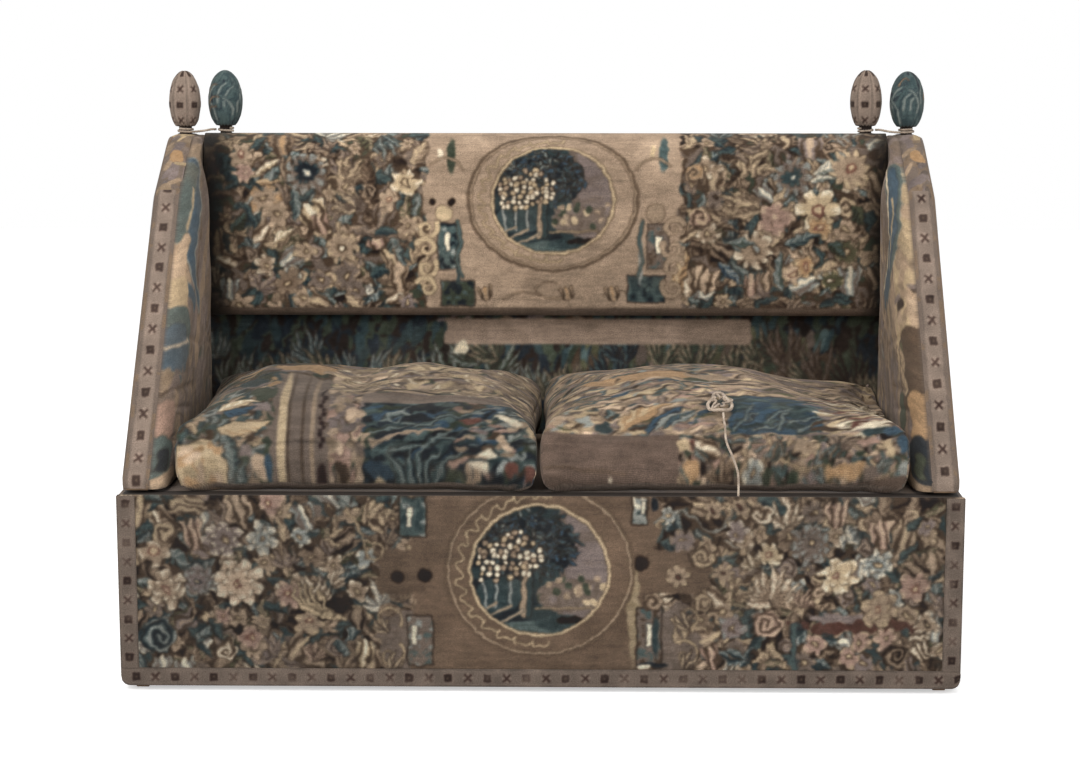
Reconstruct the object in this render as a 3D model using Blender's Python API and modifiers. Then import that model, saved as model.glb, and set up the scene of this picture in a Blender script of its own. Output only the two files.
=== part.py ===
"""A knole sofa: a sprung box seat, a fixed padded back and two hinged drop-down arms.

Metres, +Z up, +X to the sitter's left as seen from the front, and the front faces -Y.
The origin is on the floor below the middle of the sofa. Depths in the source are
measured backwards from the front plane, so depth 0 lies at y = -DEPTH / 2.
"""
import math

import bmesh
import bpy
import numpy as np
from mathutils import Matrix, Vector
from mathutils.bvhtree import BVHTree

# Overall sizes
WIDTH = 1.68
DEPTH = 0.78
BACK_TOP = 1.077
BASE_BOARD_TOP = 0.4015
FOOT_SHOW = 0.012
GAP = 0.0003
CUT_MARGIN = 0.020
NEAR = 0.001

# Base
APRON_THICK = 0.012
APRON_CORNER = 0.018
SIDE_COVER_THICK = 0.010
REAR_COVER_THICK = 0.012
BRAID_THICK = 0.003
BRAID_WIDTH = 0.036
BOARD_THICK = 0.028
BOARD_BOTTOM = 0.030
LEDGER_TOP = 0.155
LEDGER_SIZE = 0.020
LEG_SIZE = 0.055
FOOT_SIZE = 0.024
FOOT_TAPER = 0.030
BRACE_THICK = 0.028
BRACE_CLEARANCE = 0.0075
DUST_THICK = 0.0022

# Seat
WEB_WIDTH = 0.050
WEB_THICK = 0.002
LONG_WEBS = 5
CROSS_WEBS = 9
SPRING_WIRE = 0.004
SPRING_END_RADIUS = 0.045
SPRING_WAIST_RADIUS = 0.032
SPRING_TURNS = 4
SPRING_TURN_POINTS = 8
SPRING_PITCH_DEPTH = 0.26
HESSIAN_THICK = 0.002
DECK_THICK = 0.070
DECK_EDGE = 0.006

# Cushions
CUSHION_FRONT = 0.008
CUSHION_REAR_GAP = 0.010
CUSHION_SIDE_GAP_LEFT = 0.009
CUSHION_SIDE_GAP_RIGHT = 0.002
CUSHION_PARTING = -0.0025
CUSHION_PARTING_GAP = 0.003
CUSHION_BOX_HEIGHT = 0.140
CUSHION_CROWN = 0.058
CUSHION_PULL = 0.012
CUSHION_EDGE_ROUND = 0.018
CUSHION_COLUMNS = 16
CUSHION_ROWS = 14
CUSHION_LEVELS = 5

# Back
BACK_PAD_THICK = 0.062
BACK_PAD_BOTTOM = 0.675
BACK_PAD_TOP_ROLL = 0.055
BACK_PAD_LOW_ROLL = 0.030
BACK_PAD_SIDE_ROLL = 0.030
BACK_PAD_EDGE_SHARE = 0.15
BACK_PAD_COLUMNS = 24
BACK_PAD_ROWS = 10
BACK_PAD_LOW_SHARE = 0.55
BACK_PAD_SIDE_SHARE = 0.60
BACK_CANVAS_THICK = 0.007
BACK_POST_WIDTH = 0.065
BACK_POST_DEPTH = 0.0677
BACK_POST_CLEARANCE = 0.010
BACK_RAIL_THICK = 0.035
BACK_TOP_RAIL_HEIGHT = 0.050
BACK_LOWER_RAIL_HEIGHT = 0.050
BACK_LOWER_RAIL_DROP = 0.020
BACK_FLAP_THICK = 0.006

# Arms
ARM_INSET = 0.008
ARM_COVER_THICK = 0.008
ARM_FRAME_THICK = 0.0434
ARM_PAD_THICK = 0.045
ARM_PAD_BESIDE_BACK = 0.0255
ARM_BACK_GAP = 0.0025
ARM_PAD_EDGE = 0.022
ARM_PAD_ROLL = 0.100
ARM_PAD_FOOT_SHARE = 0.75
ARM_PAD_COLUMNS = 13
ARM_PAD_ROWS = 8
ARM_PAD_FOOT_RISE = 0.150
ARM_TOE = 0.018
ARM_TOE_HEIGHT = 0.0255
ARM_SHOULDER_DEPTH = 0.462
ARM_SHOULDER_DROP = 0.115
ARM_CREST_SHARE = 0.81
ARM_SPLIT_GAP = 0.006
ARM_TOP_DROP = 0.005
ARM_SHOULDER_RADIUS = 0.060
ARM_CREST_RADIUS = 0.100
ARM_REAR_INSET = 0.018
ARM_RAIL_HEIGHT = 0.040
ARM_RAIL_WIDTH = 0.050
ARM_POST_DEPTH = 0.062
ARM_BRAID_WIDTH = 0.038
ARM_BRAID_END_GAP = 0.010

# Hinges
HINGE_LEAF_THICK = 0.0025
HINGE_LEAF_WIDTH = 0.040
HINGE_LEAF_CLEARANCE = 0.0002
KNUCKLE_RADIUS = 0.004
KNUCKLE_CLEARANCE = 0.0005
PIN_RADIUS = 0.0018
PIN_CLEARANCE = 0.0003
PIN_INSET = 0.002
HINGE_END_MARGIN = 0.100
KNUCKLE_COUNT = 5
ROUND_SIDES = 16

# Finials and their ties
FINIAL_POST_INSET = 0.022
BACK_FINIAL_SIDE_INSET = 0.0405
NECK_HEIGHT = 0.0215
EGG_HEIGHT = 0.122
BRAID_EGG_DIAMETER = 0.069
LEAF_EGG_DIAMETER = 0.0755
EGG_FOOT_RADIUS = 0.019
EGG_RINGS = 10
NECK_RADIUS = 0.0125
FINIAL_FLANGE_RADIUS = 0.017
FINIAL_FLANGE_THICK = 0.004
FLANGE_HOLE_CLEARANCE = 0.0009
DOWEL_RADIUS = 0.008
DOWEL_LENGTH = 0.030
DOWEL_CLEARANCE = 0.0004
TIE_DIAMETER = 0.0055
TIE_TURNS = 1.1
TIE_PITCH = 0.0061
TIE_TURN_POINTS = 16
TIE_SPAN_POINTS = 5
TIE_LEAD = 0.010
TIE_SAG = 0.002

# Rosette on the right cushion: x, depth and lift above the cushion
KNOT_DIAMETER = 0.0075
KNOT_SLACK = 0.0006
KNOT_CORNERS = (
    (0.337, 0.058, 0.000),
    (0.334, 0.069, 0.001),
    (0.345, 0.091, 0.003),
    (0.352, 0.112, 0.005),
    (0.361, 0.113, 0.005),
    (0.371, 0.092, 0.003),
    (0.382, 0.068, 0.001),
    (0.378, 0.057, 0.000),
    (0.358, 0.055, 0.000),
)

# String: three points that rest on the cushion, then the fall as x, depth and height
STRING_DIAMETER = 0.005
STRING_SLACK = 0.0012
STRING_ROUTE = ((0.3636, 0.0503), (0.3640, 0.0460), (0.3645, 0.0400))
STRING_FALL = (
    (0.3651, 0.0300, 0.5470),
    (0.3658, 0.0195, 0.5400),
    (0.3662, 0.0110, 0.5300),
    (0.3668, 0.0070, 0.5190),
    (0.3695, 0.0048, 0.5080),
    (0.3735, 0.0036, 0.4980),
    (0.3778, 0.0030, 0.4890),
    (0.3825, 0.0028, 0.4772),
    (0.3872, 0.0028, 0.4648),
    (0.3905, 0.0028, 0.4535),
    (0.3922, 0.0028, 0.4420),
    (0.3928, 0.0028, 0.4300),
    (0.3929, 0.0028, 0.4165),
    (0.3928, 0.0028, 0.4035),
)

# Colours of the finishes: red, green, blue, roughness, metallic
FINISHES = {
    "tapestry": (0.30, 0.25, 0.19, 0.9, 0.0),
    "foliage": (0.12, 0.17, 0.18, 0.9, 0.0),
    "plain_cloth": (0.20, 0.16, 0.13, 0.9, 0.0),
    "braid": (0.25, 0.21, 0.17, 0.9, 0.0),
    "leaf_cloth": (0.12, 0.18, 0.18, 0.9, 0.0),
    "hessian": (0.42, 0.33, 0.21, 0.95, 0.0),
    "webbing": (0.50, 0.42, 0.28, 0.95, 0.0),
    "wood": (0.33, 0.20, 0.11, 0.6, 0.0),
    "dark_wood": (0.07, 0.045, 0.03, 0.5, 0.0),
    "steel": (0.42, 0.41, 0.40, 0.4, 1.0),
    "cord": (0.62, 0.56, 0.48, 0.9, 0.0),
    "cambric": (0.03, 0.03, 0.03, 0.95, 0.0),
}

# Sizes that follow from the ones above
HALF_WIDTH = WIDTH / 2
SIDE_BOARD_OUTER = HALF_WIDTH - SIDE_COVER_THICK - GAP
LEG_INNER = SIDE_BOARD_OUTER - LEG_SIZE - GAP
APRON_FACE = BRAID_THICK + GAP
FRAME_FRONT = APRON_FACE + APRON_THICK + GAP
FRAME_REAR = DEPTH - REAR_COVER_THICK - GAP
AXIS_Z = BASE_BOARD_TOP + GAP + HINGE_LEAF_THICK + HINGE_LEAF_CLEARANCE
AXIS_X = SIDE_BOARD_OUTER + KNUCKLE_RADIUS + KNUCKLE_CLEARANCE
HINGE_FRONT = HINGE_END_MARGIN
HINGE_REAR = DEPTH - HINGE_END_MARGIN
COVER_TOP = AXIS_Z - KNUCKLE_RADIUS - KNUCKLE_CLEARANCE
ARM_OUTER = HALF_WIDTH - ARM_INSET
ARM_REAR = DEPTH - ARM_REAR_INSET
ARM_TOP = BACK_TOP - ARM_TOP_DROP
ARM_SHOULDER_TOP = BACK_TOP - ARM_SHOULDER_DROP
ARM_POST_FACE = ARM_REAR - ARM_POST_DEPTH
ARM_BOTTOM = AXIS_Z + HINGE_LEAF_CLEARANCE + HINGE_LEAF_THICK + GAP
ARM_COVER_BOTTOM = AXIS_Z + KNUCKLE_RADIUS + KNUCKLE_CLEARANCE
ARM_TOE_TOP = AXIS_Z + ARM_TOE_HEIGHT
ARM_RAIL_TOP = ARM_BOTTOM + ARM_RAIL_HEIGHT
ARM_FRAME_OUTER = ARM_OUTER - ARM_COVER_THICK - GAP
ARM_FRAME_INNER = ARM_FRAME_OUTER - ARM_FRAME_THICK
ARM_PAD_SEAT = ARM_FRAME_INNER - GAP
ARM_PAD_FACE = ARM_PAD_SEAT - ARM_PAD_THICK
ARM_CENTRE = (ARM_FRAME_OUTER + ARM_FRAME_INNER) / 2
ARM_POST_TOP = ARM_TOP - BRAID_THICK - GAP
BACK_HALF_WIDTH = ARM_PAD_SEAT - ARM_PAD_BESIDE_BACK - ARM_BACK_GAP
BACK_POST_FACE = FRAME_REAR - BACK_POST_DEPTH
BACK_POST_OUTER = BACK_HALF_WIDTH - GAP
BACK_POST_INNER = BACK_POST_OUTER - BACK_POST_WIDTH
BACK_POST_TOP = BACK_TOP - BACK_FLAP_THICK - GAP
BACK_PAD_REAR = BACK_POST_FACE - BACK_CANVAS_THICK - 2 * GAP
BACK_FACE = BACK_PAD_REAR - BACK_PAD_THICK
BACK_LOWER_RAIL_BOTTOM = BACK_PAD_BOTTOM - BACK_LOWER_RAIL_DROP
CANVAS_BOTTOM = BACK_LOWER_RAIL_BOTTOM + BACK_LOWER_RAIL_HEIGHT / 2
BACK_FINIAL_X = BACK_HALF_WIDTH - BACK_FINIAL_SIDE_INSET
FINIAL_DEPTH = BACK_POST_FACE + FINIAL_POST_INSET
WEB_BOTTOM = LEDGER_TOP + GAP
SPRING_BOTTOM = WEB_BOTTOM + WEB_THICK + GAP
DECK_TOP = BASE_BOARD_TOP
DECK_BOTTOM = DECK_TOP - DECK_THICK
HESSIAN_BOTTOM = DECK_BOTTOM - GAP - HESSIAN_THICK
CUSHION_BOTTOM = DECK_TOP + GAP
CUSHION_REAR = BACK_FACE - CUSHION_REAR_GAP
LOOP_RADIUS = NECK_RADIUS + TIE_DIAMETER / 2 + GAP

PARTS = None
CUTTERS = None


def clear_scene():
    for item in list(bpy.data.objects):
        bpy.data.objects.remove(item, do_unlink=True)


def make_collections():
    global PARTS, CUTTERS
    PARTS = bpy.data.collections.new("knole_sofa")
    CUTTERS = bpy.data.collections.new("cutters")
    bpy.context.scene.collection.children.link(PARTS)
    bpy.context.scene.collection.children.link(CUTTERS)


def finish(name):
    material = bpy.data.materials.get(name)
    if material:
        return material
    red, green, blue, roughness, metallic = FINISHES[name]
    material = bpy.data.materials.new(name)
    material.use_nodes = True
    shader = material.node_tree.nodes["Principled BSDF"]
    shader.inputs["Base Color"].default_value = (red, green, blue, 1.0)
    shader.inputs["Roughness"].default_value = roughness
    shader.inputs["Metallic"].default_value = metallic
    material.diffuse_color = (red, green, blue, 1.0)
    return material


def row_y(depth):
    """Turn a depth behind the front plane into a y coordinate."""
    return depth - DEPTH / 2


def place(name, data, material, pivot=None):
    """Add one part, with its origin at the pivot empty's place when it has one."""
    part = bpy.data.objects.new(name, data)
    PARTS.objects.link(part)
    data.materials.clear()
    data.materials.append(finish(material))
    if pivot:
        part.parent = pivot
        part.location = -pivot.location
    return part


def pivot_empty(name, location):
    empty = bpy.data.objects.new(name, None)
    empty.location = location
    PARTS.objects.link(empty)
    return empty


def mesh_from(bm, name):
    mesh = bpy.data.meshes.new(name)
    bm.to_mesh(mesh)
    bm.free()
    return mesh


def box_mesh(name, low, high):
    low = Vector(low)
    high = Vector(high)
    bm = bmesh.new()
    bmesh.ops.create_cube(bm, size=1.0)
    size = high - low
    bmesh.ops.scale(bm, vec=size, verts=bm.verts)
    bmesh.ops.translate(bm, vec=(low + high) / 2, verts=bm.verts)
    return mesh_from(bm, name)


def box(name, xs, depths, zs, material, pivot=None):
    """A rectangular piece between two x values, two depths and two heights."""
    low = (min(xs), row_y(min(depths)), min(zs))
    high = (max(xs), row_y(max(depths)), max(zs))
    return place(name, box_mesh(name, low, high), material, pivot)


def outline_mesh(name, points, low, high, plane):
    """Extrude a flat outline.

    plane XZ takes points (x, z) and extrudes over depths; DZ takes (depth, z) and
    extrudes over x; XD takes (x, depth) and extrudes over z.
    """
    curve = bpy.data.curves.new(name, "CURVE")
    curve.dimensions = "2D"
    curve.fill_mode = "BOTH"
    curve.extrude = abs(high - low) / 2
    spline = curve.splines.new("POLY")
    spline.points.add(len(points) - 1)
    for slot, (first, second) in zip(spline.points, points):
        slot.co = (first, second, 0.0, 1.0)
    spline.use_cyclic_u = True
    holder = bpy.data.objects.new(name + "_outline", curve)
    bpy.context.scene.collection.objects.link(holder)
    evaluated = holder.evaluated_get(bpy.context.evaluated_depsgraph_get())
    mesh = bpy.data.meshes.new_from_object(evaluated)
    bpy.data.objects.remove(holder, do_unlink=True)
    bpy.data.curves.remove(curve)
    middle = (low + high) / 2
    if plane == "XZ":
        turn = Matrix(((1, 0, 0, 0), (0, 0, -1, row_y(middle)), (0, 1, 0, 0), (0, 0, 0, 1)))
    elif plane == "DZ":
        turn = Matrix(((0, 0, 1, middle), (1, 0, 0, row_y(0)), (0, 1, 0, 0), (0, 0, 0, 1)))
    else:
        turn = Matrix(((1, 0, 0, 0), (0, 1, 0, row_y(0)), (0, 0, 1, middle), (0, 0, 0, 1)))
    mesh.transform(turn)
    bm = bmesh.new()
    bm.from_mesh(mesh)
    bmesh.ops.remove_doubles(bm, verts=bm.verts, dist=0.00001)
    bmesh.ops.recalc_face_normals(bm, faces=bm.faces)
    bm.to_mesh(mesh)
    bm.free()
    mesh.name = name
    return mesh


def plate(name, points, low, high, plane, material, pivot=None):
    return place(name, outline_mesh(name, points, low, high, plane), material, pivot)


def cylinder_mesh(name, radius, start, end):
    """A cylinder between two points."""
    start = Vector(start)
    end = Vector(end)
    run = end - start
    bm = bmesh.new()
    bmesh.ops.create_cone(
        bm,
        cap_ends=True,
        segments=ROUND_SIDES,
        radius1=radius,
        radius2=radius,
        depth=run.length,
    )
    turn = Vector((0, 0, 1)).rotation_difference(run.normalized()).to_matrix().to_4x4()
    bmesh.ops.transform(bm, matrix=Matrix.Translation((start + end) / 2) @ turn, verts=bm.verts)
    return mesh_from(bm, name)


def boolean(part, name, mesh, operation):
    """Join or cut a part with a hidden helper shape."""
    helper = bpy.data.objects.new(name, mesh)
    CUTTERS.objects.link(helper)
    helper.hide_render = True
    helper.display_type = "WIRE"
    modifier = part.modifiers.new(name, "BOOLEAN")
    modifier.operation = operation
    modifier.solver = "EXACT"
    modifier.object = helper
    helper.parent = part.parent
    helper.location = part.location


def tube(name, points, diameter, material, resolution, pivot=None):
    curve = bpy.data.curves.new(name, "CURVE")
    curve.dimensions = "3D"
    curve.bevel_depth = diameter / 2
    curve.bevel_resolution = resolution
    curve.use_fill_caps = True
    spline = curve.splines.new("POLY")
    spline.points.add(len(points) - 1)
    for slot, point in zip(spline.points, points):
        slot.co = (point[0], point[1], point[2], 1.0)
    return place(name, curve, material, pivot)


def rounded_path(corners, radii, steps=5):
    """A path through the corners, with an arc of the given radius at each inner one."""
    path = [Vector(corners[0])]
    for index in range(1, len(corners) - 1):
        before = Vector(corners[index - 1])
        corner = Vector(corners[index])
        after = Vector(corners[index + 1])
        inward = (before - corner).normalized()
        outward = (after - corner).normalized()
        angle = inward.angle(outward)
        reach = radii[index - 1] / math.tan(angle / 2)
        centre = corner + (inward + outward).normalized() * radii[index - 1] / math.sin(angle / 2)
        first = corner + inward * reach - centre
        last = corner + outward * reach - centre
        sweep = first.angle_signed(last)
        for step in range(steps + 1):
            turn = Matrix.Rotation(-sweep * step / steps, 2)
            path.append(centre + turn @ first)
    path.append(Vector(corners[-1]))
    return path


def offset_path(path, distance):
    """Move a path to its right-hand side by a distance."""
    moved = []
    for index, point in enumerate(path):
        before = path[max(index - 1, 0)]
        after = path[min(index + 1, len(path) - 1)]
        first = (point - before).normalized() if index > 0 else (after - point).normalized()
        second = (after - point).normalized() if index < len(path) - 1 else first
        along = (first + second).normalized()
        normal = Vector((along.y, -along.x))
        widen = 1 / max(0.5, normal.dot(Vector((first.y, -first.x))))
        moved.append(point + normal * distance * widen)
    return moved


def height_on(path, depth):
    """Height of a path that runs backwards and upwards, at a depth."""
    return float(np.interp(depth, [point.x for point in path], [point.y for point in path]))


def depth_on(path, height):
    return float(np.interp(height, [point.y for point in path], [point.x for point in path]))


def clip_path(path, low_z, rear):
    """The stretch of a path above a height and in front of a depth."""
    start = Vector((depth_on(path, low_z), low_z))
    end = Vector((rear, height_on(path, rear)))
    middle = [point for point in path if point.y > low_z + NEAR and point.x < rear - NEAR]
    return [start] + middle + [end]


def arm_profile(inset):
    """The arm's front slope, shoulder and crest, moved inwards by the inset."""
    shoulder = Vector((ARM_SHOULDER_DEPTH, ARM_SHOULDER_TOP))
    toe = Vector((ARM_TOE, ARM_TOE_TOP))
    start = toe + (toe - shoulder).normalized() * ARM_TOE_HEIGHT
    crest = (ARM_SHOULDER_DEPTH + (ARM_POST_FACE - ARM_SHOULDER_DEPTH) * ARM_CREST_SHARE, ARM_TOP)
    corners = (start, shoulder, crest, (ARM_REAR + ARM_POST_DEPTH, ARM_TOP))
    path = rounded_path(corners, (ARM_SHOULDER_RADIUS, ARM_CREST_RADIUS))
    return offset_path(path, inset)


def build_legs():
    leg_outer = SIDE_BOARD_OUTER
    for end_name, outer_depth in (("front", FRAME_FRONT), ("rear", FRAME_REAR)):
        for side_name, side in (("left", -1), ("right", 1)):
            name = "leg_" + end_name + "_" + side_name
            direction = 1 if end_name == "front" else -1
            depths = sorted((outer_depth, outer_depth + direction * LEG_SIZE))
            xs = sorted((side * leg_outer, side * (leg_outer - LEG_SIZE)))
            top = BASE_BOARD_TOP - GAP
            mesh = box_mesh(name, (xs[0], row_y(depths[0]), 0), (xs[1], row_y(depths[1]), top))
            bm = bmesh.new()
            bm.from_mesh(mesh)
            bmesh.ops.bisect_plane(
                bm,
                geom=list(bm.verts) + list(bm.edges) + list(bm.faces),
                dist=0.00001,
                plane_co=(0, 0, FOOT_TAPER),
                plane_no=(0, 0, 1),
            )
            tip = [vertex for vertex in bm.verts if vertex.co.z < FOOT_TAPER / 2]
            centre = Vector(((xs[0] + xs[1]) / 2, row_y(sum(depths) / 2), 0))
            share = FOOT_SIZE / LEG_SIZE
            space = Matrix.Translation(-centre)
            bmesh.ops.scale(bm, vec=(share, share, 1), space=space, verts=tip)
            bm.to_mesh(mesh)
            bm.free()
            place(name, mesh, "dark_wood")


def ledger_section(outer, inner, ledger_inner):
    """An L-shaped section: a board that carries a ledger for the webbing."""
    return (
        (outer, BOARD_BOTTOM),
        (inner, BOARD_BOTTOM),
        (inner, LEDGER_TOP - LEDGER_SIZE),
        (ledger_inner, LEDGER_TOP - LEDGER_SIZE),
        (ledger_inner, LEDGER_TOP),
        (inner, LEDGER_TOP),
        (inner, BASE_BOARD_TOP),
        (outer, BASE_BOARD_TOP),
    )


def build_boards():
    reach = LEG_INNER
    front_inner = FRAME_FRONT + BOARD_THICK
    rear_inner = FRAME_REAR - BOARD_THICK
    front = ledger_section(FRAME_FRONT, front_inner, front_inner + LEDGER_SIZE)
    rear = ledger_section(FRAME_REAR, rear_inner, rear_inner - LEDGER_SIZE)
    plate("front_base_board", front, -reach, reach, "DZ", "wood")
    plate("rear_base_board", rear, -reach, reach, "DZ", "wood")
    start = FRAME_FRONT + LEG_SIZE + GAP
    end = FRAME_REAR - LEG_SIZE - GAP
    for side_name, side in (("left", -1), ("right", 1)):
        outer = side * SIDE_BOARD_OUTER
        inner = side * (SIDE_BOARD_OUTER - BOARD_THICK)
        ledger = side * (SIDE_BOARD_OUTER - BOARD_THICK - LEDGER_SIZE)
        name = side_name + "_base_board"
        plate(name, ledger_section(outer, inner, ledger), start, end, "XZ", "wood")
    brace_x = BRACE_THICK / 2
    box(
        "centre_brace",
        (-brace_x, brace_x),
        (front_inner + GAP, rear_inner - GAP),
        (WEB_BOTTOM + WEB_THICK + BRACE_CLEARANCE, HESSIAN_BOTTOM - GAP),
        "wood",
    )


def strap_lines(low, high, count):
    """Edges of evenly spread straps, from the first strap's edge to the last one's."""
    pitch = (high - low - WEB_WIDTH) / (count - 1)
    lines = []
    for index in range(count):
        lines.append(low + index * pitch)
        lines.append(low + index * pitch + WEB_WIDTH)
    return lines


def build_webbing():
    half = LEG_INNER - GAP
    front = FRAME_FRONT + BOARD_THICK + GAP
    rear = FRAME_REAR - BOARD_THICK - GAP
    x_lines = strap_lines(-half, half, CROSS_WEBS)
    d_lines = strap_lines(front, rear, LONG_WEBS)
    columns = len(x_lines) - 1
    rows = len(d_lines) - 1
    bm = bmesh.new()
    bmesh.ops.create_grid(bm, x_segments=columns, y_segments=rows, size=1.0)
    gaps = []
    for face in bm.faces:
        centre = face.calc_center_median()
        column = int((centre.x + 1) / 2 * columns)
        row = int((centre.y + 1) / 2 * rows)
        if column % 2 and row % 2:
            gaps.append(face)
    bmesh.ops.delete(bm, geom=gaps, context="FACES")
    for vertex in bm.verts:
        column = round((vertex.co.x + 1) / 2 * columns)
        row = round((vertex.co.y + 1) / 2 * rows)
        vertex.co = (x_lines[column], row_y(d_lines[row]), WEB_BOTTOM)
    webbing = place("seat_webbing", mesh_from(bm, "seat_webbing"), "webbing")
    wall = webbing.modifiers.new("thickness", "SOLIDIFY")
    wall.thickness = WEB_THICK
    wall.offset = 1.0


def spring_points(x, depth, height):
    """The centre line of a waisted coil spring that stands on the webbing."""
    count = SPRING_TURNS * SPRING_TURN_POINTS
    low = SPRING_BOTTOM + SPRING_WIRE / 2
    rise = height - SPRING_WIRE
    points = []
    for index in range(count + 1):
        share = index / count
        waist = abs(2 * share - 1) ** 1.5
        radius = SPRING_WAIST_RADIUS + (SPRING_END_RADIUS - SPRING_WAIST_RADIUS) * waist
        angle = 2 * math.pi * index / SPRING_TURN_POINTS
        px = x + radius * math.cos(angle)
        py = row_y(depth) + radius * math.sin(angle)
        points.append((px, py, low + rise * share))
    return points


def least_self_gap(points, diameter, turn_points):
    """Least gap between turns of one tube, from its centre line."""
    least = 1.0
    for first in range(len(points)):
        for second in range(first + turn_points // 2 + 1, len(points)):
            distance = (Vector(points[first]) - Vector(points[second])).length
            least = min(least, distance - diameter)
    return least


def build_springs():
    height = HESSIAN_BOTTOM - GAP - SPRING_BOTTOM
    middle = (FRAME_FRONT + BACK_POST_FACE) / 2
    for row_name, row in (("front", -1), ("rear", 1)):
        depth = middle + row * SPRING_PITCH_DEPTH / 2
        for side_name, side in (("left", -1), ("right", 1)):
            points = spring_points(side * LEG_INNER / 2, depth, height)
            name = "seat_spring_" + row_name + "_" + side_name
            tube(name, points, SPRING_WIRE, "steel", 1)
            least = least_self_gap(points, SPRING_WIRE, SPRING_TURN_POINTS)
            print(name, "least gap to itself in mm:", round(least * 1000, 2))


def build_seat():
    half = LEG_INNER
    front = FRAME_FRONT + BOARD_THICK + GAP
    rear = BACK_POST_FACE - GAP
    xs = (-half, half)
    hessian_zs = (HESSIAN_BOTTOM, HESSIAN_BOTTOM + HESSIAN_THICK)
    box("seat_hessian", xs, (front, rear), hessian_zs, "hessian")
    deck = box("seat_deck", xs, (front, rear), (DECK_BOTTOM, DECK_TOP), "plain_cloth")
    soften = deck.modifiers.new("soft_edges", "BEVEL")
    soften.width = DECK_EDGE
    soften.segments = 2
    outer = SIDE_BOARD_OUTER
    leg_in = LEG_INNER
    leg_back = FRAME_FRONT + LEG_SIZE + GAP
    leg_fore = FRAME_REAR - LEG_SIZE - GAP
    outline = (
        (-leg_in, FRAME_FRONT),
        (leg_in, FRAME_FRONT),
        (leg_in, leg_back),
        (outer, leg_back),
        (outer, leg_fore),
        (leg_in, leg_fore),
        (leg_in, FRAME_REAR),
        (-leg_in, FRAME_REAR),
        (-leg_in, leg_fore),
        (-outer, leg_fore),
        (-outer, leg_back),
        (-leg_in, leg_back),
    )
    top = BOARD_BOTTOM - GAP
    plate("dust_cover", outline, top - DUST_THICK, top, "XD", "cambric")


def build_covers():
    corner = APRON_CORNER
    apron_top = COVER_TOP
    corners = (
        (-HALF_WIDTH, apron_top),
        (-HALF_WIDTH, FOOT_SHOW),
        (HALF_WIDTH, FOOT_SHOW),
        (HALF_WIDTH, apron_top),
    )
    outline = [tuple(point) for point in rounded_path(corners, (corner, corner), 4)]
    plate("front_apron", outline, APRON_FACE, APRON_FACE + APRON_THICK, "XZ", "tapestry")
    front = APRON_FACE + APRON_THICK + GAP
    rear = DEPTH - REAR_COVER_THICK - GAP
    for side_name, side in (("left", -1), ("right", 1)):
        xs = (side * HALF_WIDTH, side * (HALF_WIDTH - SIDE_COVER_THICK))
        name = side_name + "_side_cover"
        box(name, xs, (front, rear), (FOOT_SHOW, COVER_TOP), "plain_cloth")
        inner = side * (HALF_WIDTH - BRAID_WIDTH)
        name = "apron_braid_" + side_name
        low = FOOT_SHOW + BRAID_WIDTH + GAP
        box(name, (side * HALF_WIDTH, inner), (0, BRAID_THICK), (low, apron_top), "braid")
    outline = [point for point in outline if point[1] < FOOT_SHOW + BRAID_WIDTH - NEAR]
    outline.append((HALF_WIDTH, FOOT_SHOW + BRAID_WIDTH))
    outline.append((-HALF_WIDTH, FOOT_SHOW + BRAID_WIDTH))
    plate("apron_braid_bottom", outline, 0, BRAID_THICK, "XZ", "braid")
    build_outside_back(rear + GAP)


def build_outside_back(face):
    """The outside back: a panel that is wide at the base, with a flap over the top."""
    step = COVER_TOP
    outline = (
        (-HALF_WIDTH, FOOT_SHOW),
        (HALF_WIDTH, FOOT_SHOW),
        (HALF_WIDTH, step),
        (BACK_HALF_WIDTH, step),
        (BACK_HALF_WIDTH, BACK_TOP),
        (-BACK_HALF_WIDTH, BACK_TOP),
        (-BACK_HALF_WIDTH, step),
        (-HALF_WIDTH, step),
    )
    cover = plate("outside_back_cover", outline, face, DEPTH, "XZ", "plain_cloth")
    flap_low = (-BACK_HALF_WIDTH, row_y(BACK_POST_FACE), BACK_TOP - BACK_FLAP_THICK)
    flap_high = (BACK_HALF_WIDTH, row_y(DEPTH - NEAR), BACK_TOP)
    boolean(cover, "top_flap", box_mesh("top_flap", flap_low, flap_high), "UNION")
    for side in (-1, 1):
        x = side * BACK_FINIAL_X
        start = (x, row_y(FINIAL_DEPTH), BACK_TOP - CUT_MARGIN)
        end = (x, row_y(FINIAL_DEPTH), BACK_TOP + CUT_MARGIN)
        radius = FINIAL_FLANGE_RADIUS + FLANGE_HOLE_CLEARANCE
        boolean(cover, "finial_hole", cylinder_mesh("finial_hole", radius, start, end), "DIFFERENCE")


def build_back_frame():
    board_face = FRAME_REAR - BOARD_THICK - GAP
    post_bottom = LEDGER_TOP + BACK_POST_CLEARANCE
    section = (
        (BACK_POST_FACE, post_bottom),
        (board_face, post_bottom),
        (board_face, BASE_BOARD_TOP + GAP),
        (FRAME_REAR, BASE_BOARD_TOP + GAP),
        (FRAME_REAR, BACK_POST_TOP),
        (BACK_POST_FACE, BACK_POST_TOP),
    )
    for side_name, side in (("left", -1), ("right", 1)):
        xs = sorted((side * BACK_POST_INNER, side * BACK_POST_OUTER))
        post = plate("back_post_" + side_name, section, xs[0], xs[1], "DZ", "wood")
        bore_in_post(post, side * BACK_FINIAL_X, BACK_POST_TOP)
    reach = BACK_POST_INNER - GAP
    depths = (BACK_POST_FACE, BACK_POST_FACE + BACK_RAIL_THICK)
    top = BACK_POST_TOP
    box("back_top_rail", (-reach, reach), depths, (top - BACK_TOP_RAIL_HEIGHT, top), "wood")
    low = BACK_LOWER_RAIL_BOTTOM
    box("back_lower_rail", (-reach, reach), depths, (low, low + BACK_LOWER_RAIL_HEIGHT), "wood")


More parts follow.
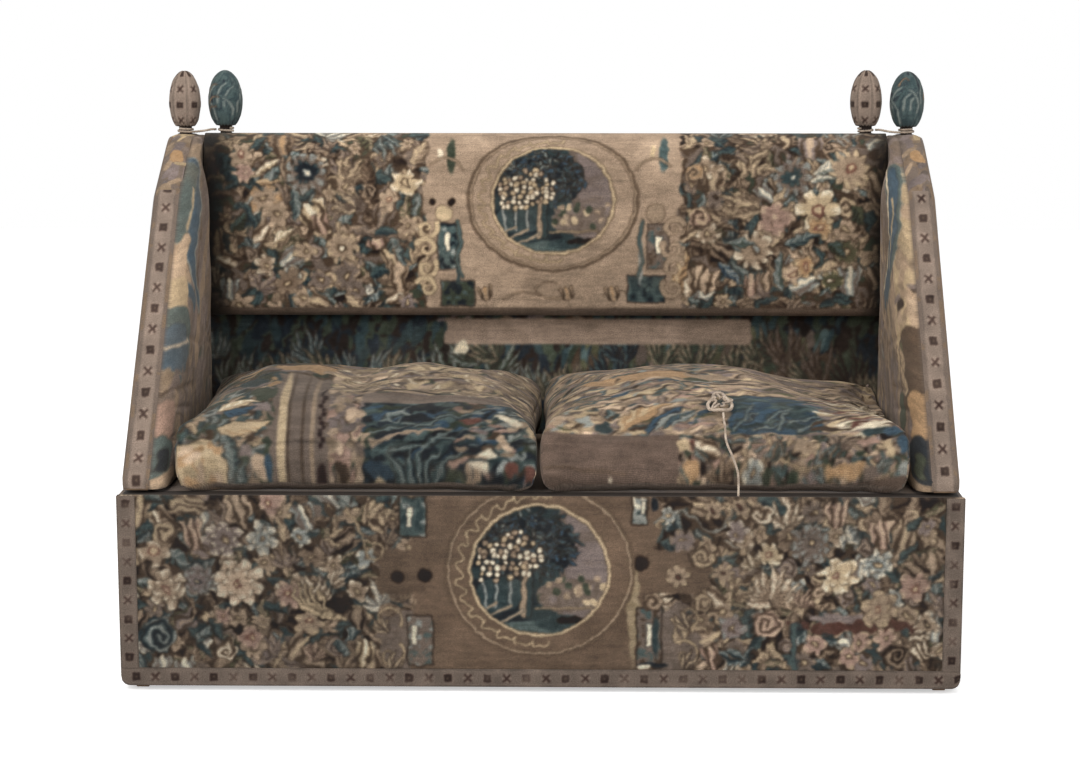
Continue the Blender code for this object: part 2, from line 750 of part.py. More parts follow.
def bore_in_post(post, x, top):
    """Cut the bore that takes a finial's dowel."""
    start = (x, row_y(FINIAL_DEPTH), top - DOWEL_LENGTH - GAP)
    end = (x, row_y(FINIAL_DEPTH), top + CUT_MARGIN)
    cutter = cylinder_mesh("dowel_bore", DOWEL_RADIUS + DOWEL_CLEARANCE, start, end)
    boolean(post, "dowel_bore", cutter, "DIFFERENCE")


def padded_panel(name, columns, rows, rear, surface, material, pivot=None):
    """A pad with a shaped face and a flat rear.

    surface(u, v) gives the point of the face for two shares from 0 to 1, and rear
    moves a point of the face onto the flat rear plane.
    """
    bm = bmesh.new()
    bmesh.ops.create_grid(bm, x_segments=columns, y_segments=rows, size=1.0)
    shares = {}
    for vertex in bm.verts:
        shares[vertex.index] = ((vertex.co.x + 1) / 2, (vertex.co.y + 1) / 2)
    bm.verts.ensure_lookup_table()
    for vertex in bm.verts:
        vertex.co = surface(*shares[vertex.index])
    made = bmesh.ops.extrude_face_region(bm, geom=list(bm.faces))
    for element in made["geom"]:
        if isinstance(element, bmesh.types.BMVert):
            element.co = rear(element.co)
    bmesh.ops.recalc_face_normals(bm, faces=bm.faces)
    return place(name, mesh_from(bm, name), material, pivot)


def soft_step(share):
    """A quarter-round rise from 0 to 1."""
    share = min(max(share, 0.0), 1.0)
    return math.sqrt(1 - (1 - share) ** 2)


def from_share(least, share):
    """Spread a share over the stretch from the least value to 1."""
    return least + (1 - least) * share


def build_back_pads():
    height = BACK_TOP - BACK_PAD_BOTTOM

    def face(u, v):
        u = 0.5 + 0.5 * math.sin((u - 0.5) * math.pi)
        v = 0.5 + 0.5 * math.sin((v - 0.5) * math.pi)
        x = (2 * u - 1) * BACK_HALF_WIDTH
        z = BACK_PAD_BOTTOM + v * height
        top_roll = soft_step((1 - v) * height / BACK_PAD_TOP_ROLL)
        low_roll = from_share(BACK_PAD_LOW_SHARE, soft_step(v * height / BACK_PAD_LOW_ROLL))
        side_roll = soft_step((BACK_HALF_WIDTH - abs(x)) / BACK_PAD_SIDE_ROLL)
        side_roll = from_share(BACK_PAD_SIDE_SHARE, side_roll)
        rise = from_share(BACK_PAD_EDGE_SHARE, top_roll * low_roll * side_roll)
        return (x, row_y(BACK_PAD_REAR - BACK_PAD_THICK * rise), z)

    def rear(point):
        return (point.x, row_y(BACK_PAD_REAR), point.z)

    padded_panel("back_pad", BACK_PAD_COLUMNS, BACK_PAD_ROWS, rear, face, "tapestry")
    canvas_face = BACK_POST_FACE - GAP - BACK_CANVAS_THICK
    half = BACK_POST_OUTER
    depths = (canvas_face, BACK_POST_FACE - GAP)
    box("back_canvas", (-half, half), depths, (CANVAS_BOTTOM, BACK_POST_TOP), "hessian")
    zs = (BASE_BOARD_TOP + GAP, CANVAS_BOTTOM - GAP)
    box("lower_back_panel", (-half, half), depths, zs, "foliage")


def build_finial(name, x, foot, egg_diameter, material, pivot=None):
    """A covered egg on a neck, with a flange and a dowel below it."""
    radius = egg_diameter / 2
    bottom = foot + NECK_HEIGHT
    rings = EGG_RINGS
    start = math.asin(EGG_FOOT_RADIUS / radius)
    profile = []
    for ring in range(rings):
        angle = (math.pi - start) * ring / (rings - 1)
        height = (1 - math.cos(angle)) / (1 + math.cos(start))
        profile.append((radius * math.sin(angle), bottom + EGG_HEIGHT * (1 - height)))
    flange_top = foot + GAP + FINIAL_FLANGE_THICK
    profile.append((NECK_RADIUS, bottom))
    profile.append((NECK_RADIUS, flange_top))
    profile.append((FINIAL_FLANGE_RADIUS, flange_top))
    profile.append((FINIAL_FLANGE_RADIUS, foot + GAP))
    profile.append((DOWEL_RADIUS, foot + GAP))
    profile.append((DOWEL_RADIUS, foot - DOWEL_LENGTH + GAP))
    profile.append((0.0, foot - DOWEL_LENGTH + GAP))
    bm = bmesh.new()
    points = [bm.verts.new((px, 0, pz)) for px, pz in profile]
    for first, second in zip(points, points[1:]):
        bm.edges.new((first, second))
    finial = place(name, mesh_from(bm, name), material, pivot)
    screw = finial.modifiers.new("turn", "SCREW")
    screw.steps = ROUND_SIDES
    screw.render_steps = ROUND_SIDES
    screw.use_merge_vertices = True
    screw.merge_threshold = 0.00001
    finial.location = finial.location + Vector((x, row_y(FINIAL_DEPTH), 0))
    return finial


def tie_loop(centre_x, start_angle, direction, low_z):
    """A helix of cord round a finial's neck."""
    count = round(TIE_TURNS * TIE_TURN_POINTS)
    points = []
    for index in range(count + 1):
        angle = start_angle + direction * 2 * math.pi * index / TIE_TURN_POINTS
        px = centre_x + LOOP_RADIUS * math.cos(angle)
        py = row_y(FINIAL_DEPTH) + LOOP_RADIUS * math.sin(angle)
        points.append((px, py, low_z + TIE_PITCH * index / TIE_TURN_POINTS))
    return points


def build_back_ties():
    low = BACK_TOP + GAP + TIE_DIAMETER / 2
    for side_name, side in (("left", -1), ("right", 1)):
        egg = LEAF_EGG_DIAMETER if side < 0 else BRAID_EGG_DIAMETER
        material = "leaf_cloth" if side < 0 else "braid"
        build_finial("back_finial_" + side_name, side * BACK_FINIAL_X, BACK_POST_TOP, egg, material)
        start = math.pi / 2 + side * math.pi / 2
        points = tie_loop(side * BACK_FINIAL_X, start, side, low)
        tube("back_tie_loop_" + side_name, points, TIE_DIAMETER, "cord", 1)
        least = least_self_gap(points, TIE_DIAMETER, TIE_TURN_POINTS)
        print("back_tie_loop_" + side_name, "least gap to itself in mm:", round(least * 1000, 2))


def knuckle_spans():
    length = (HINGE_REAR - HINGE_FRONT) / KNUCKLE_COUNT
    spans = []
    for index in range(KNUCKLE_COUNT):
        start = HINGE_FRONT + index * length
        spans.append((start + KNUCKLE_CLEARANCE / 2, start + length - KNUCKLE_CLEARANCE / 2))
    return spans


def leaf_outline(side, spans):
    """A hinge leaf seen from above: a strip with a tab at each of its own knuckles."""
    hinge_edge = side * (AXIS_X - KNUCKLE_RADIUS - KNUCKLE_CLEARANCE)
    tab_edge = side * AXIS_X
    inner_edge = side * (AXIS_X - HINGE_LEAF_WIDTH)
    outline = [(inner_edge, HINGE_FRONT), (hinge_edge, HINGE_FRONT)]
    for start, end in spans:
        outline.append((hinge_edge, start))
        outline.append((tab_edge, start))
        outline.append((tab_edge, end))
        outline.append((hinge_edge, end))
    outline.append((hinge_edge, HINGE_REAR))
    outline.append((inner_edge, HINGE_REAR))
    tidy = []
    for point in outline:
        if not tidy or (Vector(point) - Vector(tidy[-1])).length > 0.0001:
            tidy.append(point)
    return tidy


def build_hinge(side_name, side, pivot):
    spans = knuckle_spans()
    axis_x = side * AXIS_X
    base_spans = spans[0::2]
    arm_spans = spans[1::2]
    low = AXIS_Z - HINGE_LEAF_CLEARANCE - HINGE_LEAF_THICK
    base_name = side_name + "_hinge_base_leaf"
    base_leaf = plate(
        base_name,
        leaf_outline(side, base_spans),
        low,
        low + HINGE_LEAF_THICK,
        "XD",
        "steel",
    )
    low = AXIS_Z + HINGE_LEAF_CLEARANCE
    arm_leaf = plate(
        side_name + "_hinge_arm_leaf",
        leaf_outline(side, arm_spans),
        low,
        low + HINGE_LEAF_THICK,
        "XD",
        "steel",
        pivot,
    )
    for leaf, own_spans in ((base_leaf, base_spans), (arm_leaf, arm_spans)):
        for start, end in own_spans:
            ends = ((axis_x, row_y(start), AXIS_Z), (axis_x, row_y(end), AXIS_Z))
            boolean(leaf, "knuckle", cylinder_mesh("knuckle", KNUCKLE_RADIUS, *ends), "UNION")
    pin_ends = (
        (axis_x, row_y(HINGE_FRONT + PIN_INSET), AXIS_Z),
        (axis_x, row_y(HINGE_REAR - PIN_INSET), AXIS_Z),
    )
    boolean(base_leaf, "pin", cylinder_mesh("pin", PIN_RADIUS, *pin_ends), "UNION")
    for start, end in arm_spans:
        front_end = (axis_x, row_y(start - CUT_MARGIN / 2), AXIS_Z)
        rear_end = (axis_x, row_y(end + CUT_MARGIN / 2), AXIS_Z)
        bore = cylinder_mesh("pin_bore", PIN_RADIUS + PIN_CLEARANCE, front_end, rear_end)
        boolean(arm_leaf, "pin_bore", bore, "DIFFERENCE")


def build_arm_frame(name, side, pivot):
    inset = arm_profile(BRAID_THICK + GAP)
    frame_xs = sorted((side * ARM_FRAME_INNER, side * ARM_FRAME_OUTER))
    toe = ARM_TOE + BRAID_THICK + GAP
    rail = (
        (toe, ARM_BOTTOM),
        (ARM_REAR, ARM_BOTTOM),
        (ARM_REAR, ARM_RAIL_TOP),
        (depth_on(inset, ARM_RAIL_TOP), ARM_RAIL_TOP),
        (toe, height_on(inset, toe)),
    )
    plate(name + "_bottom_rail", rail, frame_xs[0], frame_xs[1], "DZ", "wood", pivot)
    front_z = ARM_RAIL_TOP + GAP
    rear = ARM_POST_FACE - GAP
    outer = clip_path(inset, front_z, rear)
    inner = clip_path(arm_profile(BRAID_THICK + GAP + ARM_RAIL_WIDTH), front_z, rear)
    outline = [tuple(point) for point in outer + inner[::-1]]
    plate(name + "_front_rail", outline, frame_xs[0], frame_xs[1], "DZ", "wood", pivot)
    post = (
        (ARM_POST_FACE, front_z),
        (ARM_REAR, front_z),
        (ARM_REAR, ARM_POST_TOP),
        (ARM_POST_FACE, ARM_POST_TOP),
    )
    post = plate(name + "_rear_post", post, frame_xs[0], frame_xs[1], "DZ", "wood", pivot)
    bore_in_post(post, side * ARM_CENTRE, ARM_POST_TOP)


def build_arm_covers(name, side, pivot):
    inset = arm_profile(BRAID_THICK + GAP)
    toe = ARM_TOE + BRAID_THICK + GAP
    cover_xs = sorted((side * (ARM_OUTER - ARM_COVER_THICK), side * ARM_OUTER))
    slope = [Vector((toe, height_on(inset, toe)))]
    slope += [point for point in inset if toe + NEAR < point.x < ARM_REAR - NEAR]
    slope.append(Vector((ARM_REAR, height_on(inset, ARM_REAR))))
    outline = [tuple(point) for point in slope]
    outline += [(ARM_REAR, ARM_COVER_BOTTOM), (toe, ARM_COVER_BOTTOM)]
    plate(name + "_outer_cover", outline, cover_xs[0], cover_xs[1], "DZ", "plain_cloth", pivot)

    split = BACK_FACE - ARM_SPLIT_GAP
    columns = ARM_PAD_COLUMNS
    depths = [toe + (split - toe) * index / columns for index in range(columns + 1)]
    depths += [BACK_FACE, ARM_POST_FACE, ARM_REAR]

    def face(u, v):
        depth = depths[round(u * (len(depths) - 1))]
        top = height_on(inset, depth)
        low = ARM_COVER_BOTTOM
        z = low + (top - low) * math.sin(v * math.pi / 2)
        inward = soft_step((top - z) / ARM_PAD_ROLL)
        foot = from_share(ARM_PAD_FOOT_SHARE, soft_step((z - low) / ARM_PAD_FOOT_RISE))
        thick = ARM_PAD_EDGE + (ARM_PAD_THICK - ARM_PAD_EDGE) * inward * foot
        if depth > split:
            thick = min(thick, ARM_PAD_BESIDE_BACK)
        return (side * (ARM_PAD_SEAT - thick), row_y(depth), z)

    def rear(point):
        return (side * ARM_PAD_SEAT, point.y, point.z)

    padded_panel(name + "_inner_pad", len(depths) - 1, ARM_PAD_ROWS, rear, face, "tapestry", pivot)
    centre_xs = (side * ARM_CENTRE - ARM_BRAID_WIDTH / 2, side * ARM_CENTRE + ARM_BRAID_WIDTH / 2)
    outer = clip_path(arm_profile(0), ARM_TOE_TOP, ARM_POST_FACE - ARM_BRAID_END_GAP)
    inner = offset_path(outer, BRAID_THICK)
    outline = [tuple(point) for point in outer + inner[::-1]]
    plate(name + "_braid", outline, centre_xs[0], centre_xs[1], "DZ", "braid", pivot)


def arm_tie_points(side):
    """A loop round the arm finial's neck, and the short span that reaches the back's loop."""
    low = ARM_POST_TOP + GAP + FINIAL_FLANGE_THICK + TIE_DIAMETER
    arm_x = side * ARM_CENTRE
    start_x = side * (BACK_FINIAL_X + LOOP_RADIUS + TIE_DIAMETER + 2 * GAP)
    start_z = BACK_TOP + GAP + TIE_DIAMETER / 2 + TIE_PITCH / 2
    loop = tie_loop(arm_x, -math.pi / 2, side, low)
    end = Vector(loop[0])
    start = Vector((start_x, row_y(FINIAL_DEPTH), start_z))
    near = Vector((start_x + side * TIE_LEAD, row_y(FINIAL_DEPTH), start_z))
    span = []
    for index in range(TIE_SPAN_POINTS):
        share = index / TIE_SPAN_POINTS
        bend = share * share * (3 - 2 * share)
        point = near.lerp(end, share)
        point.y = near.y + (end.y - near.y) * bend
        point.z = near.z + (end.z - near.z) * share - TIE_SAG * math.sin(math.pi * share)
        span.append(tuple(point))
    return [tuple(start)] + span + loop


def build_arm(side_name, side):
    pivot = pivot_empty(side_name + "_arm_axis", (side * AXIS_X, 0, AXIS_Z))
    name = side_name + "_arm"
    build_hinge(side_name, side, pivot)
    build_arm_frame(name, side, pivot)
    build_arm_covers(name, side, pivot)
    egg = BRAID_EGG_DIAMETER if side < 0 else LEAF_EGG_DIAMETER
    material = "braid" if side < 0 else "leaf_cloth"
    build_finial(name + "_finial", side * ARM_CENTRE, ARM_POST_TOP, egg, material, pivot)
    points = arm_tie_points(side)
    tube(name + "_tie_cord", points, TIE_DIAMETER, "cord", 1, pivot)
    least = least_self_gap(points, TIE_DIAMETER, TIE_TURN_POINTS)
    print(name + "_tie_cord", "least gap to itself in mm:", round(least * 1000, 2))


def even_cuts(count):
    """Shares from -1 to 1 that lie closer together towards both ends."""
    return [math.sin(math.pi / 2 * (2 * cut / count - 1)) for cut in range(1, count)]


def cushion_shape(name, left, right, pivot):
    """A boxed cushion: crowned above, flat below, with sides drawn in between its corners."""
    bm = bmesh.new()
    bmesh.ops.create_cube(bm, size=2.0)
    for axis, count in ((0, CUSHION_COLUMNS), (1, CUSHION_ROWS), (2, CUSHION_LEVELS)):
        normal = Vector((0, 0, 0))
        normal[axis] = 1
        for place_at in even_cuts(count):
            geometry = list(bm.verts) + list(bm.edges) + list(bm.faces)
            cut_at = normal * place_at
            bmesh.ops.bisect_plane(bm, geom=geometry, dist=0.00001, plane_co=cut_at, plane_no=normal)
    half_x = (right - left) / 2
    half_d = (CUSHION_REAR - CUSHION_FRONT) / 2
    centre_x = (left + right) / 2
    centre_d = (CUSHION_REAR + CUSHION_FRONT) / 2
    for vertex in bm.verts:
        u, v, w = vertex.co
        inset = CUSHION_EDGE_ROUND * (1 - math.sqrt(max(0.0, 1 - abs(w) ** 3)))
        x = half_x * u - CUSHION_PULL * u ** 5 * (1 - v * v) - inset * u ** 7
        depth = half_d * v - CUSHION_PULL * v ** 5 * (1 - u * u) - inset * v ** 7
        crown = CUSHION_CROWN * (1 - u * u) ** 0.6 * (1 - v * v) ** 0.6
        share = (w + 1) / 2
        z = CUSHION_BOTTOM + CUSHION_BOX_HEIGHT * share + crown * share ** 1.5
        vertex.co = (centre_x + x, row_y(centre_d + depth), z)
    bmesh.ops.recalc_face_normals(bm, faces=bm.faces)
    return place(name, mesh_from(bm, name), "tapestry", pivot)


def build_cushions():
    gap = CUSHION_PARTING_GAP / 2
    left_outer = -(ARM_PAD_FACE - CUSHION_SIDE_GAP_LEFT)
    right_outer = ARM_PAD_FACE - CUSHION_SIDE_GAP_RIGHT
    left_inner = CUSHION_PARTING - gap
    right_inner = CUSHION_PARTING + gap
    left_pivot = pivot_empty("left_cushion_lift", ((left_outer + left_inner) / 2, 0, CUSHION_BOTTOM))
    right_pivot = pivot_empty("right_cushion_lift", ((right_outer + right_inner) / 2, 0, CUSHION_BOTTOM))
    cushion_shape("left_cushion", left_outer, left_inner, left_pivot)
    cushion = cushion_shape("right_cushion", right_inner, right_outer, right_pivot)
    build_rosette(cushion, right_pivot)


def build_rosette(cushion, pivot):
    """A knotted loop of cord on the right cushion, and the string that hangs from it."""
    tree = BVHTree.FromPolygons(
        [vertex.co for vertex in cushion.data.vertices],
        [face.vertices for face in cushion.data.polygons],
    )

    def resting(x, depth, lift):
        """The point at a distance above the cushion, over an x and a depth."""
        spot, normal, _face, _far = tree.ray_cast((x, row_y(depth), BACK_TOP), (0, 0, -1))
        return spot + normal * lift

    least = KNOT_DIAMETER / 2 + GAP + KNOT_SLACK
    loop = [resting(x, depth, least + lift) for x, depth, lift in KNOT_CORNERS]
    rosette = tube("cushion_rosette", loop, KNOT_DIAMETER, "cord", 1, pivot)
    rosette.data.splines[0].use_cyclic_u = True
    least = STRING_DIAMETER / 2 + GAP + STRING_SLACK
    points = [resting(x, depth, least) for x, depth in STRING_ROUTE]
    points += [(x, row_y(depth), z) for x, depth, z in STRING_FALL]
    tube("cushion_string", points, STRING_DIAMETER, "cord", 1, pivot)


def main():
    clear_scene()
    make_collections()
    build_legs()
    build_boards()
    build_webbing()
    build_springs()
    build_seat()
    build_covers()
    build_back_frame()
    build_back_pads()
    build_back_ties()
    for side_name, side in (("left", -1), ("right", 1)):
        build_arm(side_name, side)
    build_cushions()


main()
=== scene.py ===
# %% [markdown]
# A knole sofa, dressed in old tapestry
#
# This lesson dresses a plain working model of a knole sofa: a box seat with a fixed back
# and two hinged sides that drop down. On the real sofa almost all of the look is cloth.
# Worn wool tapestry covers the front, the back and the cushions, a braid with small dark
# squares runs along the edges, and cord ties the covered finials together.
#
# The working model arrives as a frame of bodies and nodes. Everything made here rides on
# those bodies, so each piece still moves with the side or cushion that it covers.

# %% Load the frame
import math

import bmesh
import bpy
import numpy as np
from mathutils import Matrix, Vector
from mathutils.bvhtree import BVHTree


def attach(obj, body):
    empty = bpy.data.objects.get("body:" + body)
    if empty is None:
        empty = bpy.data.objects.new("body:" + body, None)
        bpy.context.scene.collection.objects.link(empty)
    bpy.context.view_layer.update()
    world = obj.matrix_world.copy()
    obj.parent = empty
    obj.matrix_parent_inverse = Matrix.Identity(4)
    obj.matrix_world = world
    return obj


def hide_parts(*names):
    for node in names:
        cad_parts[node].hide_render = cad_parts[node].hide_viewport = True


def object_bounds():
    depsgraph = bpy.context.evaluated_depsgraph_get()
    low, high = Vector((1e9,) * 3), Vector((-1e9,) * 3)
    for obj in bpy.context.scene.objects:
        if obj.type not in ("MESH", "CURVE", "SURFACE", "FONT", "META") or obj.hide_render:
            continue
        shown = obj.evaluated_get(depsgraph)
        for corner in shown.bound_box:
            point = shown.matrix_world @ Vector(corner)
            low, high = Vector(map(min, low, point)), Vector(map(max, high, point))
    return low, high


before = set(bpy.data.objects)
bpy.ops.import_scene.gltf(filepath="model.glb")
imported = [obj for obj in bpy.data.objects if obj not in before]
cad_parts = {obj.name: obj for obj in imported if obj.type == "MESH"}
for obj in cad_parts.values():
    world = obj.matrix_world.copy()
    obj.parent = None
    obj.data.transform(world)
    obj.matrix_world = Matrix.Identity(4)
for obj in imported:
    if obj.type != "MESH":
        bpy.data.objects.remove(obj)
CAD_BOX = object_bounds()
FRONT = Vector(CAD_BOX[0]).y
SIDES = (("left", -1), ("right", 1))
print("frame box", [round(value, 4) for corner in CAD_BOX for value in corner])

# %% [markdown]
# The camera stands where the photographer stood: a little to the right of the middle, at
# about the height of the finials, looking slightly down. A long lens keeps the front
# nearly square. The numbers come from fitting the front, the back and the feet of the
# sofa to the photograph, so they are sizes in metres and degrees.

# %% Camera
CAMERA_PLACE = Vector((0.0800, FRONT - 4.6645, 1.3904))
CAMERA_PITCH = 9.48
CAMERA_YAW = 0.97
CAMERA_LENS = 80.33
CAMERA_SENSOR = 36.0

camera_data = bpy.data.cameras.new("camera")
camera_data.lens = CAMERA_LENS
camera_data.sensor_width = CAMERA_SENSOR
camera = bpy.data.objects.new("camera", camera_data)
camera.location = CAMERA_PLACE
camera.rotation_euler = (math.radians(90 - CAMERA_PITCH), 0, math.radians(CAMERA_YAW))
bpy.context.scene.collection.objects.link(camera)
bpy.context.scene.camera = camera
print("camera at", [round(value, 3) for value in camera.location])

# %% [markdown]
# The photograph shows the sofa on white, with a faint shadow under it. A floor can be
# white for the camera in two ways: by pouring light on it, which would also bleach the
# cloth, or by telling the shader to answer camera rays with white. The second keeps the
# light on the sofa plain. The floor still has to take the shadow, so it is not plain white
# for the camera: a weak glow is added to what the lamps give it, which lifts the lit floor
# to white and leaves the shadow pale grey. Three short helpers come first, because the
# materials further down are built from nodes too.

# %% World and floor
bpy.context.scene.view_settings.view_transform = "Standard"
WORLD_LIGHT = 0.62
FLOOR_TONE = 0.90
FLOOR_GLOW = 0.50
FLOOR_HALF = 9.0
WHITE = (1.0, 1.0, 1.0, 1.0)


def add_node(nodes, kind, **inputs):
    """A shader node with some inputs set by name, where an underscore stands for a space."""
    node = nodes.new("ShaderNode" + kind)
    for name, value in inputs.items():
        node.inputs[name.replace("_", " ")].default_value = value
    return node


def joined(links, node, *values):
    """Link values to the first inputs of a node, and give its first output."""
    for number, value in enumerate(values):
        links.new(value, node.inputs[number])
    return node.outputs[0]


def combined(nodes, links, operation, *values):
    """The result of a maths node on two values."""
    node = add_node(nodes, "Math")
    node.operation = operation
    return joined(links, node, *values)


def seen_ray(nodes, links):
    """One for a ray from the camera, a reflection or clear glass, and zero for light rays."""
    rays = add_node(nodes, "LightPath").outputs
    glossy = combined(nodes, links, "MAXIMUM", rays["Is Camera Ray"], rays["Is Glossy Ray"])
    return combined(nodes, links, "MAXIMUM", glossy, rays["Is Transmission Ray"])


def build_world():
    world = bpy.data.worlds.new("studio")
    world.use_nodes = True
    nodes, links = world.node_tree.nodes, world.node_tree.links
    nodes.clear()
    light = add_node(nodes, "Background", Color=WHITE, Strength=WORLD_LIGHT).outputs[0]
    seen = add_node(nodes, "Background", Color=WHITE, Strength=1.0).outputs[0]
    mix = joined(links, add_node(nodes, "MixShader"), seen_ray(nodes, links), light, seen)
    links.new(mix, add_node(nodes, "OutputWorld").inputs["Surface"])
    bpy.context.scene.world = world


def build_floor():
    bm = bmesh.new()
    bmesh.ops.create_grid(bm, x_segments=1, y_segments=1, size=FLOOR_HALF)
    mesh = bpy.data.meshes.new("floor")
    bm.to_mesh(mesh)
    bm.free()
    floor = bpy.data.objects.new("floor", mesh)
    bpy.context.scene.collection.objects.link(floor)
    material = bpy.data.materials.new("floor")
    material.use_nodes = True
    nodes, links = material.node_tree.nodes, material.node_tree.links
    shader = nodes["Principled BSDF"]
    shader.inputs["Base Color"].default_value = (FLOOR_TONE, FLOOR_TONE, FLOOR_TONE, 1.0)
    shader.inputs["Roughness"].default_value = 0.9
    lit = shader.outputs[0]
    glow = add_node(nodes, "Emission", Strength=FLOOR_GLOW).outputs[0]
    both = joined(links, add_node(nodes, "AddShader"), lit, glow)
    mix = joined(links, add_node(nodes, "MixShader"), seen_ray(nodes, links), lit, both)
    links.new(mix, nodes["Material Output"].inputs["Surface"])
    mesh.materials.append(material)


build_world()
build_floor()

# %% [markdown]
# Three soft lamps light it: a broad one from the upper left of the camera, a weaker one
# from the right to open the shadows, and one from above that picks out the crowned tops
# of the cushions. An area lamp is soft in proportion to its size, so these are large.

# %% Lamps
LAMPS = (
    ("key", (-2.2, -3.6, 2.9), 2.4, 92.0),
    ("fill", (2.9, -3.4, 1.9), 2.6, 46.0),
    ("top", (0.0, -1.0, 3.6), 2.6, 52.0),
)


def build_lamp(name, place, size, power):
    data = bpy.data.lights.new(name, "AREA")
    data.size = size
    data.energy = power
    lamp = bpy.data.objects.new(name, data)
    lamp.location = place
    aim = Vector((0.0, 0.0, 0.6)) - Vector(place)
    lamp.rotation_euler = aim.to_track_quat("-Z", "Y").to_euler()
    bpy.context.scene.collection.objects.link(lamp)


for lamp_name, lamp_place, lamp_size, lamp_power in LAMPS:
    build_lamp(lamp_name, lamp_place, lamp_size, lamp_power)
print("lamps", len(LAMPS))

# %% [markdown]
# The white string that hangs over the front of the right cushion comes before everything
# else, because a cord has a length of its own. It starts at the knotted rosette, runs a
# few centimetres over the crown, drops over the front edge and ends on the front of the
# seat. The points are the same ones that the working model uses.
#
# A plain bevelled curve would give a smooth rod. Real string is three yarns twisted
# together, so a small three-lobed section is swept along the curve, and the curve's tilt
# turns it once in every pitch. The result is kept as a mesh.

# %% Twisted cord
WIDE = 0.84
CORD_SIDES = 12
CORD_LOBES = 3
LOBE_SHARE = 0.20


def at(x, depth, z):
    """A point from its place across, its depth behind the front plane and its height."""
    return Vector((x, FRONT + depth, z))


def smooth_path(points, spacing, cyclic=False):
    """Even points on a smooth curve through the given ones."""
    knots = np.array([tuple(point) for point in points], dtype=float)
    if cyclic:
        knots = np.vstack([knots[-3:], knots, knots[:4]])
    run = np.concatenate([[0.0], np.cumsum(np.linalg.norm(np.diff(knots, axis=0), axis=1))])
    slope = np.gradient(knots, run, axis=0)
    first = run[3] if cyclic else 0.0
    last = run[-4] if cyclic else run[-1]
    count = max(2, round((last - first) / spacing))
    where = np.linspace(first, last, count + 1)
    if cyclic:
        where = where[:-1]
    index = np.clip(np.searchsorted(run, where, side="right") - 1, 0, len(run) - 2)
    width = (run[index + 1] - run[index])[:, None]
    share = (where - run[index])[:, None] / width
    start, end = knots[index], knots[index + 1]
    leave, arrive = slope[index] * width, slope[index + 1] * width
    cube, square = share ** 3, share ** 2
    path = (2 * cube - 3 * square + 1) * start + (cube - 2 * square + share) * leave
    return path + (3 * square - 2 * cube) * end + (cube - square) * arrive


def cord_section(diameter, lobes):
    """A closed three-lobed outline for a sweep, or a round one without lobes."""
    curve = bpy.data.curves.new("cord_section", "CURVE")
    curve.dimensions = "2D"
    spline = curve.splines.new("POLY")
    spline.points.add(CORD_SIDES - 1)
    for number, point in enumerate(spline.points):
        angle = 2 * math.pi * number / CORD_SIDES
        reach = diameter / 2 * (1 - lobes * (1 - math.cos(CORD_LOBES * angle)) / 2)
        point.co = (reach * math.cos(angle), reach * math.sin(angle), 0.0, 1.0)
    spline.use_cyclic_u = True
    holder = bpy.data.objects.new("cord_section", curve)
    bpy.context.scene.collection.objects.link(holder)
    return holder


def twisted_cord(name, path, diameter, pitch, cyclic=False, lobes=LOBE_SHARE):
    """Sweep the lobed section along a path, turning it once in each pitch."""
    section = cord_section(diameter, lobes)
    curve = bpy.data.curves.new(name, "CURVE")
    curve.dimensions = "3D"
    curve.bevel_mode = "OBJECT"
    curve.bevel_object = section
    curve.use_fill_caps = True
    spline = curve.splines.new("POLY")
    spline.points.add(len(path) - 1)
    travelled = 0.0
    for index, point in enumerate(spline.points):
        if index:
            travelled += float(np.linalg.norm(path[index] - path[index - 1]))
        point.co = (*path[index], 1.0)
        point.tilt = 2 * math.pi * travelled / pitch
    spline.use_cyclic_u = cyclic
    holder = bpy.data.objects.new(name + "_line", curve)
    bpy.context.scene.collection.objects.link(holder)
    evaluated = holder.evaluated_get(bpy.context.evaluated_depsgraph_get())
    mesh = bpy.data.meshes.new_from_object(evaluated)
    bpy.data.objects.remove(holder, do_unlink=True)
    bpy.data.objects.remove(section, do_unlink=True)
    bm = bmesh.new()
    bm.from_mesh(mesh)
    bmesh.ops.remove_doubles(bm, verts=bm.verts, dist=0.00002)
    bmesh.ops.recalc_face_normals(bm, faces=bm.faces)
    return new_piece(name, bm)


def new_piece(name, bm):
    """Turn a bmesh into a smooth piece whose object stays at the origin."""
    mesh = bpy.data.meshes.new(name)
    bm.to_mesh(mesh)
    bm.free()
    mesh.shade_smooth()
    piece = bpy.data.objects.new(name, mesh)
    bpy.context.scene.collection.objects.link(piece)
    return piece


# %% [markdown]
# Cord and string are off-white cotton that has gone grey. The colour varies a little along
# the length, and a fine noise bump stands for the fibres that stand off the twist.

# %% Cord material
def shader_of(name, roughness, sheen=0.0):
    """A material with its parts, ready for a pattern to be linked in."""
    material = bpy.data.materials.new(name)
    material.use_nodes = True
    shader = material.node_tree.nodes["Principled BSDF"]
    shader.inputs["Roughness"].default_value = roughness
    shader.inputs["Sheen Weight"].default_value = sheen
    shader.inputs["Sheen Roughness"].default_value = 0.5
    return material, material.node_tree.nodes, material.node_tree.links, shader


def linear(colour):
    """Screen colour shares to the linear ones that a shader takes."""
    values = np.clip(np.asarray(colour, dtype=float), 0.0, 1.0)
    return np.where(values <= 0.04045, values / 12.92, ((values + 0.055) / 1.055) ** 2.4)


def noise_of(nodes, links, coordinates, scale, detail=3.0):
    noise = add_node(nodes, "TexNoise", Scale=scale, Detail=detail)
    links.new(coordinates, noise.inputs["Vector"])
    return noise.outputs["Fac"]


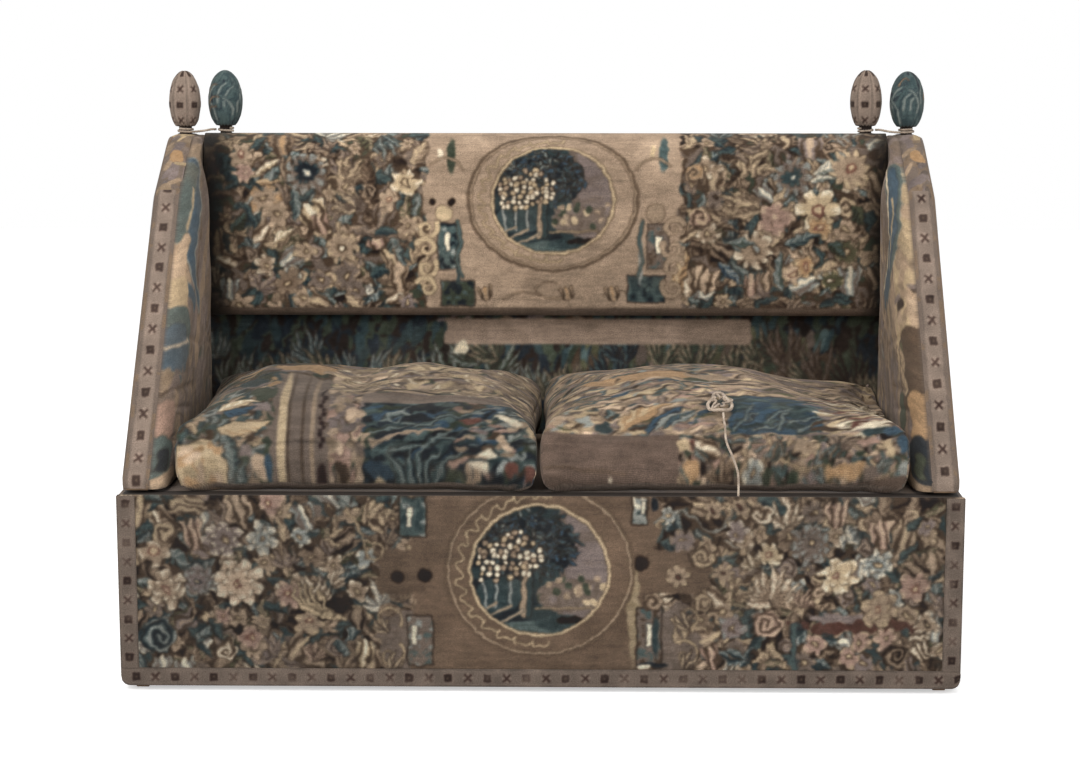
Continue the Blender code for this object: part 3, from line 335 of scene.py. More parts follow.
def ramp_of(nodes, links, value, stops):
    """A colour ramp whose stops are (place, screen colour)."""
    ramp = add_node(nodes, "ValToRGB")
    elements = ramp.color_ramp.elements
    while len(elements) < len(stops):
        elements.new(0.5)
    for element, (place, colour) in zip(elements, stops):
        element.position = place
        element.color = (*linear(colour), 1.0)
    links.new(value, ramp.inputs["Fac"])
    return ramp.outputs["Color"]


def bump_of(nodes, links, value, distance, strength, shader, before=None):
    """Raise the surface by a value, over the bump that was there before."""
    bump = add_node(nodes, "Bump", Distance=distance, Strength=strength)
    links.new(value, bump.inputs["Height"])
    if before is not None:
        links.new(before, bump.inputs["Normal"])
    links.new(bump.outputs["Normal"], shader.inputs["Normal"])
    return bump.outputs["Normal"]


def waves_of(nodes, links, coordinates, direction="X", **inputs):
    """Soft bands that follow each other along a direction."""
    waves = add_node(nodes, "TexWave", **inputs)
    waves.bands_direction = direction
    links.new(coordinates, waves.inputs["Vector"])
    return waves.outputs["Fac"]


def ranged(nodes, links, value, low, high, first=0.0, last=1.0):
    """A value moved to the range from low to high, out of the one from first to last."""
    node = add_node(nodes, "MapRange", From_Min=first, From_Max=last, To_Min=low, To_Max=high)
    links.new(value, node.inputs["Value"])
    return node.outputs["Result"]


def object_place(nodes):
    return add_node(nodes, "TexCoord").outputs["Object"]


def cotton_material():
    material, nodes, links, shader = shader_of("cotton_cord", 0.88, 0.2)
    place = object_place(nodes)
    tone = noise_of(nodes, links, place, 60.0, 5.0)
    stops = ((0.30, (0.48, 0.42, 0.36)), (0.55, (0.67, 0.60, 0.53)), (0.80, (0.80, 0.74, 0.66)))
    links.new(ramp_of(nodes, links, tone, stops), shader.inputs["Base Color"])
    bump_of(nodes, links, noise_of(nodes, links, place, 900.0, 2.0), 0.0006, 0.5, shader)
    return material


COTTON = cotton_material()
print("material", COTTON.name)

# %% [markdown]
# The string has to start on the cushion, not in it. The working cushion is a mesh, so a ray
# dropped on it finds the height and the slope under each of the first points, and the
# string is lifted along that slope by its own half thickness and a little slack.

# %% String and rosette
STRING_DIAMETER = 0.005
STRING_LIFT = 0.0040
STRING_ROUTE = ((0.3636, 0.0503), (0.3640, 0.0460), (0.3645, 0.0400))
STRING_FALL = (
    (0.3651, 0.0300, 0.5470),
    (0.3658, 0.0195, 0.5400),
    (0.3662, 0.0110, 0.5300),
    (0.3668, 0.0070, 0.5190),
    (0.3695, 0.0048, 0.5080),
    (0.3735, 0.0036, 0.4980),
    (0.3778, 0.0030, 0.4890),
    (0.3825, 0.0028, 0.4772),
    (0.3872, 0.0028, 0.4648),
    (0.3905, 0.0028, 0.4535),
    (0.3922, 0.0028, 0.4420),
    (0.3928, 0.0028, 0.4300),
    (0.3929, 0.0028, 0.4165),
    (0.3928, 0.0028, 0.4035),
)
KNOT_DIAMETER = 0.0075
KNOT_LIFT = 0.00465
RUFFLE_DIAMETER = 0.0052
RUFFLE_CENTRE = (0.358, 0.083)
RUFFLE_REACH = (0.024, 0.031)
RUFFLE_LIFT = 0.0030
RUFFLE_STEPS = 56
KNOT_CORNERS = (
    (0.337, 0.058, 0.000),
    (0.334, 0.069, 0.001),
    (0.345, 0.091, 0.003),
    (0.352, 0.112, 0.005),
    (0.361, 0.113, 0.005),
    (0.371, 0.092, 0.003),
    (0.382, 0.068, 0.001),
    (0.378, 0.057, 0.000),
    (0.358, 0.055, 0.000),
)


def merged_copy(node):
    """A bmesh of a working node with its loose triangles joined."""
    bm = bmesh.new()
    bm.from_mesh(node.data)
    bm.transform(node.matrix_world)
    bmesh.ops.remove_doubles(bm, verts=bm.verts, dist=0.00001)
    return bm


cushion_form = merged_copy(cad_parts["right_cushion"])
CUSHION_TREE = BVHTree.FromBMesh(cushion_form)
cushion_form.free()


def resting(x, depth, lift):
    """The point at a distance above the right cushion, over an x and a depth."""
    spot, normal, _face, _far = CUSHION_TREE.ray_cast(at(x, depth, 1.0), Vector((0, 0, -1)))
    return spot + normal * lift


def ruffle_point(angle):
    """A place on the cord that is gathered in uneven small loops inside the knot."""
    reach = 0.62 + 0.26 * math.cos(6 * angle + 0.6) + 0.16 * math.cos(3 * angle)
    x = RUFFLE_CENTRE[0] + RUFFLE_REACH[0] * reach * math.cos(angle)
    depth = RUFFLE_CENTRE[1] + RUFFLE_REACH[1] * reach * math.sin(angle)
    return resting(x, depth, KNOT_LIFT + RUFFLE_LIFT + 0.0026 * math.cos(7 * angle + 1.2))


string_knots = [resting(x, depth, STRING_LIFT) for x, depth in STRING_ROUTE]
string_knots += [at(*point) for point in STRING_FALL]
string_path = smooth_path(string_knots, 0.0015)
string = twisted_cord("hanging_string", string_path, STRING_DIAMETER, 0.016)
string.data.materials.append(COTTON)
knot_points = [resting(x, depth, KNOT_LIFT + lift) for x, depth, lift in KNOT_CORNERS]
knot_path = smooth_path(knot_points, 0.002, True)
rosette = twisted_cord("string_rosette", knot_path, KNOT_DIAMETER, 0.020, True)
rosette.data.materials.append(COTTON)
ruffle_turns = [2 * math.pi * step / RUFFLE_STEPS for step in range(RUFFLE_STEPS)]
ruffle_path = smooth_path([ruffle_point(turn) for turn in ruffle_turns], 0.0016, True)
ruffle = twisted_cord("rosette_ruffle", ruffle_path, RUFFLE_DIAMETER, 0.014, True)
ruffle.data.materials.append(COTTON)
for piece in (rosette, ruffle):
    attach(piece, "right_cushion")
    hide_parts("cushion_rosette")
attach(string, "right_cushion")
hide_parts("cushion_string")

# %% [markdown]
# Almost everything that shows is tapestry: wool pictures of flowers, leaves, scrolls and
# small trees, faded over a long life. It could be drawn in shader nodes, but a garland of
# seventy different flowers is easier to lay out the way the weaver did, from a cartoon.
#
# A cartoon here is a regular grid of coloured points in metres. Each motif is laid over
# the ones below it, inside its own small window, with a soft edge one point wide. Later the
# grid is read at each vertex of the cloth and kept there as a colour attribute.

# %% Wool and the cartoon
WOOL = {
    "ground": (0.46, 0.385, 0.315),
    "umber": (0.30, 0.240, 0.190),
    "dark": (0.155, 0.120, 0.105),
    "tan": (0.57, 0.485, 0.395),
    "straw": (0.68, 0.59, 0.455),
    "cream": (0.79, 0.73, 0.62),
    "peach": (0.70, 0.595, 0.485),
    "rose": (0.58, 0.465, 0.405),
    "brick": (0.42, 0.275, 0.235),
    "ochre": (0.62, 0.49, 0.35),
    "mist": (0.50, 0.515, 0.49),
    "teal": (0.285, 0.345, 0.34),
    "sea": (0.200, 0.260, 0.270),
    "blue": (0.22, 0.31, 0.375),
    "navy": (0.125, 0.155, 0.185),
    "olive": (0.335, 0.33, 0.245),
    "moss": (0.245, 0.275, 0.225),
    "mauve": (0.47, 0.415, 0.395),
    "taupe": (0.42, 0.365, 0.325),
}
WOOL = {name: np.array(tone) for name, tone in WOOL.items()}


def ease(share):
    """A rise from 0 to 1 that starts and ends softly."""
    share = np.clip(share, 0.0, 1.0)
    return share * share * (3 - 2 * share)


def cloud(rows, columns, cell, seed, octaves=3, stretch=1.0):
    """Smooth random values between 0 and 1 over a grid, in blots about cell points wide."""
    random = np.random.default_rng(seed)
    total = np.zeros((rows, columns))
    weight = 0.0
    for octave in range(octaves):
        size = max(1.0, cell / 2 ** octave)
        high = int(rows / size) + 3
        wide = int(columns / size / stretch) + 3
        coarse = random.random((high, wide))
        up = np.arange(rows) / size
        across = np.arange(columns) / size / stretch
        low_up, low_across = up.astype(int), across.astype(int)
        part_up = ease(up - low_up)[:, None]
        part_across = ease(across - low_across)[None, :]
        first = coarse[np.ix_(low_up, low_across)]
        second = coarse[np.ix_(low_up, low_across + 1)]
        third = coarse[np.ix_(low_up + 1, low_across)]
        fourth = coarse[np.ix_(low_up + 1, low_across + 1)]
        lower = first + (second - first) * part_across
        upper = third + (fourth - third) * part_across
        total += (lower + (upper - lower) * part_up) * 0.5 ** octave
        weight += 0.5 ** octave
    return total / weight


class Cartoon:
    """A grid of coloured points, in metres, that motifs are laid on."""

    def __init__(self, low_u, high_u, low_v, high_v, step, seed):
        self.low_u = low_u
        self.low_v = low_v
        self.step = step
        self.columns = round((high_u - low_u) / step) + 1
        self.rows = round((high_v - low_v) / step) + 1
        self.size = (self.rows, self.columns)
        self.colour = np.zeros((*self.size, 3)) + WOOL["ground"]
        self.relief = np.zeros(self.size)
        self.limit = None
        self.seed = seed

    def places(self):
        """The u of each column, as a row of numbers, and the v of each row, as a column."""
        u = self.low_u + np.arange(self.columns) * self.step
        v = self.low_v + np.arange(self.rows) * self.step
        return u[None, :], v[:, None]

    def window(self, u, v, reach):
        """The part of the grid near a point, and each grid point's place from it."""
        left = max(0, int((u - reach - self.low_u) / self.step))
        right = max(left, min(self.columns, int((u + reach - self.low_u) / self.step) + 2))
        low = max(0, int((v - reach - self.low_v) / self.step))
        high = max(low, min(self.rows, int((v + reach - self.low_v) / self.step) + 2))
        across = self.low_u + np.arange(left, right) * self.step - u
        up = self.low_v + np.arange(low, high) * self.step - v
        return (slice(low, high), slice(left, right)), *np.meshgrid(across, up)

    def lay(self, spot, inside, colour, lift=0.0):
        """Lay colour where inside, a distance in metres, is positive."""
        cover = np.clip(inside / self.step + 0.5, 0.0, 1.0)
        if self.limit is not None:
            cover = cover * self.limit[spot]
        self.colour[spot] += (colour - self.colour[spot]) * cover[..., None]
        self.relief[spot] += (lift - self.relief[spot]) * cover

    def mottle(self, tones, cell, seed):
        """Fill the ground with blots of the given tones."""
        blots = cloud(*self.size, cell / self.step, seed, 4)
        order = np.clip((blots - 0.25) / 0.5, 0.0, 0.999)
        self.colour[:] = shade(order, tones)

    def read(self, u, v):
        """Colour and relief at any points, between the grid's own ones."""
        column = np.clip((u - self.low_u) / self.step, 0, self.columns - 1.001)
        row = np.clip((v - self.low_v) / self.step, 0, self.rows - 1.001)
        left, low = column.astype(int), row.astype(int)
        part, rise = column - left, row - low
        corners = (
            (0, 0, (1 - part) * (1 - rise)),
            (0, 1, part * (1 - rise)),
            (1, 0, (1 - part) * rise),
            (1, 1, part * rise),
        )
        colour = sum(self.colour[low + a, left + b] * w[:, None] for a, b, w in corners)
        relief = sum(self.relief[low + a, left + b] * w for a, b, w in corners)
        return colour, relief


def soften(cartoon, times=1):
    """Blend neighbouring points, as wear does."""
    for _ in range(times):
        for grid in (cartoon.colour, cartoon.relief):
            grid[1:-1] = (grid[:-2] + 2 * grid[1:-1] + grid[2:]) / 4
            grid[:, 1:-1] = (grid[:, :-2] + 2 * grid[:, 1:-1] + grid[:, 2:]) / 4


def wander(cartoon, reach, cell, seed):
    """Shift all the points a little, so that no line is as true as a drawn one."""
    size = cartoon.size
    u, v = cartoon.places()
    u = u + (cloud(*size, cell / cartoon.step, seed, 3) - 0.5) * 2 * reach
    v = v + (cloud(*size, cell / cartoon.step, seed + 1, 3) - 0.5) * 2 * reach
    colour, relief = cartoon.read(u.ravel(), v.ravel())
    cartoon.colour = colour.reshape(*size, 3)
    cartoon.relief = relief.reshape(size)


def shade(share, tones):
    """Step through the tones, as a weaver does with a few wools, with short blends."""
    tones = np.array(tones)
    place = np.clip(share, 0.0, 0.9999) * (len(tones) - 1)
    base = place.astype(int)
    part = np.clip((place - base - 0.3) / 0.4, 0.0, 1.0)[..., None]
    return tones[base] * (1 - part) + tones[base + 1] * part


def wools(names):
    return [WOOL[name] for name in names.split()]


def turned(across, up, turn):
    """Distances along a direction and beside it."""
    cosine, sine = math.cos(turn), math.sin(turn)
    return across * cosine + up * sine, up * cosine - across * sine


print("wools", len(WOOL))

# %% [markdown]
# Flowers come first. Seen as a weaver drew them, a flower is a disc whose edge rises and
# falls once for each petal, with darker wool in the clefts, lighter wool at the tips, and a
# heart of its own. A layered flower is two of these. A spiral rose is a disc with one dark
# line that winds out from the middle.

# %% Flowers
OUTLINE = WOOL["dark"] * 0.6 + WOOL["umber"] * 0.4
RIM = 0.0016


def flower(cartoon, u, v, radius, petals, tones, heart="umber straw", scallop=0.4, turn=0.0):
    spot, across, up = cartoon.window(u, v, radius * 1.1)
    rho = np.hypot(across, up) / radius
    angle = np.arctan2(up, across) + turn
    lobe = np.abs(np.cos(angle * petals / 2))
    edge = 1 - scallop * (1 - lobe) ** 1.3
    cartoon.lay(spot, (edge - rho) * radius, OUTLINE, 0.0002)
    tone = lobe * 0.45 + np.clip(rho / edge, 0, 1) * 0.6 - 0.12
    tone += 0.10 * np.sin(angle * petals * 3) * rho
    inner = (edge - rho) * radius - RIM
    cartoon.lay(spot, inner, shade(tone, wools(tones)), 0.0005)
    rim, core = wools(heart)
    cartoon.lay(spot, (0.27 - rho) * radius, rim, 0.0003)
    cartoon.lay(spot, (0.16 - rho) * radius, core, 0.0006)


def layered(cartoon, u, v, radius, petals, tones, heart="umber straw"):
    flower(cartoon, u, v, radius, petals, tones, heart, 0.30, 0.3)
    flower(cartoon, u, v, radius * 0.66, petals, tones, heart, 0.34, 0.3 + math.pi / petals)


def spiral_rose(cartoon, u, v, radius, tones, winds=2.3, turn=0.0):
    spot, across, up = cartoon.window(u, v, radius * 1.1)
    rho = np.hypot(across, up) / radius
    angle = np.arctan2(up, across) + turn
    edge = 1 - 0.08 * (1 - np.cos(angle * 5))
    cartoon.lay(spot, (edge - rho) * radius, OUTLINE, 0.0002)
    wave = 0.5 + 0.5 * np.cos(angle - 2 * math.pi * winds * rho ** 0.8)
    tone = wave * 0.85 + 0.15 * rho
    cartoon.lay(spot, (edge - rho) * radius - RIM, shade(tone, wools(tones)), 0.0005)


def tulip(cartoon, u, v, width, height, tones, turn=0.0, stripes=3):
    """A cup of three petals seen from the side, opening along the turned up direction."""
    spot, across, up = cartoon.window(u, v, math.hypot(width, height) * 0.6)
    along, beside = turned(across, up, turn)
    x, y = along / (width / 2), beside / (height / 2)
    side = np.sqrt(np.clip(1 - np.clip((0.15 - y) / 1.12, 0, 1) ** 2.4, 0, 1))
    flare = side * (0.86 + 0.14 * np.clip(y, 0, 1))
    top = 0.58 + 0.42 * np.abs(np.cos(x * math.pi * 1.45)) - y
    small = min(width, height) / 2
    inside = np.minimum((flare - np.abs(x)) * small, top * small)
    cartoon.lay(spot, inside, OUTLINE, 0.0002)
    tone = 0.5 + 0.42 * np.cos(x * math.pi * stripes) + 0.16 * y
    cartoon.lay(spot, inside - RIM, shade(tone, wools(tones)), 0.0005)


print("flower motifs ready")

# %% [markdown]
# Leaves fill the space between the flowers. A leaf is a pointed oval bent to one side, with
# one half darker than the other, a pale rib and a toothed edge. A frond is a fan of narrow
# leaves, and an acanthus is a curled one made from a few of them. A scroll is a tapering
# line that rolls up at its end.

# %% Leaves and scrolls
def leaf(cartoon, u, v, length, width, turn, tones, bend=0.25, teeth=7):
    """A leaf that starts at (u, v) and grows along the turn angle."""
    middle_u = u + math.cos(turn) * length / 2
    middle_v = v + math.sin(turn) * length / 2
    spot, across, up = cartoon.window(middle_u, middle_v, length * 0.62 + width)
    along, beside = turned(across, up, turn)
    along = along / length + 0.5
    beside = beside - bend * length * (along - along * along)
    share = np.clip(along, 0.0, 1.0)
    profile = np.sin(math.pi * share ** 0.75) ** 0.8 * width / 2
    toothed = profile * (1 - 0.16 * np.abs(np.sin(share * math.pi * teeth)))
    reach = np.minimum(toothed - np.abs(beside), np.minimum(along, 1 - along) * length)
    cartoon.lay(spot, reach, OUTLINE, 0.0001)
    dark, middle, light = wools(tones)
    veins = 0.5 + 0.5 * np.sin((share * 9 - np.abs(beside) / width * 5) * math.pi)
    half = np.where(beside > 0, 0.62, 0.18) + 0.30 * veins
    cartoon.lay(spot, reach - 0.0014, shade(half, (dark, middle, light)), 0.0004)
    rib = np.minimum(0.0009 - np.abs(beside), reach - 0.002)
    cartoon.lay(spot, rib, light, 0.0005)


def frond(cartoon, u, v, size, turn, spread, count, tones, narrow=0.26):
    """A fan of narrow leaves from one point."""
    for number in range(count):
        share = number / (count - 1) - 0.5
        angle = turn + share * spread
        length = size * (1 - 0.30 * abs(share) * 2)
        bend = 0.28 * (1 if share > 0 else -1)
        leaf(cartoon, u, v, length, size * narrow, angle, tones, bend, 3)


def stroke(cartoon, path, first_width, last_width, tones):
    """A line of changing width along points, dark at its edges and light in the middle."""
    points = np.asarray(path, dtype=float)
    low, high = points.min(axis=0), points.max(axis=0)
    centre = (low + high) / 2
    reach = float(np.max(high - low)) / 2 + max(first_width, last_width)
    spot, across, up = cartoon.window(*centre, reach)
    across = across + centre[0]
    up = up + centre[1]
    inside = np.full(across.shape, -1.0)
    count = len(points) - 1
    for index in range(count):
        start, end = points[index], points[index + 1]
        run = end - start
        square = max(1e-12, float(run @ run))
        share = ((across - start[0]) * run[0] + (up - start[1]) * run[1]) / square
        share = np.clip(share, 0.0, 1.0)
        distance = np.hypot(across - start[0] - share * run[0], up - start[1] - share * run[1])
        width = first_width + (last_width - first_width) * (index + share) / count
        inside = np.maximum(inside, width / 2 - distance)
    dark, light = wools(tones)
    cartoon.lay(spot, inside, dark, 0.0002)
    cartoon.lay(spot, inside - 0.0012, light, 0.0005)


def curl_points(u, v, radius, turn, winds, side=1, count=34):
    """Points of a line that rolls inwards to (u, v) from a distance of radius."""
    share = np.linspace(0, 1, count)
    angle = turn + side * share * winds * 2 * math.pi
    reach = radius * (1 - 0.88 * share)
    return np.stack([u + reach * np.cos(angle), v + reach * np.sin(angle)], axis=1)


def scroll(cartoon, u, v, radius, turn, tones, winds=1.4, side=1, width=0.008):
    stroke(cartoon, curl_points(u, v, radius, turn, winds, side), width, width * 0.45, tones)


def bow(start, end, sag, count=16):
    """Points of an arc between two places, sagging to one side."""
    start, end = np.array(start), np.array(end)
    share = np.linspace(0, 1, count)[:, None]
    run = end - start
    normal = np.array([-run[1], run[0]])
    return start + run * share + normal * sag * 4 * share * (1 - share)


ACANTHUS_LEAVES = ((0.0, 0.95), (0.28, 0.45), (0.55, -0.1), (0.8, -0.7))


def acanthus(cartoon, u, v, size, turn, tones, side=1):
    """Four leaves that leave a short stem one after the other and curl to one side."""
    for number, (share, swing) in enumerate(ACANTHUS_LEAVES):
        place = (u + math.cos(turn) * size * share * 0.7, v + math.sin(turn) * size * share * 0.7)
        angle = turn + side * swing
        length = size * (0.62 - 0.06 * number)
        leaf(cartoon, *place, length, size * 0.24, angle, tones, 0.35 * side, 4)


print("leaf motifs ready")

# %% [markdown]
# Framed places break up the garlands: a round picture of a tree inside a double ring, with
# a thin ribbon that wanders between the rings, and small upright panels with a pale bar.
# Inside the ring the sky, the ground and the leaves are laid with a limit, a mask that
# keeps them in the circle.

# %% Rings, ribbons and panels
def oval_distance(across, up, radius_u, radius_v):
    """Distance from the middle of an oval, counted in radii."""
    return np.hypot(across / radius_u, up / radius_v)


def ring(cartoon, u, v, radius_u, radius_v, width, tones):
    spot, across, up = cartoon.window(u, v, max(radius_u, radius_v) + width)
    rho = oval_distance(across, up, radius_u, radius_v)
    off = np.abs(rho - 1) * (radius_u + radius_v) / 2
    dark, light = wools(tones)
    cartoon.lay(spot, width / 2 + RIM - off, dark, 0.0002)
    cartoon.lay(spot, width / 2 - off, light, 0.0007)


def wavy_ribbon(cartoon, u, v, radius_u, radius_v, swing, waves, first, last, tones, width=0.0045):
    """A thin ribbon that wanders to and fro round a ring, between two angles."""
    angle = np.linspace(first, last, 420)
    sway = np.sin(angle * waves) + 0.45 * np.sin(angle * waves * 2.1 + 1.3)
    lean = 0.04 * np.cos(angle * waves * 1.02)
    reach = 1 + sway * swing
    across = u + radius_u * reach * np.cos(angle + lean)
    up = v + radius_v * reach * np.sin(angle + lean)
    stroke(cartoon, np.stack([across, up], axis=1), width, width, tones)


def panel(cartoon, left, right, low, high, tones, bar=None, frame_tone="cream"):
    """An upright framed panel with an optional pale bar (u, v, width, height)."""
    middle = ((left + right) / 2, (low + high) / 2)
    half_u, half_v = (right - left) / 2, (high - low) / 2
    spot, across, up = cartoon.window(*middle, max(half_u, half_v) + 0.01)
    inside = np.minimum(half_u - np.abs(across), half_v - np.abs(up))
    cartoon.lay(spot, inside + 0.003, WOOL["dark"], 0.0001)
    cartoon.lay(spot, inside + RIM, WOOL[frame_tone] * 0.86, 0.0004)
    blots = cloud(*across.shape, 0.012 / cartoon.step, cartoon.seed + round(left * 1000) % 97, 2)
    cartoon.lay(spot, inside, shade(np.clip(blots * 1.6 - 0.3, 0, 1), wools(tones)), 0.0003)
    if bar:
        bar_u, bar_v, width, height = bar
        off_u = np.abs(across + middle[0] - bar_u)
        off_v = np.abs(up + middle[1] - bar_v)
        inside = np.minimum(width / 2 - off_u, height / 2 - off_v)
        cartoon.lay(spot, inside + 0.0015, WOOL["navy"], 0.0003)
        cartoon.lay(spot, inside, WOOL["cream"], 0.0007)


def spot_of(cartoon, u, v, radius, tone, rim="umber"):
    spot, across, up = cartoon.window(u, v, radius * 1.5)
    rho = np.hypot(across, up)
    cartoon.lay(spot, radius + 0.0014 - rho, WOOL[rim], 0.0002)
    cartoon.lay(spot, radius - rho, WOOL[tone], 0.0006)


def patch(cartoon, u, v, width, height, turn, tone, ragged=0.35, lift=0.0004, seed=0):
    """A loose brush-like area with an uneven edge."""
    spot, across, up = cartoon.window(u, v, math.hypot(width, height) * 0.62)
    along, beside = turned(across, up, turn)
    x, y = along / (width / 2), beside / (height / 2)
    rough = cloud(*across.shape, 0.016 / cartoon.step, seed * 7 + cartoon.seed, 3) - 0.5
    rho = (np.abs(x) ** 2.6 + np.abs(y) ** 2.6) ** (1 / 2.6) + rough * ragged * 2
    colour = WOOL[tone] if isinstance(tone, str) else tone
    streak = cloud(*across.shape, 0.007 / cartoon.step, seed + 31, 2)[..., None] - 0.5
    cartoon.lay(spot, (1 - rho) * min(width, height) / 2, colour + streak * 0.10, lift)


TREE_GROUNDS = (
    (0.50, -0.38, 1.05, 0.50, "taupe"), (-0.10, -0.94, 1.5, 0.34, "teal"),
    (0.28, -0.80, 0.70, 0.22, "sea"), (0.46, -0.76, 0.44, 0.10, "dark"),
    (-0.20, 0.40, 1.36, 0.84, "navy"), (0.16, 0.36, 0.66, 0.74, "navy"),
    (0.10, -0.02, 0.36, 0.30, "sea"), (-0.55, -0.36, 0.74, 0.50, "sea"),
)
TREE_ROOTS = (
    ((-0.25, -0.62), (-0.40, -0.72), (-0.58, -0.80)),
    ((-0.42, -0.54), (-0.72, -0.70)),
    ((-0.62, -0.50), (-0.78, -0.60)),
)
CROWN_TONES = ("navy blue teal", "dark navy sea", "navy blue sea", "navy blue blue", "sea teal mist")
PALE_ROWS = (
    (-0.45, -0.25), (-0.48, -0.14), (-0.80, -0.04), (-0.86, 0.02), (-0.86, 0.06), (-0.86, 0.04),
    (-0.80, 0.0), (-0.82, -0.08), (-0.82, -0.40),
)


def tree_scene(cartoon, u, v, radius_u, radius_v, seed):
    """A generic round picture: a leafy tree on a bank, with pale sky behind it."""
    spot, across, up = cartoon.window(u, v, max(radius_u, radius_v) * 1.02)
    inside = (1 - oval_distance(across, up, radius_u, radius_v)) * min(radius_u, radius_v)
    haze = cloud(*across.shape, 14, seed, 3, 3.0)
    open_sky = np.clip((across / radius_u - 0.10) * 3, 0, 1)
    light = np.clip(haze * 0.4 + open_sky * 0.7 - 0.1, 0, 1)
    sky = shade(light, wools("navy sea sea taupe mauve taupe"))
    cartoon.lay(spot, inside, sky * 0.94, 0.0002)
    cartoon.limit = np.zeros(cartoon.size)
    cartoon.limit[spot] = np.clip(inside / cartoon.step + 0.5, 0.0, 1.0)
    random = np.random.default_rng(seed)

    def place(x, y):
        return u + radius_u * x, v + radius_v * y

    def line(points, first, last, tones):
        stroke(cartoon, [place(x, y) for x, y in points], first, last, tones)

    for number, (x, y, wide, tall, tone) in enumerate(TREE_GROUNDS):
        wide, tall = radius_u * wide, radius_v * tall
        patch(cartoon, *place(x, y), wide, tall, 0.05, tone, 0.12, 0.0002, seed + number)
    for _ in range(34):
        x, y = random.uniform(0.0, 0.95), random.uniform(-0.50, -0.10)
        tone = ("taupe", "tan", "mauve", "moss", "straw")[int(random.integers(5))]
        turn, own_seed = random.uniform(-0.3, 0.3), int(random.integers(99))
        patch(cartoon, *place(x, y), 0.013, 0.014, turn, tone, 0.2, 0.0003, own_seed)
    line(((-0.05, -0.59), (0.74, -0.58)), 0.0050, 0.0040, "umber straw")
    for _ in range(300):
        angle = random.uniform(0, 2 * math.pi)
        far = math.sqrt(random.random())
        x, y = -0.18 + 0.72 * far * math.cos(angle), 0.42 + 0.50 * far * math.sin(angle)
        tones = CROWN_TONES[int(random.integers(5 if x < 0.0 and y > 0.4 else 4))]
        leaf(cartoon, *place(x, y), 0.020, 0.010, random.uniform(0, 6.28), tones, 0.2, 2)
    for x, foot_x in ((-0.82, -0.76), (-0.62, -0.62), (-0.42, -0.42)):
        line(((x, -0.16), (foot_x, -0.56)), 0.0075, 0.0085, "navy mist")
    line(((-0.14, 0.02), (-0.15, -0.66)), 0.012, 0.016, "dark sea")
    line(((-0.20, 0.04), (-0.225, -0.30), (-0.235, -0.66)), 0.009, 0.014, "umber tan")
    for points in TREE_ROOTS:
        line(points, 0.009, 0.006, "sea tan")
    for row, (low, high) in enumerate(PALE_ROWS):
        height = 0.56 - row * 0.086
        for x in np.arange(low, high, 0.096):
            if random.random() < 0.10:
                continue
            middle = place(x + random.uniform(-0.025, 0.025), height + random.uniform(-0.025, 0.025))
            tone = ("straw", "cream", "tan", "cream")[int(random.integers(4))]
            spot_of(cartoon, *middle, random.uniform(0.0044, 0.0060), tone, "dark")
    cartoon.limit = None


print("framed motifs ready")

# %% [markdown]
# Between the large flowers a real tapestry is never empty. The filler is scattered over a
# jittered net of places, so that it is even without lining up: leaves at first, then small
# flowers, or brush-like daubs where the old cloth is too worn to show a motif. A seed fixes
# it, so the same cloth comes out every time.

# %% Filler
LEAF_TONES = (
    "dark sea teal", "navy sea teal", "dark teal mist", "dark olive tan", "dark umber tan",
    "umber ground tan", "umber tan straw", "navy sea mist", "dark umber ground",
)
BLOOM_TONES = (
    "umber tan straw", "umber tan cream", "umber mauve tan", "dark ground tan", "umber tan peach",
    "umber tan straw", "taupe mist cream", "umber taupe tan",
)


def scatter(area, pitch, seed):
    """Jittered places over an area (low_u, high_u, low_v, high_v)."""
    random = np.random.default_rng(seed)
    low_u, high_u, low_v, high_v = area
    places = []
    rows = max(1, round((high_v - low_v) / pitch))
    columns = max(1, round((high_u - low_u) / pitch))
    for row in range(rows + 1):
        for column in range(columns + 1):
            u = low_u + (column + (row % 2) * 0.5) * pitch + random.uniform(-0.35, 0.35) * pitch
            v = low_v + row * pitch + random.uniform(-0.35, 0.35) * pitch
            places.append((u, v, random))
    random.shuffle(places)
    return places


def fill_leaves(cartoon, area, pitch, seed, tones=LEAF_TONES, size=(0.024, 0.044)):
    for u, v, random in scatter(area, pitch, seed):
        length = random.uniform(*size)
        tone = tones[int(random.integers(len(tones)))]
        turn = random.uniform(0, 2 * math.pi)
        leaf(cartoon, u, v, length, length * random.uniform(0.36, 0.55), turn, tone, 0.3, 4)


def fill_blooms(cartoon, area, pitch, seed, share=0.75, tones=BLOOM_TONES):
    for u, v, random in scatter(area, pitch, seed):
        if random.random() > share:
            continue
        tone = tones[int(random.integers(len(tones)))]
        kind = random.random()
        size = random.uniform(0.016, 0.029)
        if kind < 0.42:
            flower(cartoon, u, v, size, int(random.integers(4, 7)), tone, turn=random.uniform(0, 6))
        elif kind < 0.62:
            spiral_rose(cartoon, u, v, size * 0.9, tone, 1.6, random.uniform(0, 6))
        elif kind < 0.84:
            tulip(cartoon, u, v, size * 2.0, size * 2.6, tone, random.uniform(-1.2, 1.2), 2)
        else:
            frond(cartoon, u, v - size, size * 2.8, random.uniform(0.6, 2.6), 1.7, 5, tone)


def daubs(cartoon, area, pitch, seed, tones, size, turn=0.0, spread=0.5, slim=0.35):
    """Scattered brush-like areas that mostly follow one direction."""
    names = tones.split()
    for u, v, random in scatter(area, pitch, seed):
        length = random.uniform(0.6, 1.4) * size
        tone = WOOL[names[int(random.integers(len(names)))]] * random.uniform(0.84, 1.08)
        angle = turn + random.uniform(-spread, spread)
        width = length * slim * random.uniform(0.7, 1.3)
        patch(cartoon, u, v, length, width, angle, tone, 0.32, 0.0003, int(random.integers(999)))


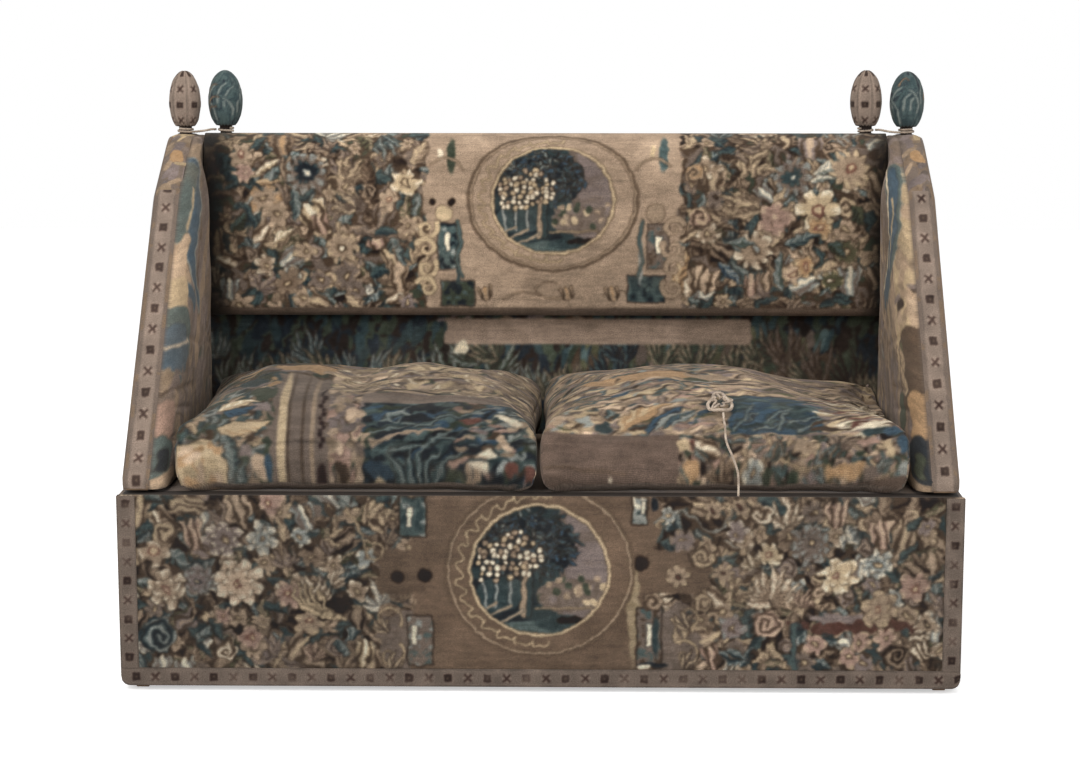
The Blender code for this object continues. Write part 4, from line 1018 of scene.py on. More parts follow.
def keep_within(cartoon, left, right, low, high):
    """Let only this part of the cartoon take wool, until the limit is lifted."""
    u, v = cartoon.places()
    cartoon.limit = ((u > left) & (u < right)) * ((v > low) & (v < high)) * 1.0


def darken(cartoon, edge_u, reach, least):
    """Let the cloth fall into shade from a line towards one side."""
    share = ease((cartoon.places()[0] - edge_u) / reach)
    cartoon.colour *= (1 - (1 - least) * share)[..., None]


print("leaf tones", len(LEAF_TONES), "bloom tones", len(BLOOM_TONES))

# %% [markdown]
# The cartoon of the front is laid out from its middle: the ringed tree with four small
# panels round it, and a garland on each side. The large motifs are listed with their places
# in centimetres. They follow the balance of the old cloth, while their drawing is the plain
# workshop kind above.

# %% Cartoon of the front
APRON_STEP = 0.0019
CENTIMETRE = 0.01


def grow(cartoon, rows):
    """Lay motifs from rows of kind, place in centimetres and the kind's own values."""
    for kind, u, v, *values in rows:
        kind(cartoon, u * CENTIMETRE, v * CENTIMETRE, *values)


APRON_MOTIFS = (
    (frond, -45.0, 19.0, 0.060, 1.6, 2.3, 8, "umber tan cream"),
    (frond, -41.5, 22.0, 0.045, 0.6, 1.5, 6, "umber peach cream"),
    (acanthus, -34.5, 34.5, 0.075, 0.5, "umber tan straw", 1),
    (acanthus, -43.0, 31.0, 0.070, 0.9, "umber tan straw", -1),
    (leaf, -69.0, 10.0, 0.062, 0.026, 0.6, "dark teal mist"),
    (leaf, -66.5, 15.0, 0.060, 0.024, -0.9, "dark sea teal"),
    (leaf, -55.0, 18.0, 0.055, 0.024, -0.3, "dark sea teal"),
    (leaf, -41.0, 11.0, 0.052, 0.024, -0.9, "navy teal mist"),
    (leaf, -44.0, 13.0, 0.052, 0.022, -2.2, "dark sea teal"),
    (leaf, -50.0, 31.0, 0.052, 0.022, 1.9, "umber tan straw"),
    (leaf, -47.0, 38.5, 0.050, 0.014, -1.2, "dark umber tan"),
    (frond, -45.6, 6.5, 0.046, 1.2, 1.6, 6, "umber rose peach"),
    (tulip, -69.6, 38.2, 0.048, 0.086, "umber tan straw", 1.45, 4),
    (tulip, -68.7, 32.2, 0.050, 0.072, "umber rose peach", 0.25, 3),
    (tulip, -59.8, 37.4, 0.052, 0.070, "umber tan peach", 0.3, 3),
    (tulip, -35.1, 8.0, 0.042, 0.058, "umber straw cream", -0.1, 2),
    (flower, -76.7, 28.2, 0.032, 4, "umber tan cream", "brick straw", 0.5),
    (flower, -53.6, 39.0, 0.030, 5, "umber rose peach", "brick straw"),
    (flower, -50.2, 20.1, 0.031, 6, "umber rose peach", "brick straw"),
    (flower, -46.2, 14.3, 0.032, 5, "umber tan straw", "brick straw"),
    (flower, -63.3, 15.4, 0.022, 5, "umber rose peach", "brick straw"),
    (flower, -58.0, 11.1, 0.026, 6, "umber rose peach", "brick straw"),
    (flower, -61.9, 26.4, 0.021, 6, "umber tan cream", "umber straw"),
    (layered, -74.3, 20.9, 0.041, 6, "umber tan cream", "brick peach"),
    (layered, -68.1, 23.1, 0.033, 6, "umber mauve mist", "navy straw"),
    (layered, -59.8, 22.4, 0.050, 8, "umber peach cream", "brick straw"),
    (layered, -55.2, 31.4, 0.038, 6, "navy mist cream", "umber straw"),
    (layered, -62.9, 31.4, 0.041, 7, "umber mauve cream", "umber straw"),
    (frond, 46.2, 18.6, 0.082, 1.57, 2.9, 11, "umber peach cream"),
    (frond, 38.0, 20.6, 0.050, 0.4, 1.8, 6, "umber tan straw"),
    (acanthus, 28.0, 10.0, 0.070, 0.7, "umber tan straw", 1),
    (acanthus, 36.0, 31.0, 0.062, 0.6, "umber tan mist", -1),
    (leaf, 59.5, 30.0, 0.055, 0.026, 0.9, "navy mist cream"),
    (leaf, 62.5, 30.5, 0.050, 0.024, 1.9, "navy mist cream"),
    (leaf, 40.0, 5.0, 0.050, 0.022, 1.0, "navy sea mist"),
    (leaf, 37.5, 9.0, 0.046, 0.022, -0.5, "navy sea mist"),
    (leaf, 42.5, 6.5, 0.062, 0.026, 0.35, "umber tan straw"),
    (leaf, 45.0, 10.0, 0.058, 0.022, -0.8, "umber tan straw"),
    (leaf, 71.0, 28.0, 0.050, 0.022, 0.5, "dark sea teal"),
    (leaf, 73.0, 33.0, 0.052, 0.022, 0.9, "dark sea teal"),
    (leaf, 73.0, 11.0, 0.050, 0.018, 0.1, "umber tan cream"),
    (frond, 42.4, 25.2, 0.050, 1.8, 1.2, 5, "umber straw cream"),
    (frond, 52.2, 17.8, 0.048, 1.3, 1.5, 5, "umber rose peach"),
    (tulip, 58.6, 36.6, 0.050, 0.060, "umber rose peach", -0.1, 3),
    (tulip, 67.5, 33.0, 0.050, 0.062, "umber rose peach", 0.1, 3),
    (tulip, 34.3, 7.6, 0.040, 0.052, "umber rose peach", 0.3, 2),
    (tulip, 76.3, 9.0, 0.046, 0.046, "umber tan cream", 0.8, 4),
    (flower, 27.3, 24.2, 0.025, 7, "umber tan straw", "dark brick"),
    (flower, 36.7, 24.5, 0.025, 7, "umber tan straw", "dark brick"),
    (flower, 34.5, 37.6, 0.022, 6, "umber tan straw", "dark brick"),
    (flower, 39.6, 37.6, 0.022, 6, "umber tan straw", "dark brick"),
    (flower, 74.7, 22.1, 0.034, 5, "umber rose peach", "brick straw"),
    (flower, 55.0, 10.3, 0.027, 5, "umber rose peach", "umber straw"),
    (flower, 61.8, 7.4, 0.026, 5, "umber rose straw", "umber straw"),
    (flower, 64.1, 11.1, 0.025, 5, "umber rose straw", "umber straw"),
    (flower, 69.1, 11.5, 0.027, 6, "umber rose peach", "umber straw"),
    (flower, 38.4, 13.5, 0.027, 5, "umber mauve mist", "umber straw"),
    (flower, 38.8, 33.0, 0.025, 6, "umber mauve cream", "umber straw"),
    (flower, 45.6, 28.6, 0.028, 6, "umber straw cream", "brick straw"),
    (flower, 77.1, 14.3, 0.025, 8, "umber tan cream", "dark straw"),
    (layered, 59.5, 24.3, 0.043, 6, "umber straw cream", "brick peach"),
    (layered, 67.7, 17.6, 0.039, 6, "umber tan straw", "brick straw"),
    (layered, 66.9, 26.6, 0.035, 6, "navy mist cream", "umber straw"),
    (layered, 53.6, 30.6, 0.042, 9, "navy taupe mist", "umber straw"),
    (spiral_rose, 45.6, 14.3, 0.033, "umber rose peach"),
    (spiral_rose, 32.3, 19.1, 0.021, "umber tan straw"),
    (spiral_rose, 32.3, 27.8, 0.025, "umber tan straw"),
    (spiral_rose, 71.1, 7.8, 0.028, "dark umber tan"),
    (spiral_rose, -76.1, 11.3, 0.036, "navy sea mist"),
    (spiral_rose, -62.5, 8.4, 0.024, "umber tan cream"),
)


def plain_field(cartoon, u, v, width, height, tone, seed):
    """Plain worn ground, streaked along the weave, with soft upright ends."""
    spot, across, up = cartoon.window(u, v, max(width, height) / 2 + 0.02)
    rough = cloud(*across.shape, 10, seed, 3) - 0.5
    inside = np.minimum(width / 2 - np.abs(across) + rough * 0.02, height / 2 - np.abs(up))
    streaks = cloud(*across.shape, 2.2, seed + 1, 3, 16.0)[..., None]
    blots = cloud(*across.shape, 34, seed + 2, 3)[..., None]
    cartoon.lay(spot, inside, tone * (0.80 + 0.22 * streaks + 0.18 * blots), 0.0001)


def roundel(cartoon, u, v, inner, outer, seed):
    """The ringed tree: two thin pale rings, a wandering ribbon, and the picture."""
    middle = ((inner[0] + outer[0]) / 2, (inner[1] + outer[1]) / 2)
    ring(cartoon, u, v, *outer, 0.0042, "umber tan")
    ring(cartoon, u, v, outer[0] + 0.006, outer[1] + 0.006, 0.0018, "umber ground")
    first, last = math.radians(80), math.radians(275)
    wavy_ribbon(cartoon, u, v, *middle, 0.040, 27, first, last, "umber straw", 0.0056)
    tree_scene(cartoon, u, v, *inner, seed)
    ring(cartoon, u, v, *inner, 0.0056, "umber straw")


APRON_PLAIN = np.array((0.405, 0.330, 0.268))
APRON_SCROLLS = (
    (-0.305, 0.150, -0.5, 1), (-0.298, 0.075, 0.9, -1), (0.295, 0.160, 3.4, 1), (0.290, 0.080, 2.2, -1),
)
APRON_PANELS = (
    (-0.277, -0.227, 0.322, 0.398, "sea teal mist", (-0.258, 0.360, 0.010, 0.040)),
    (-0.262, -0.215, 0.056, 0.156, "teal taupe mist", (-0.250, 0.117, 0.010, 0.040)),
    (0.185, 0.212, 0.345, 0.398, "sea mist cream", (0.206, 0.380, 0.008, 0.026)),
    (0.196, 0.242, 0.052, 0.175, "umber taupe teal", (0.219, 0.120, 0.010, 0.045)),
)


def paint_apron():
    cartoon = Cartoon(-WIDE, WIDE, 0.0, 0.42, APRON_STEP, 11)
    cartoon.mottle(wools("dark umber dark umber sea taupe"), 0.05, 3)
    for area, seed in (((-0.84, -0.24, 0.0, 0.42), 5), ((0.24, 0.84, 0.0, 0.42), 6)):
        fill_leaves(cartoon, area, 0.030, seed, size=(0.040, 0.078))
        fill_blooms(cartoon, area, 0.052, seed + 2, 0.85)
    patch(cartoon, 0.655, 0.140, 0.26, 0.022, 0.0, WOOL["brick"] * 0.8, 0.5, 0.0002, 4)
    patch(cartoon, 0.60, 0.158, 0.15, 0.016, 0.0, "mauve", 0.4, 0.0002, 5)
    patch(cartoon, -0.43, 0.178, 0.11, 0.05, 0.0, "dark", 0.3, 0.0002, 5)
    patch(cartoon, -0.26, 0.09, 0.12, 0.14, 0.0, "taupe", 0.3, 0.0002, 6)
    patch(cartoon, 0.27, 0.10, 0.10, 0.16, 0.0, "taupe", 0.3, 0.0002, 7)
    plain_field(cartoon, -0.01, 0.205, 0.49, 0.44, APRON_PLAIN, 12)
    plain_field(cartoon, 0.28, 0.25, 0.12, 0.09, APRON_PLAIN, 13)
    plain_field(cartoon, -0.27, 0.25, 0.10, 0.09, APRON_PLAIN * 0.92, 14)
    patch(cartoon, 0.187, 0.17, 0.020, 0.22, 0.0, WOOL["straw"] * 0.78, 0.3, 0.0002, 15)
    grow(cartoon, APRON_MOTIFS)
    stroke(cartoon, bow((-0.390, 0.378), (-0.345, 0.290), 0.10), 0.006, 0.006, "umber straw")
    scroll(cartoon, -0.333, 0.286, 0.026, 2.4, "umber straw", 1.5, -1, 0.007)
    acanthus(cartoon, -0.315, 0.325, 0.065, 1.3, "umber tan straw", 1)
    stroke(cartoon, bow((0.225, 0.350), (0.335, 0.335), 0.25), 0.006, 0.005, "umber mist")
    stroke(cartoon, bow((0.335, 0.335), (0.375, 0.372), -0.2), 0.006, 0.004, "umber mist")
    scroll(cartoon, 0.237, 0.340, 0.012, 1.2, "umber straw", 1.0, 1, 0.006)
    stroke(cartoon, bow((0.511, 0.045), (0.505, 0.135), 0.05), 0.015, 0.012, "navy teal")
    for number in range(5):
        u, v = -0.385 - 0.014 * number, 0.150 + 0.004 * number
        blade = bow((u, v), (u - 0.055, v + 0.060), 0.15)
        stroke(cartoon, blade, 0.013, 0.006, "dark straw")
    wander(cartoon, 0.0105, 0.022, 17)
    for u, v, turn, side in APRON_SCROLLS:
        scroll(cartoon, u, v, 0.032, turn, "umber straw", 1.1, side, 0.007)
        frond(cartoon, u, v - 0.03, 0.050, 1.57 + side * 0.5, 1.0, 4, "umber taupe straw")
    for left, right, low, high, tones, bar in APRON_PANELS:
        panel(cartoon, left, right, low, high, tones, bar, "umber")
    patch(cartoon, 0.228, 0.385, 0.014, 0.026, 0.0, "navy", 0.1, 0.0003, 3)
    patch(cartoon, 0.232, 0.115, 0.012, 0.080, 0.0, "sea", 0.1, 0.0003, 8)
    patch(cartoon, 0.225, 0.058, 0.055, 0.012, 0.0, "navy", 0.1, 0.0003, 9)
    patch(cartoon, 0.209, 0.053, 0.028, 0.010, 0.0, "cream", 0.1, 0.0004, 9)
    spiral_rose(cartoon, 0.227, 0.186, 0.022, "umber ground tan", 1.4)
    for u, v, radius in ((-0.283, 0.237, 0.013), (-0.229, 0.241, 0.014), (0.203, 0.267, 0.015)):
        spot_of(cartoon, u, v, radius, "dark", "umber")
    roundel(cartoon, 0.0, 0.251, (0.138, 0.133), (0.182, 0.170), 21)
    wander(cartoon, 0.0040, 0.014, 19)
    return cartoon


DARKEST, PALEST = 0.025, 0.9
WEAR_SHARE, GRAIN_SHARE, STREAK_SHARE = 0.45, 0.13, 0.18
LEFT_SHADE = 0.11


def age(cartoon, fade, contrast, seed, level=1.0, gain=1.38):
    """Fade the tones in places, let dirt vary, and set a level that is partly painted shade."""
    size = cartoon.size
    soften(cartoon)
    grey = cartoon.colour.mean(axis=-1, keepdims=True)
    tint = cartoon.colour - grey
    grey = grey.mean() + (grey - grey.mean()) * gain
    tint = tint.mean(axis=(0, 1)) + (tint - tint.mean(axis=(0, 1))) * 0.98
    cartoon.colour = np.clip(grey + tint, DARKEST, PALEST)
    worn = cloud(*size, 0.09 / cartoon.step, seed, 3)[..., None]
    faded = np.clip(fade + (worn - 0.5) * WEAR_SHARE, 0, 1)
    cartoon.colour += (WOOL["ground"] - cartoon.colour) * faded
    dirt = cloud(*size, 0.20 / cartoon.step, seed + 1, 3)[..., None] - 0.5
    grain = cloud(*size, 2.0, seed + 2, 1)[..., None] - 0.5
    streaks = cloud(*size, 1.6, seed + 3, 2, 12.0)[..., None] - 0.5
    light = 1 + dirt * contrast + grain * GRAIN_SHARE + streaks * STREAK_SHARE
    # Dirt, grain and streaks vary the wool's own tone. The level sets the piece's brightness and is
    # partly painted shade: it darkens pieces that are lit less, such as the front of the seat.
    cartoon.colour *= level * light
    cartoon.relief *= 0.8


APRON_CARTOON = paint_apron()
age(APRON_CARTOON, 0.10, 0.30, 40, 0.87, 1.46)
left_share = np.clip((-0.15 - np.linspace(-WIDE, WIDE, APRON_CARTOON.columns)) / 0.2, 0, 1)
APRON_CARTOON.colour *= (1 - LEFT_SHADE * left_share)[None, :, None]
print("front cartoon", *APRON_CARTOON.size)

# %% [markdown]
# Tapestry is a ribbed cloth: the coloured wool packs over stiff warps, so the surface is a
# row of fine ridges, about five to a centimetre, with fibre fuzz on top. The colour comes
# from the attribute; ridges, slubs and fuzz are the shader's, and they follow a second
# attribute that holds each vertex's place in the cloth, so they turn round every edge.
# The shader also darkens the colour in the grooves between the ridges, as painted shade.

# %% Tapestry material
RIBS_PER_METRE = 480.0


def attribute_of(nodes, name, output):
    """An attribute of the vertices, for a shader."""
    node = add_node(nodes, "Attribute")
    node.attribute_name = name
    return node.outputs[output]


def tapestry_material(name, rib_depth):
    material, nodes, links, shader = shader_of(name, 0.93, 0.09)
    shader.inputs["Sheen Tint"].default_value = (0.9, 0.82, 0.7, 1.0)
    shader.inputs["Specular IOR Level"].default_value = 0.22
    paint = attribute_of(nodes, "paint", "Color")
    cloth = attribute_of(nodes, "cloth", "Vector")
    scale = RIBS_PER_METRE / 20 * 2 * math.pi
    ribs = waves_of(
        nodes, links, cloth, "Y", Scale=scale, Distortion=1.2, Detail=1.0, Detail_Scale=2.0
    )
    slubs = noise_of(nodes, links, cloth, 420.0, 3.0)
    blots = noise_of(nodes, links, cloth, 26.0, 4.0)
    tone = ranged(nodes, links, slubs, 0.72, 1.26, 0.3, 0.7)
    dirt = ranged(nodes, links, blots, 0.84, 1.12, 0.3, 0.7)
    # Painted shade: the base colour is made darker in the grooves between the ribs.
    rib_shade = ranged(nodes, links, ribs, 0.80, 1.08)
    both = combined(nodes, links, "MULTIPLY", tone, dirt)
    ribbed = combined(nodes, links, "MULTIPLY", both, rib_shade)
    shaded = add_node(nodes, "VectorMath")
    shaded.operation = "SCALE"
    links.new(paint, shaded.inputs[0])
    links.new(ribbed, shaded.inputs["Scale"])
    links.new(shaded.outputs["Vector"], shader.inputs["Base Color"])
    first = bump_of(nodes, links, ribs, rib_depth, 0.7, shader)
    bump_of(nodes, links, slubs, rib_depth * 1.4, 0.6, shader, first)
    return material


TAPESTRY = tapestry_material("tapestry_wool", 0.0006)
print("material", TAPESTRY.name)

# %% [markdown]
# Every covered part is made the same way. A dense grid is bent over the form by a function
# that takes two shares from 0 to 1, its rim is extruded back to the frame, and the back is
# closed, so each cover is one closed body. The shape's relief, read from the cartoon, then
# lifts the motifs a fraction of a millimetre, as thick wool stands over thin.

# %% Covers from a grid
def vertex_values(mesh, kind):
    """The places ("co") or the normals ("normal") of all the vertices."""
    values = np.empty(len(mesh.vertices) * 3)
    mesh.vertices.foreach_get(kind, values)
    return values.reshape(-1, 3)


def keep_colour(mesh, colour, cloth):
    """Keep screen colours and places in the cloth as attributes of the vertices."""
    paint = mesh.attributes.new("paint", "FLOAT_COLOR", "POINT")
    values = np.ones((len(mesh.vertices), 4))
    values[:, :3] = linear(colour)
    paint.data.foreach_set("color", values.ravel())
    place = mesh.attributes.new("cloth", "FLOAT_VECTOR", "POINT")
    flat = np.zeros((len(mesh.vertices), 3))
    flat[:, :2] = cloth
    place.data.foreach_set("vector", flat.ravel())


EDGE_WOOL = WOOL["taupe"] * 0.85


def cover(name, columns, rows, surface, cartoon, material, lift=1.0):
    """Bend a grid over a form.

    surface(u, v, sink) takes arrays and gives x, depth, z and the place in the cloth, two
    numbers in metres; sink is 0 on the face and 1 at the rear.
    """
    bm = bmesh.new()
    bmesh.ops.create_grid(bm, x_segments=columns, y_segments=rows, size=1.0)
    rim = [edge for edge in bm.edges if edge.is_boundary]
    for edge in rim:
        edge.smooth = False
    made = bmesh.ops.extrude_edge_only(bm, edges=rim)["geom"]
    for item in made:
        if isinstance(item, bmesh.types.BMVert):
            item.co.z = -1.0
    edges = [item for item in made if isinstance(item, bmesh.types.BMEdge)]
    behind = [edge for edge in edges if max(vertex.co.z for vertex in edge.verts) < -0.5]
    bmesh.ops.contextual_create(bm, geom=behind)
    piece = new_piece(name, bm)
    mesh = piece.data
    places = vertex_values(mesh, "co")
    u, v = (places[:, 0] + 1) / 2, (places[:, 1] + 1) / 2
    sink = np.where(places[:, 2] < -0.5, 1.0, 0.0)
    x, depth, z, cloth_u, cloth_v = surface(u, v, sink)
    placed = np.stack([x, FRONT + depth, z], axis=1)
    mesh.vertices.foreach_set("co", placed.ravel())
    mesh.update()
    bm = bmesh.new()
    bm.from_mesh(mesh)
    bmesh.ops.recalc_face_normals(bm, faces=bm.faces)
    bm.to_mesh(mesh)
    bm.free()
    colour, relief = cartoon.read(cloth_u, cloth_v)
    placed += vertex_values(mesh, "normal") * (relief * lift * (1 - sink))[:, None]
    mesh.vertices.foreach_set("co", placed.ravel())
    colour = colour + (EDGE_WOOL - colour) * 0.9 * sink[:, None]
    keep_colour(mesh, colour, np.stack([cloth_u, cloth_v], axis=1))
    mesh.update()
    mesh.materials.append(material)
    return piece


def round_over(share):
    """A quarter-round rise from 0 to 1."""
    share = np.clip(share, 0.0, 1.0)
    return np.sqrt(1 - (1 - share) ** 2)


# %% [markdown]
# The front of the seat is a board with thin wadding under the tapestry. It is nearly flat,
# with small slack waves where the cloth has loosened, rounded lower corners, and a top
# edge that rolls back under the cushions. Three pieces side by side share one cartoon, so
# each keeps fine detail.

# %% Front of the seat
FOOT_SHOW = 0.012
SEAT_TOP = 0.400
APRON_FACE = 0.0033
APRON_THICK = 0.012
APRON_CORNER = 0.018
TOP_ROLL = 0.008
COVER_CELL = 0.0020
APRON_ROWS = 194


def apron_low(x):
    """Height of the apron's lower edge, with its rounded corners."""
    off = np.clip(np.abs(x) - (WIDE - APRON_CORNER), 0, APRON_CORNER)
    return FOOT_SHOW + APRON_CORNER - np.sqrt(APRON_CORNER ** 2 - off ** 2)


def slack(u, v, seed, size):
    """Slow waves in a cloth, a few millimetres at the most."""
    random = np.random.default_rng(seed)
    total = np.zeros_like(u)
    for _ in range(7):
        angle = random.uniform(0, math.pi)
        wave = random.uniform(14, 46)
        shift = random.uniform(0, 6.28)
        total += np.sin((u * math.cos(angle) + v * math.sin(angle)) * wave + shift)
    return total / 7 * size


def apron_surface(left, right):
    def surface(u, v, sink):
        x = left + (right - left) * u
        low = apron_low(x)
        z = low + (SEAT_TOP - low) * v
        roll = np.clip(1 - (SEAT_TOP - z) / TOP_ROLL, 0, 1)
        back = TOP_ROLL * (1 - np.sqrt(1 - roll ** 2))
        edge = ease((WIDE - np.abs(x)) / 0.06) * ease((z - 0.03) / 0.05) * ease((SEAT_TOP - z) / 0.03)
        depth = APRON_FACE + back - (0.0016 + slack(x, z, 3, 0.0030)) * edge
        depth = np.where(sink > 0.5, APRON_FACE + APRON_THICK, depth)
        return x, depth, z, x, z

    return surface


for part, left, right in (("left", -WIDE, -0.28), ("middle", -0.28, 0.28), ("right", 0.28, WIDE)):
    columns = round((right - left) / COVER_CELL)
    surface = apron_surface(left, right)
    piece = cover("apron_" + part, columns, APRON_ROWS, surface, APRON_CARTOON, TAPESTRY)
    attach(piece, "base")
    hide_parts("front_apron")
    print(piece.name, len(piece.data.polygons), "faces")

# %% [markdown]
# The edges are hidden by a woven braid about as wide as two fingers. It carries a small
# dark square, then a small cross, a hand's breadth apart for each pair. The braid has a
# rounded back and firm selvedges, so its section is a low arch. Its cartoon runs along the
# braid, and each strip repeats it.

# %% Braid
BRAID_WIDTH = 0.036
BRAID_STEP = 0.0392
BRAID_POINT = 0.0012
BRAID_GROUND = np.array((0.400, 0.350, 0.312))
SIDE_BRAID_LOW = FOOT_SHOW + BRAID_WIDTH + 0.0003


def paint_braid(length, width, phase, seed, squares_only=False, level=1.0, wear=0.6):
    """A strip of braid; along runs in v and across in u."""
    cartoon = Cartoon(-width / 2, width / 2, 0.0, length, BRAID_POINT, seed)
    across = np.linspace(-1, 1, cartoon.columns)[None, :]
    along = cartoon.places()[1]
    weave = 0.5 + 0.5 * np.sin((along + np.abs(across) * 0.010) * 2 * math.pi / 0.0052)
    ground = BRAID_GROUND * level
    cartoon.colour[:] = ground * (0.90 + 0.17 * weave[..., None])
    selvedge = np.abs(across) > 0.80
    cord = 0.5 + 0.5 * np.sin(along * 2 * math.pi / 0.0042 + across * 9)
    edge_tone = ground * (0.72 + 0.26 * cord[..., None])
    cartoon.colour[:] = np.where(selvedge[..., None], edge_tone, cartoon.colour)
    line = (np.abs(across) > 0.70) & ~selvedge
    cartoon.colour[:] = np.where(line[..., None], ground * 1.12, cartoon.colour)
    cartoon.relief[:] = 0.0004 * weave + 0.0007 * selvedge * cord
    number = 0
    place = phase
    while place < length + 0.02:
        spot, u, v = cartoon.window(0.0, place, 0.013)
        if number % 2 == 0 or squares_only:
            block = 0.0082 - np.maximum(np.abs(u), np.abs(v))
            cartoon.lay(spot, block + 0.0018, ground * 1.22, 0.0006)
            cartoon.lay(spot, block, WOOL["dark"] * (0.95, 0.78, 0.72), 0.0010)
            cartoon.lay(spot, 0.0022 - np.hypot(u, v), WOOL["umber"], 0.0012)
        else:
            arms = 0.0022 - np.minimum(np.abs(u - v), np.abs(u + v)) * 0.7
            cross = np.minimum(arms, 0.0105 - np.hypot(u, v))
            cartoon.lay(spot, 0.0118 - np.abs(u) - np.abs(v), ground * 1.16, 0.0005)
            cartoon.lay(spot, cross, WOOL["dark"] * (1.2, 1.0, 0.95), 0.0009)
        place += BRAID_STEP
        number += 1
    worn = cloud(*cartoon.size, 30, seed, 3)[..., None]
    cartoon.colour += (ground - cartoon.colour) * np.clip((worn - 0.35) * 2, 0, wear)
    cartoon.colour *= 0.84 + worn * 0.26
    wander(cartoon, 0.0022, 0.009, seed + 1)
    soften(cartoon)
    return cartoon


BRAID = tapestry_material("braid_wool", 0.0004)
BRAID_THICK = 0.003
BRAID_PROUD = 0.0012


def arch(across):
    """Height of the braid's arched back over its edges, for -1 to 1 across."""
    return BRAID_PROUD * (1 - across ** 4)


def bottom_braid_surface(u, v, sink):
    x = -WIDE + 2 * WIDE * v
    low = apron_low(x)
    z = low + (FOOT_SHOW + BRAID_WIDTH - low) * u
    depth = np.where(sink > 0.5, BRAID_THICK, BRAID_PROUD - arch(2 * u - 1))
    return x, depth, z, (u - 0.5) * BRAID_WIDTH, v * 2 * WIDE


def side_braid_surface(side):
    def surface(u, v, sink):
        x = WIDE - BRAID_WIDTH * (1 - u) if side > 0 else -WIDE + BRAID_WIDTH * u
        run = (SEAT_TOP - SIDE_BRAID_LOW) * v
        depth = np.where(sink > 0.5, BRAID_THICK, BRAID_PROUD - arch(2 * u - 1))
        return x, depth, SIDE_BRAID_LOW + run, (u - 0.5) * BRAID_WIDTH, run

    return surface


def add_braid(name, surface, length, phase, seed, body, node):
    cartoon = paint_braid(length, BRAID_WIDTH, phase, seed)
    piece = cover(name, 18, round(length / 0.0022), surface, cartoon, BRAID)
    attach(piece, body)
    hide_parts(node)
    return piece


add_braid("bottom_braid", bottom_braid_surface, 2 * WIDE, 0.030, 71, "base", "apron_braid_bottom")
for side_name, side in SIDES:
    add_braid(
        side_name + "_front_braid", side_braid_surface(side), SEAT_TOP - SIDE_BRAID_LOW, 0.022,
        72 + side, "base", "apron_braid_" + side_name,
    )
print("braid motifs every", BRAID_STEP, "m")

# %% [markdown]
# The back is a deep pad of hair over a frame. Its face bellies forward, rolls over the top
# rail in a wide curve and turns under at the foot, above the gap behind the cushions.

# %% Back pad
BACK_TOP = 1.077
BACK_HALF = 0.752
BACK_LOW = 0.675
BACK_REAR = 0.6924
BACK_THICK = 0.062
BACK_ROWS = 205


def back_surface(left, right):
    def surface(u, v, sink):
        x = left + (right - left) * u
        crowd = 0.5 + 0.5 * np.sin((v - 0.5) * math.pi)
        v = 0.35 * v + 0.65 * crowd
        z = BACK_LOW + v * (BACK_TOP - BACK_LOW)
        top_roll = round_over((BACK_TOP - z) / 0.055)
        low_roll = 0.55 + 0.45 * round_over((z - BACK_LOW) / 0.030)
        side_roll = 0.60 + 0.40 * round_over((BACK_HALF - np.abs(x)) / 0.030)
        rise = 0.10 + 0.90 * top_roll * low_roll * side_roll
        inner = ease((BACK_HALF - np.abs(x)) / 0.08) * ease((BACK_TOP - z) / 0.05)
        wave = slack(x, z, 8, 0.0055) * inner * ease((z - BACK_LOW) / 0.04)
        depth = BACK_REAR - BACK_THICK * rise - wave
        depth = np.where(sink > 0.5, BACK_REAR, depth)
        around = (1 - top_roll) * 0.035
        return x, depth, z, x, z + around

    return surface


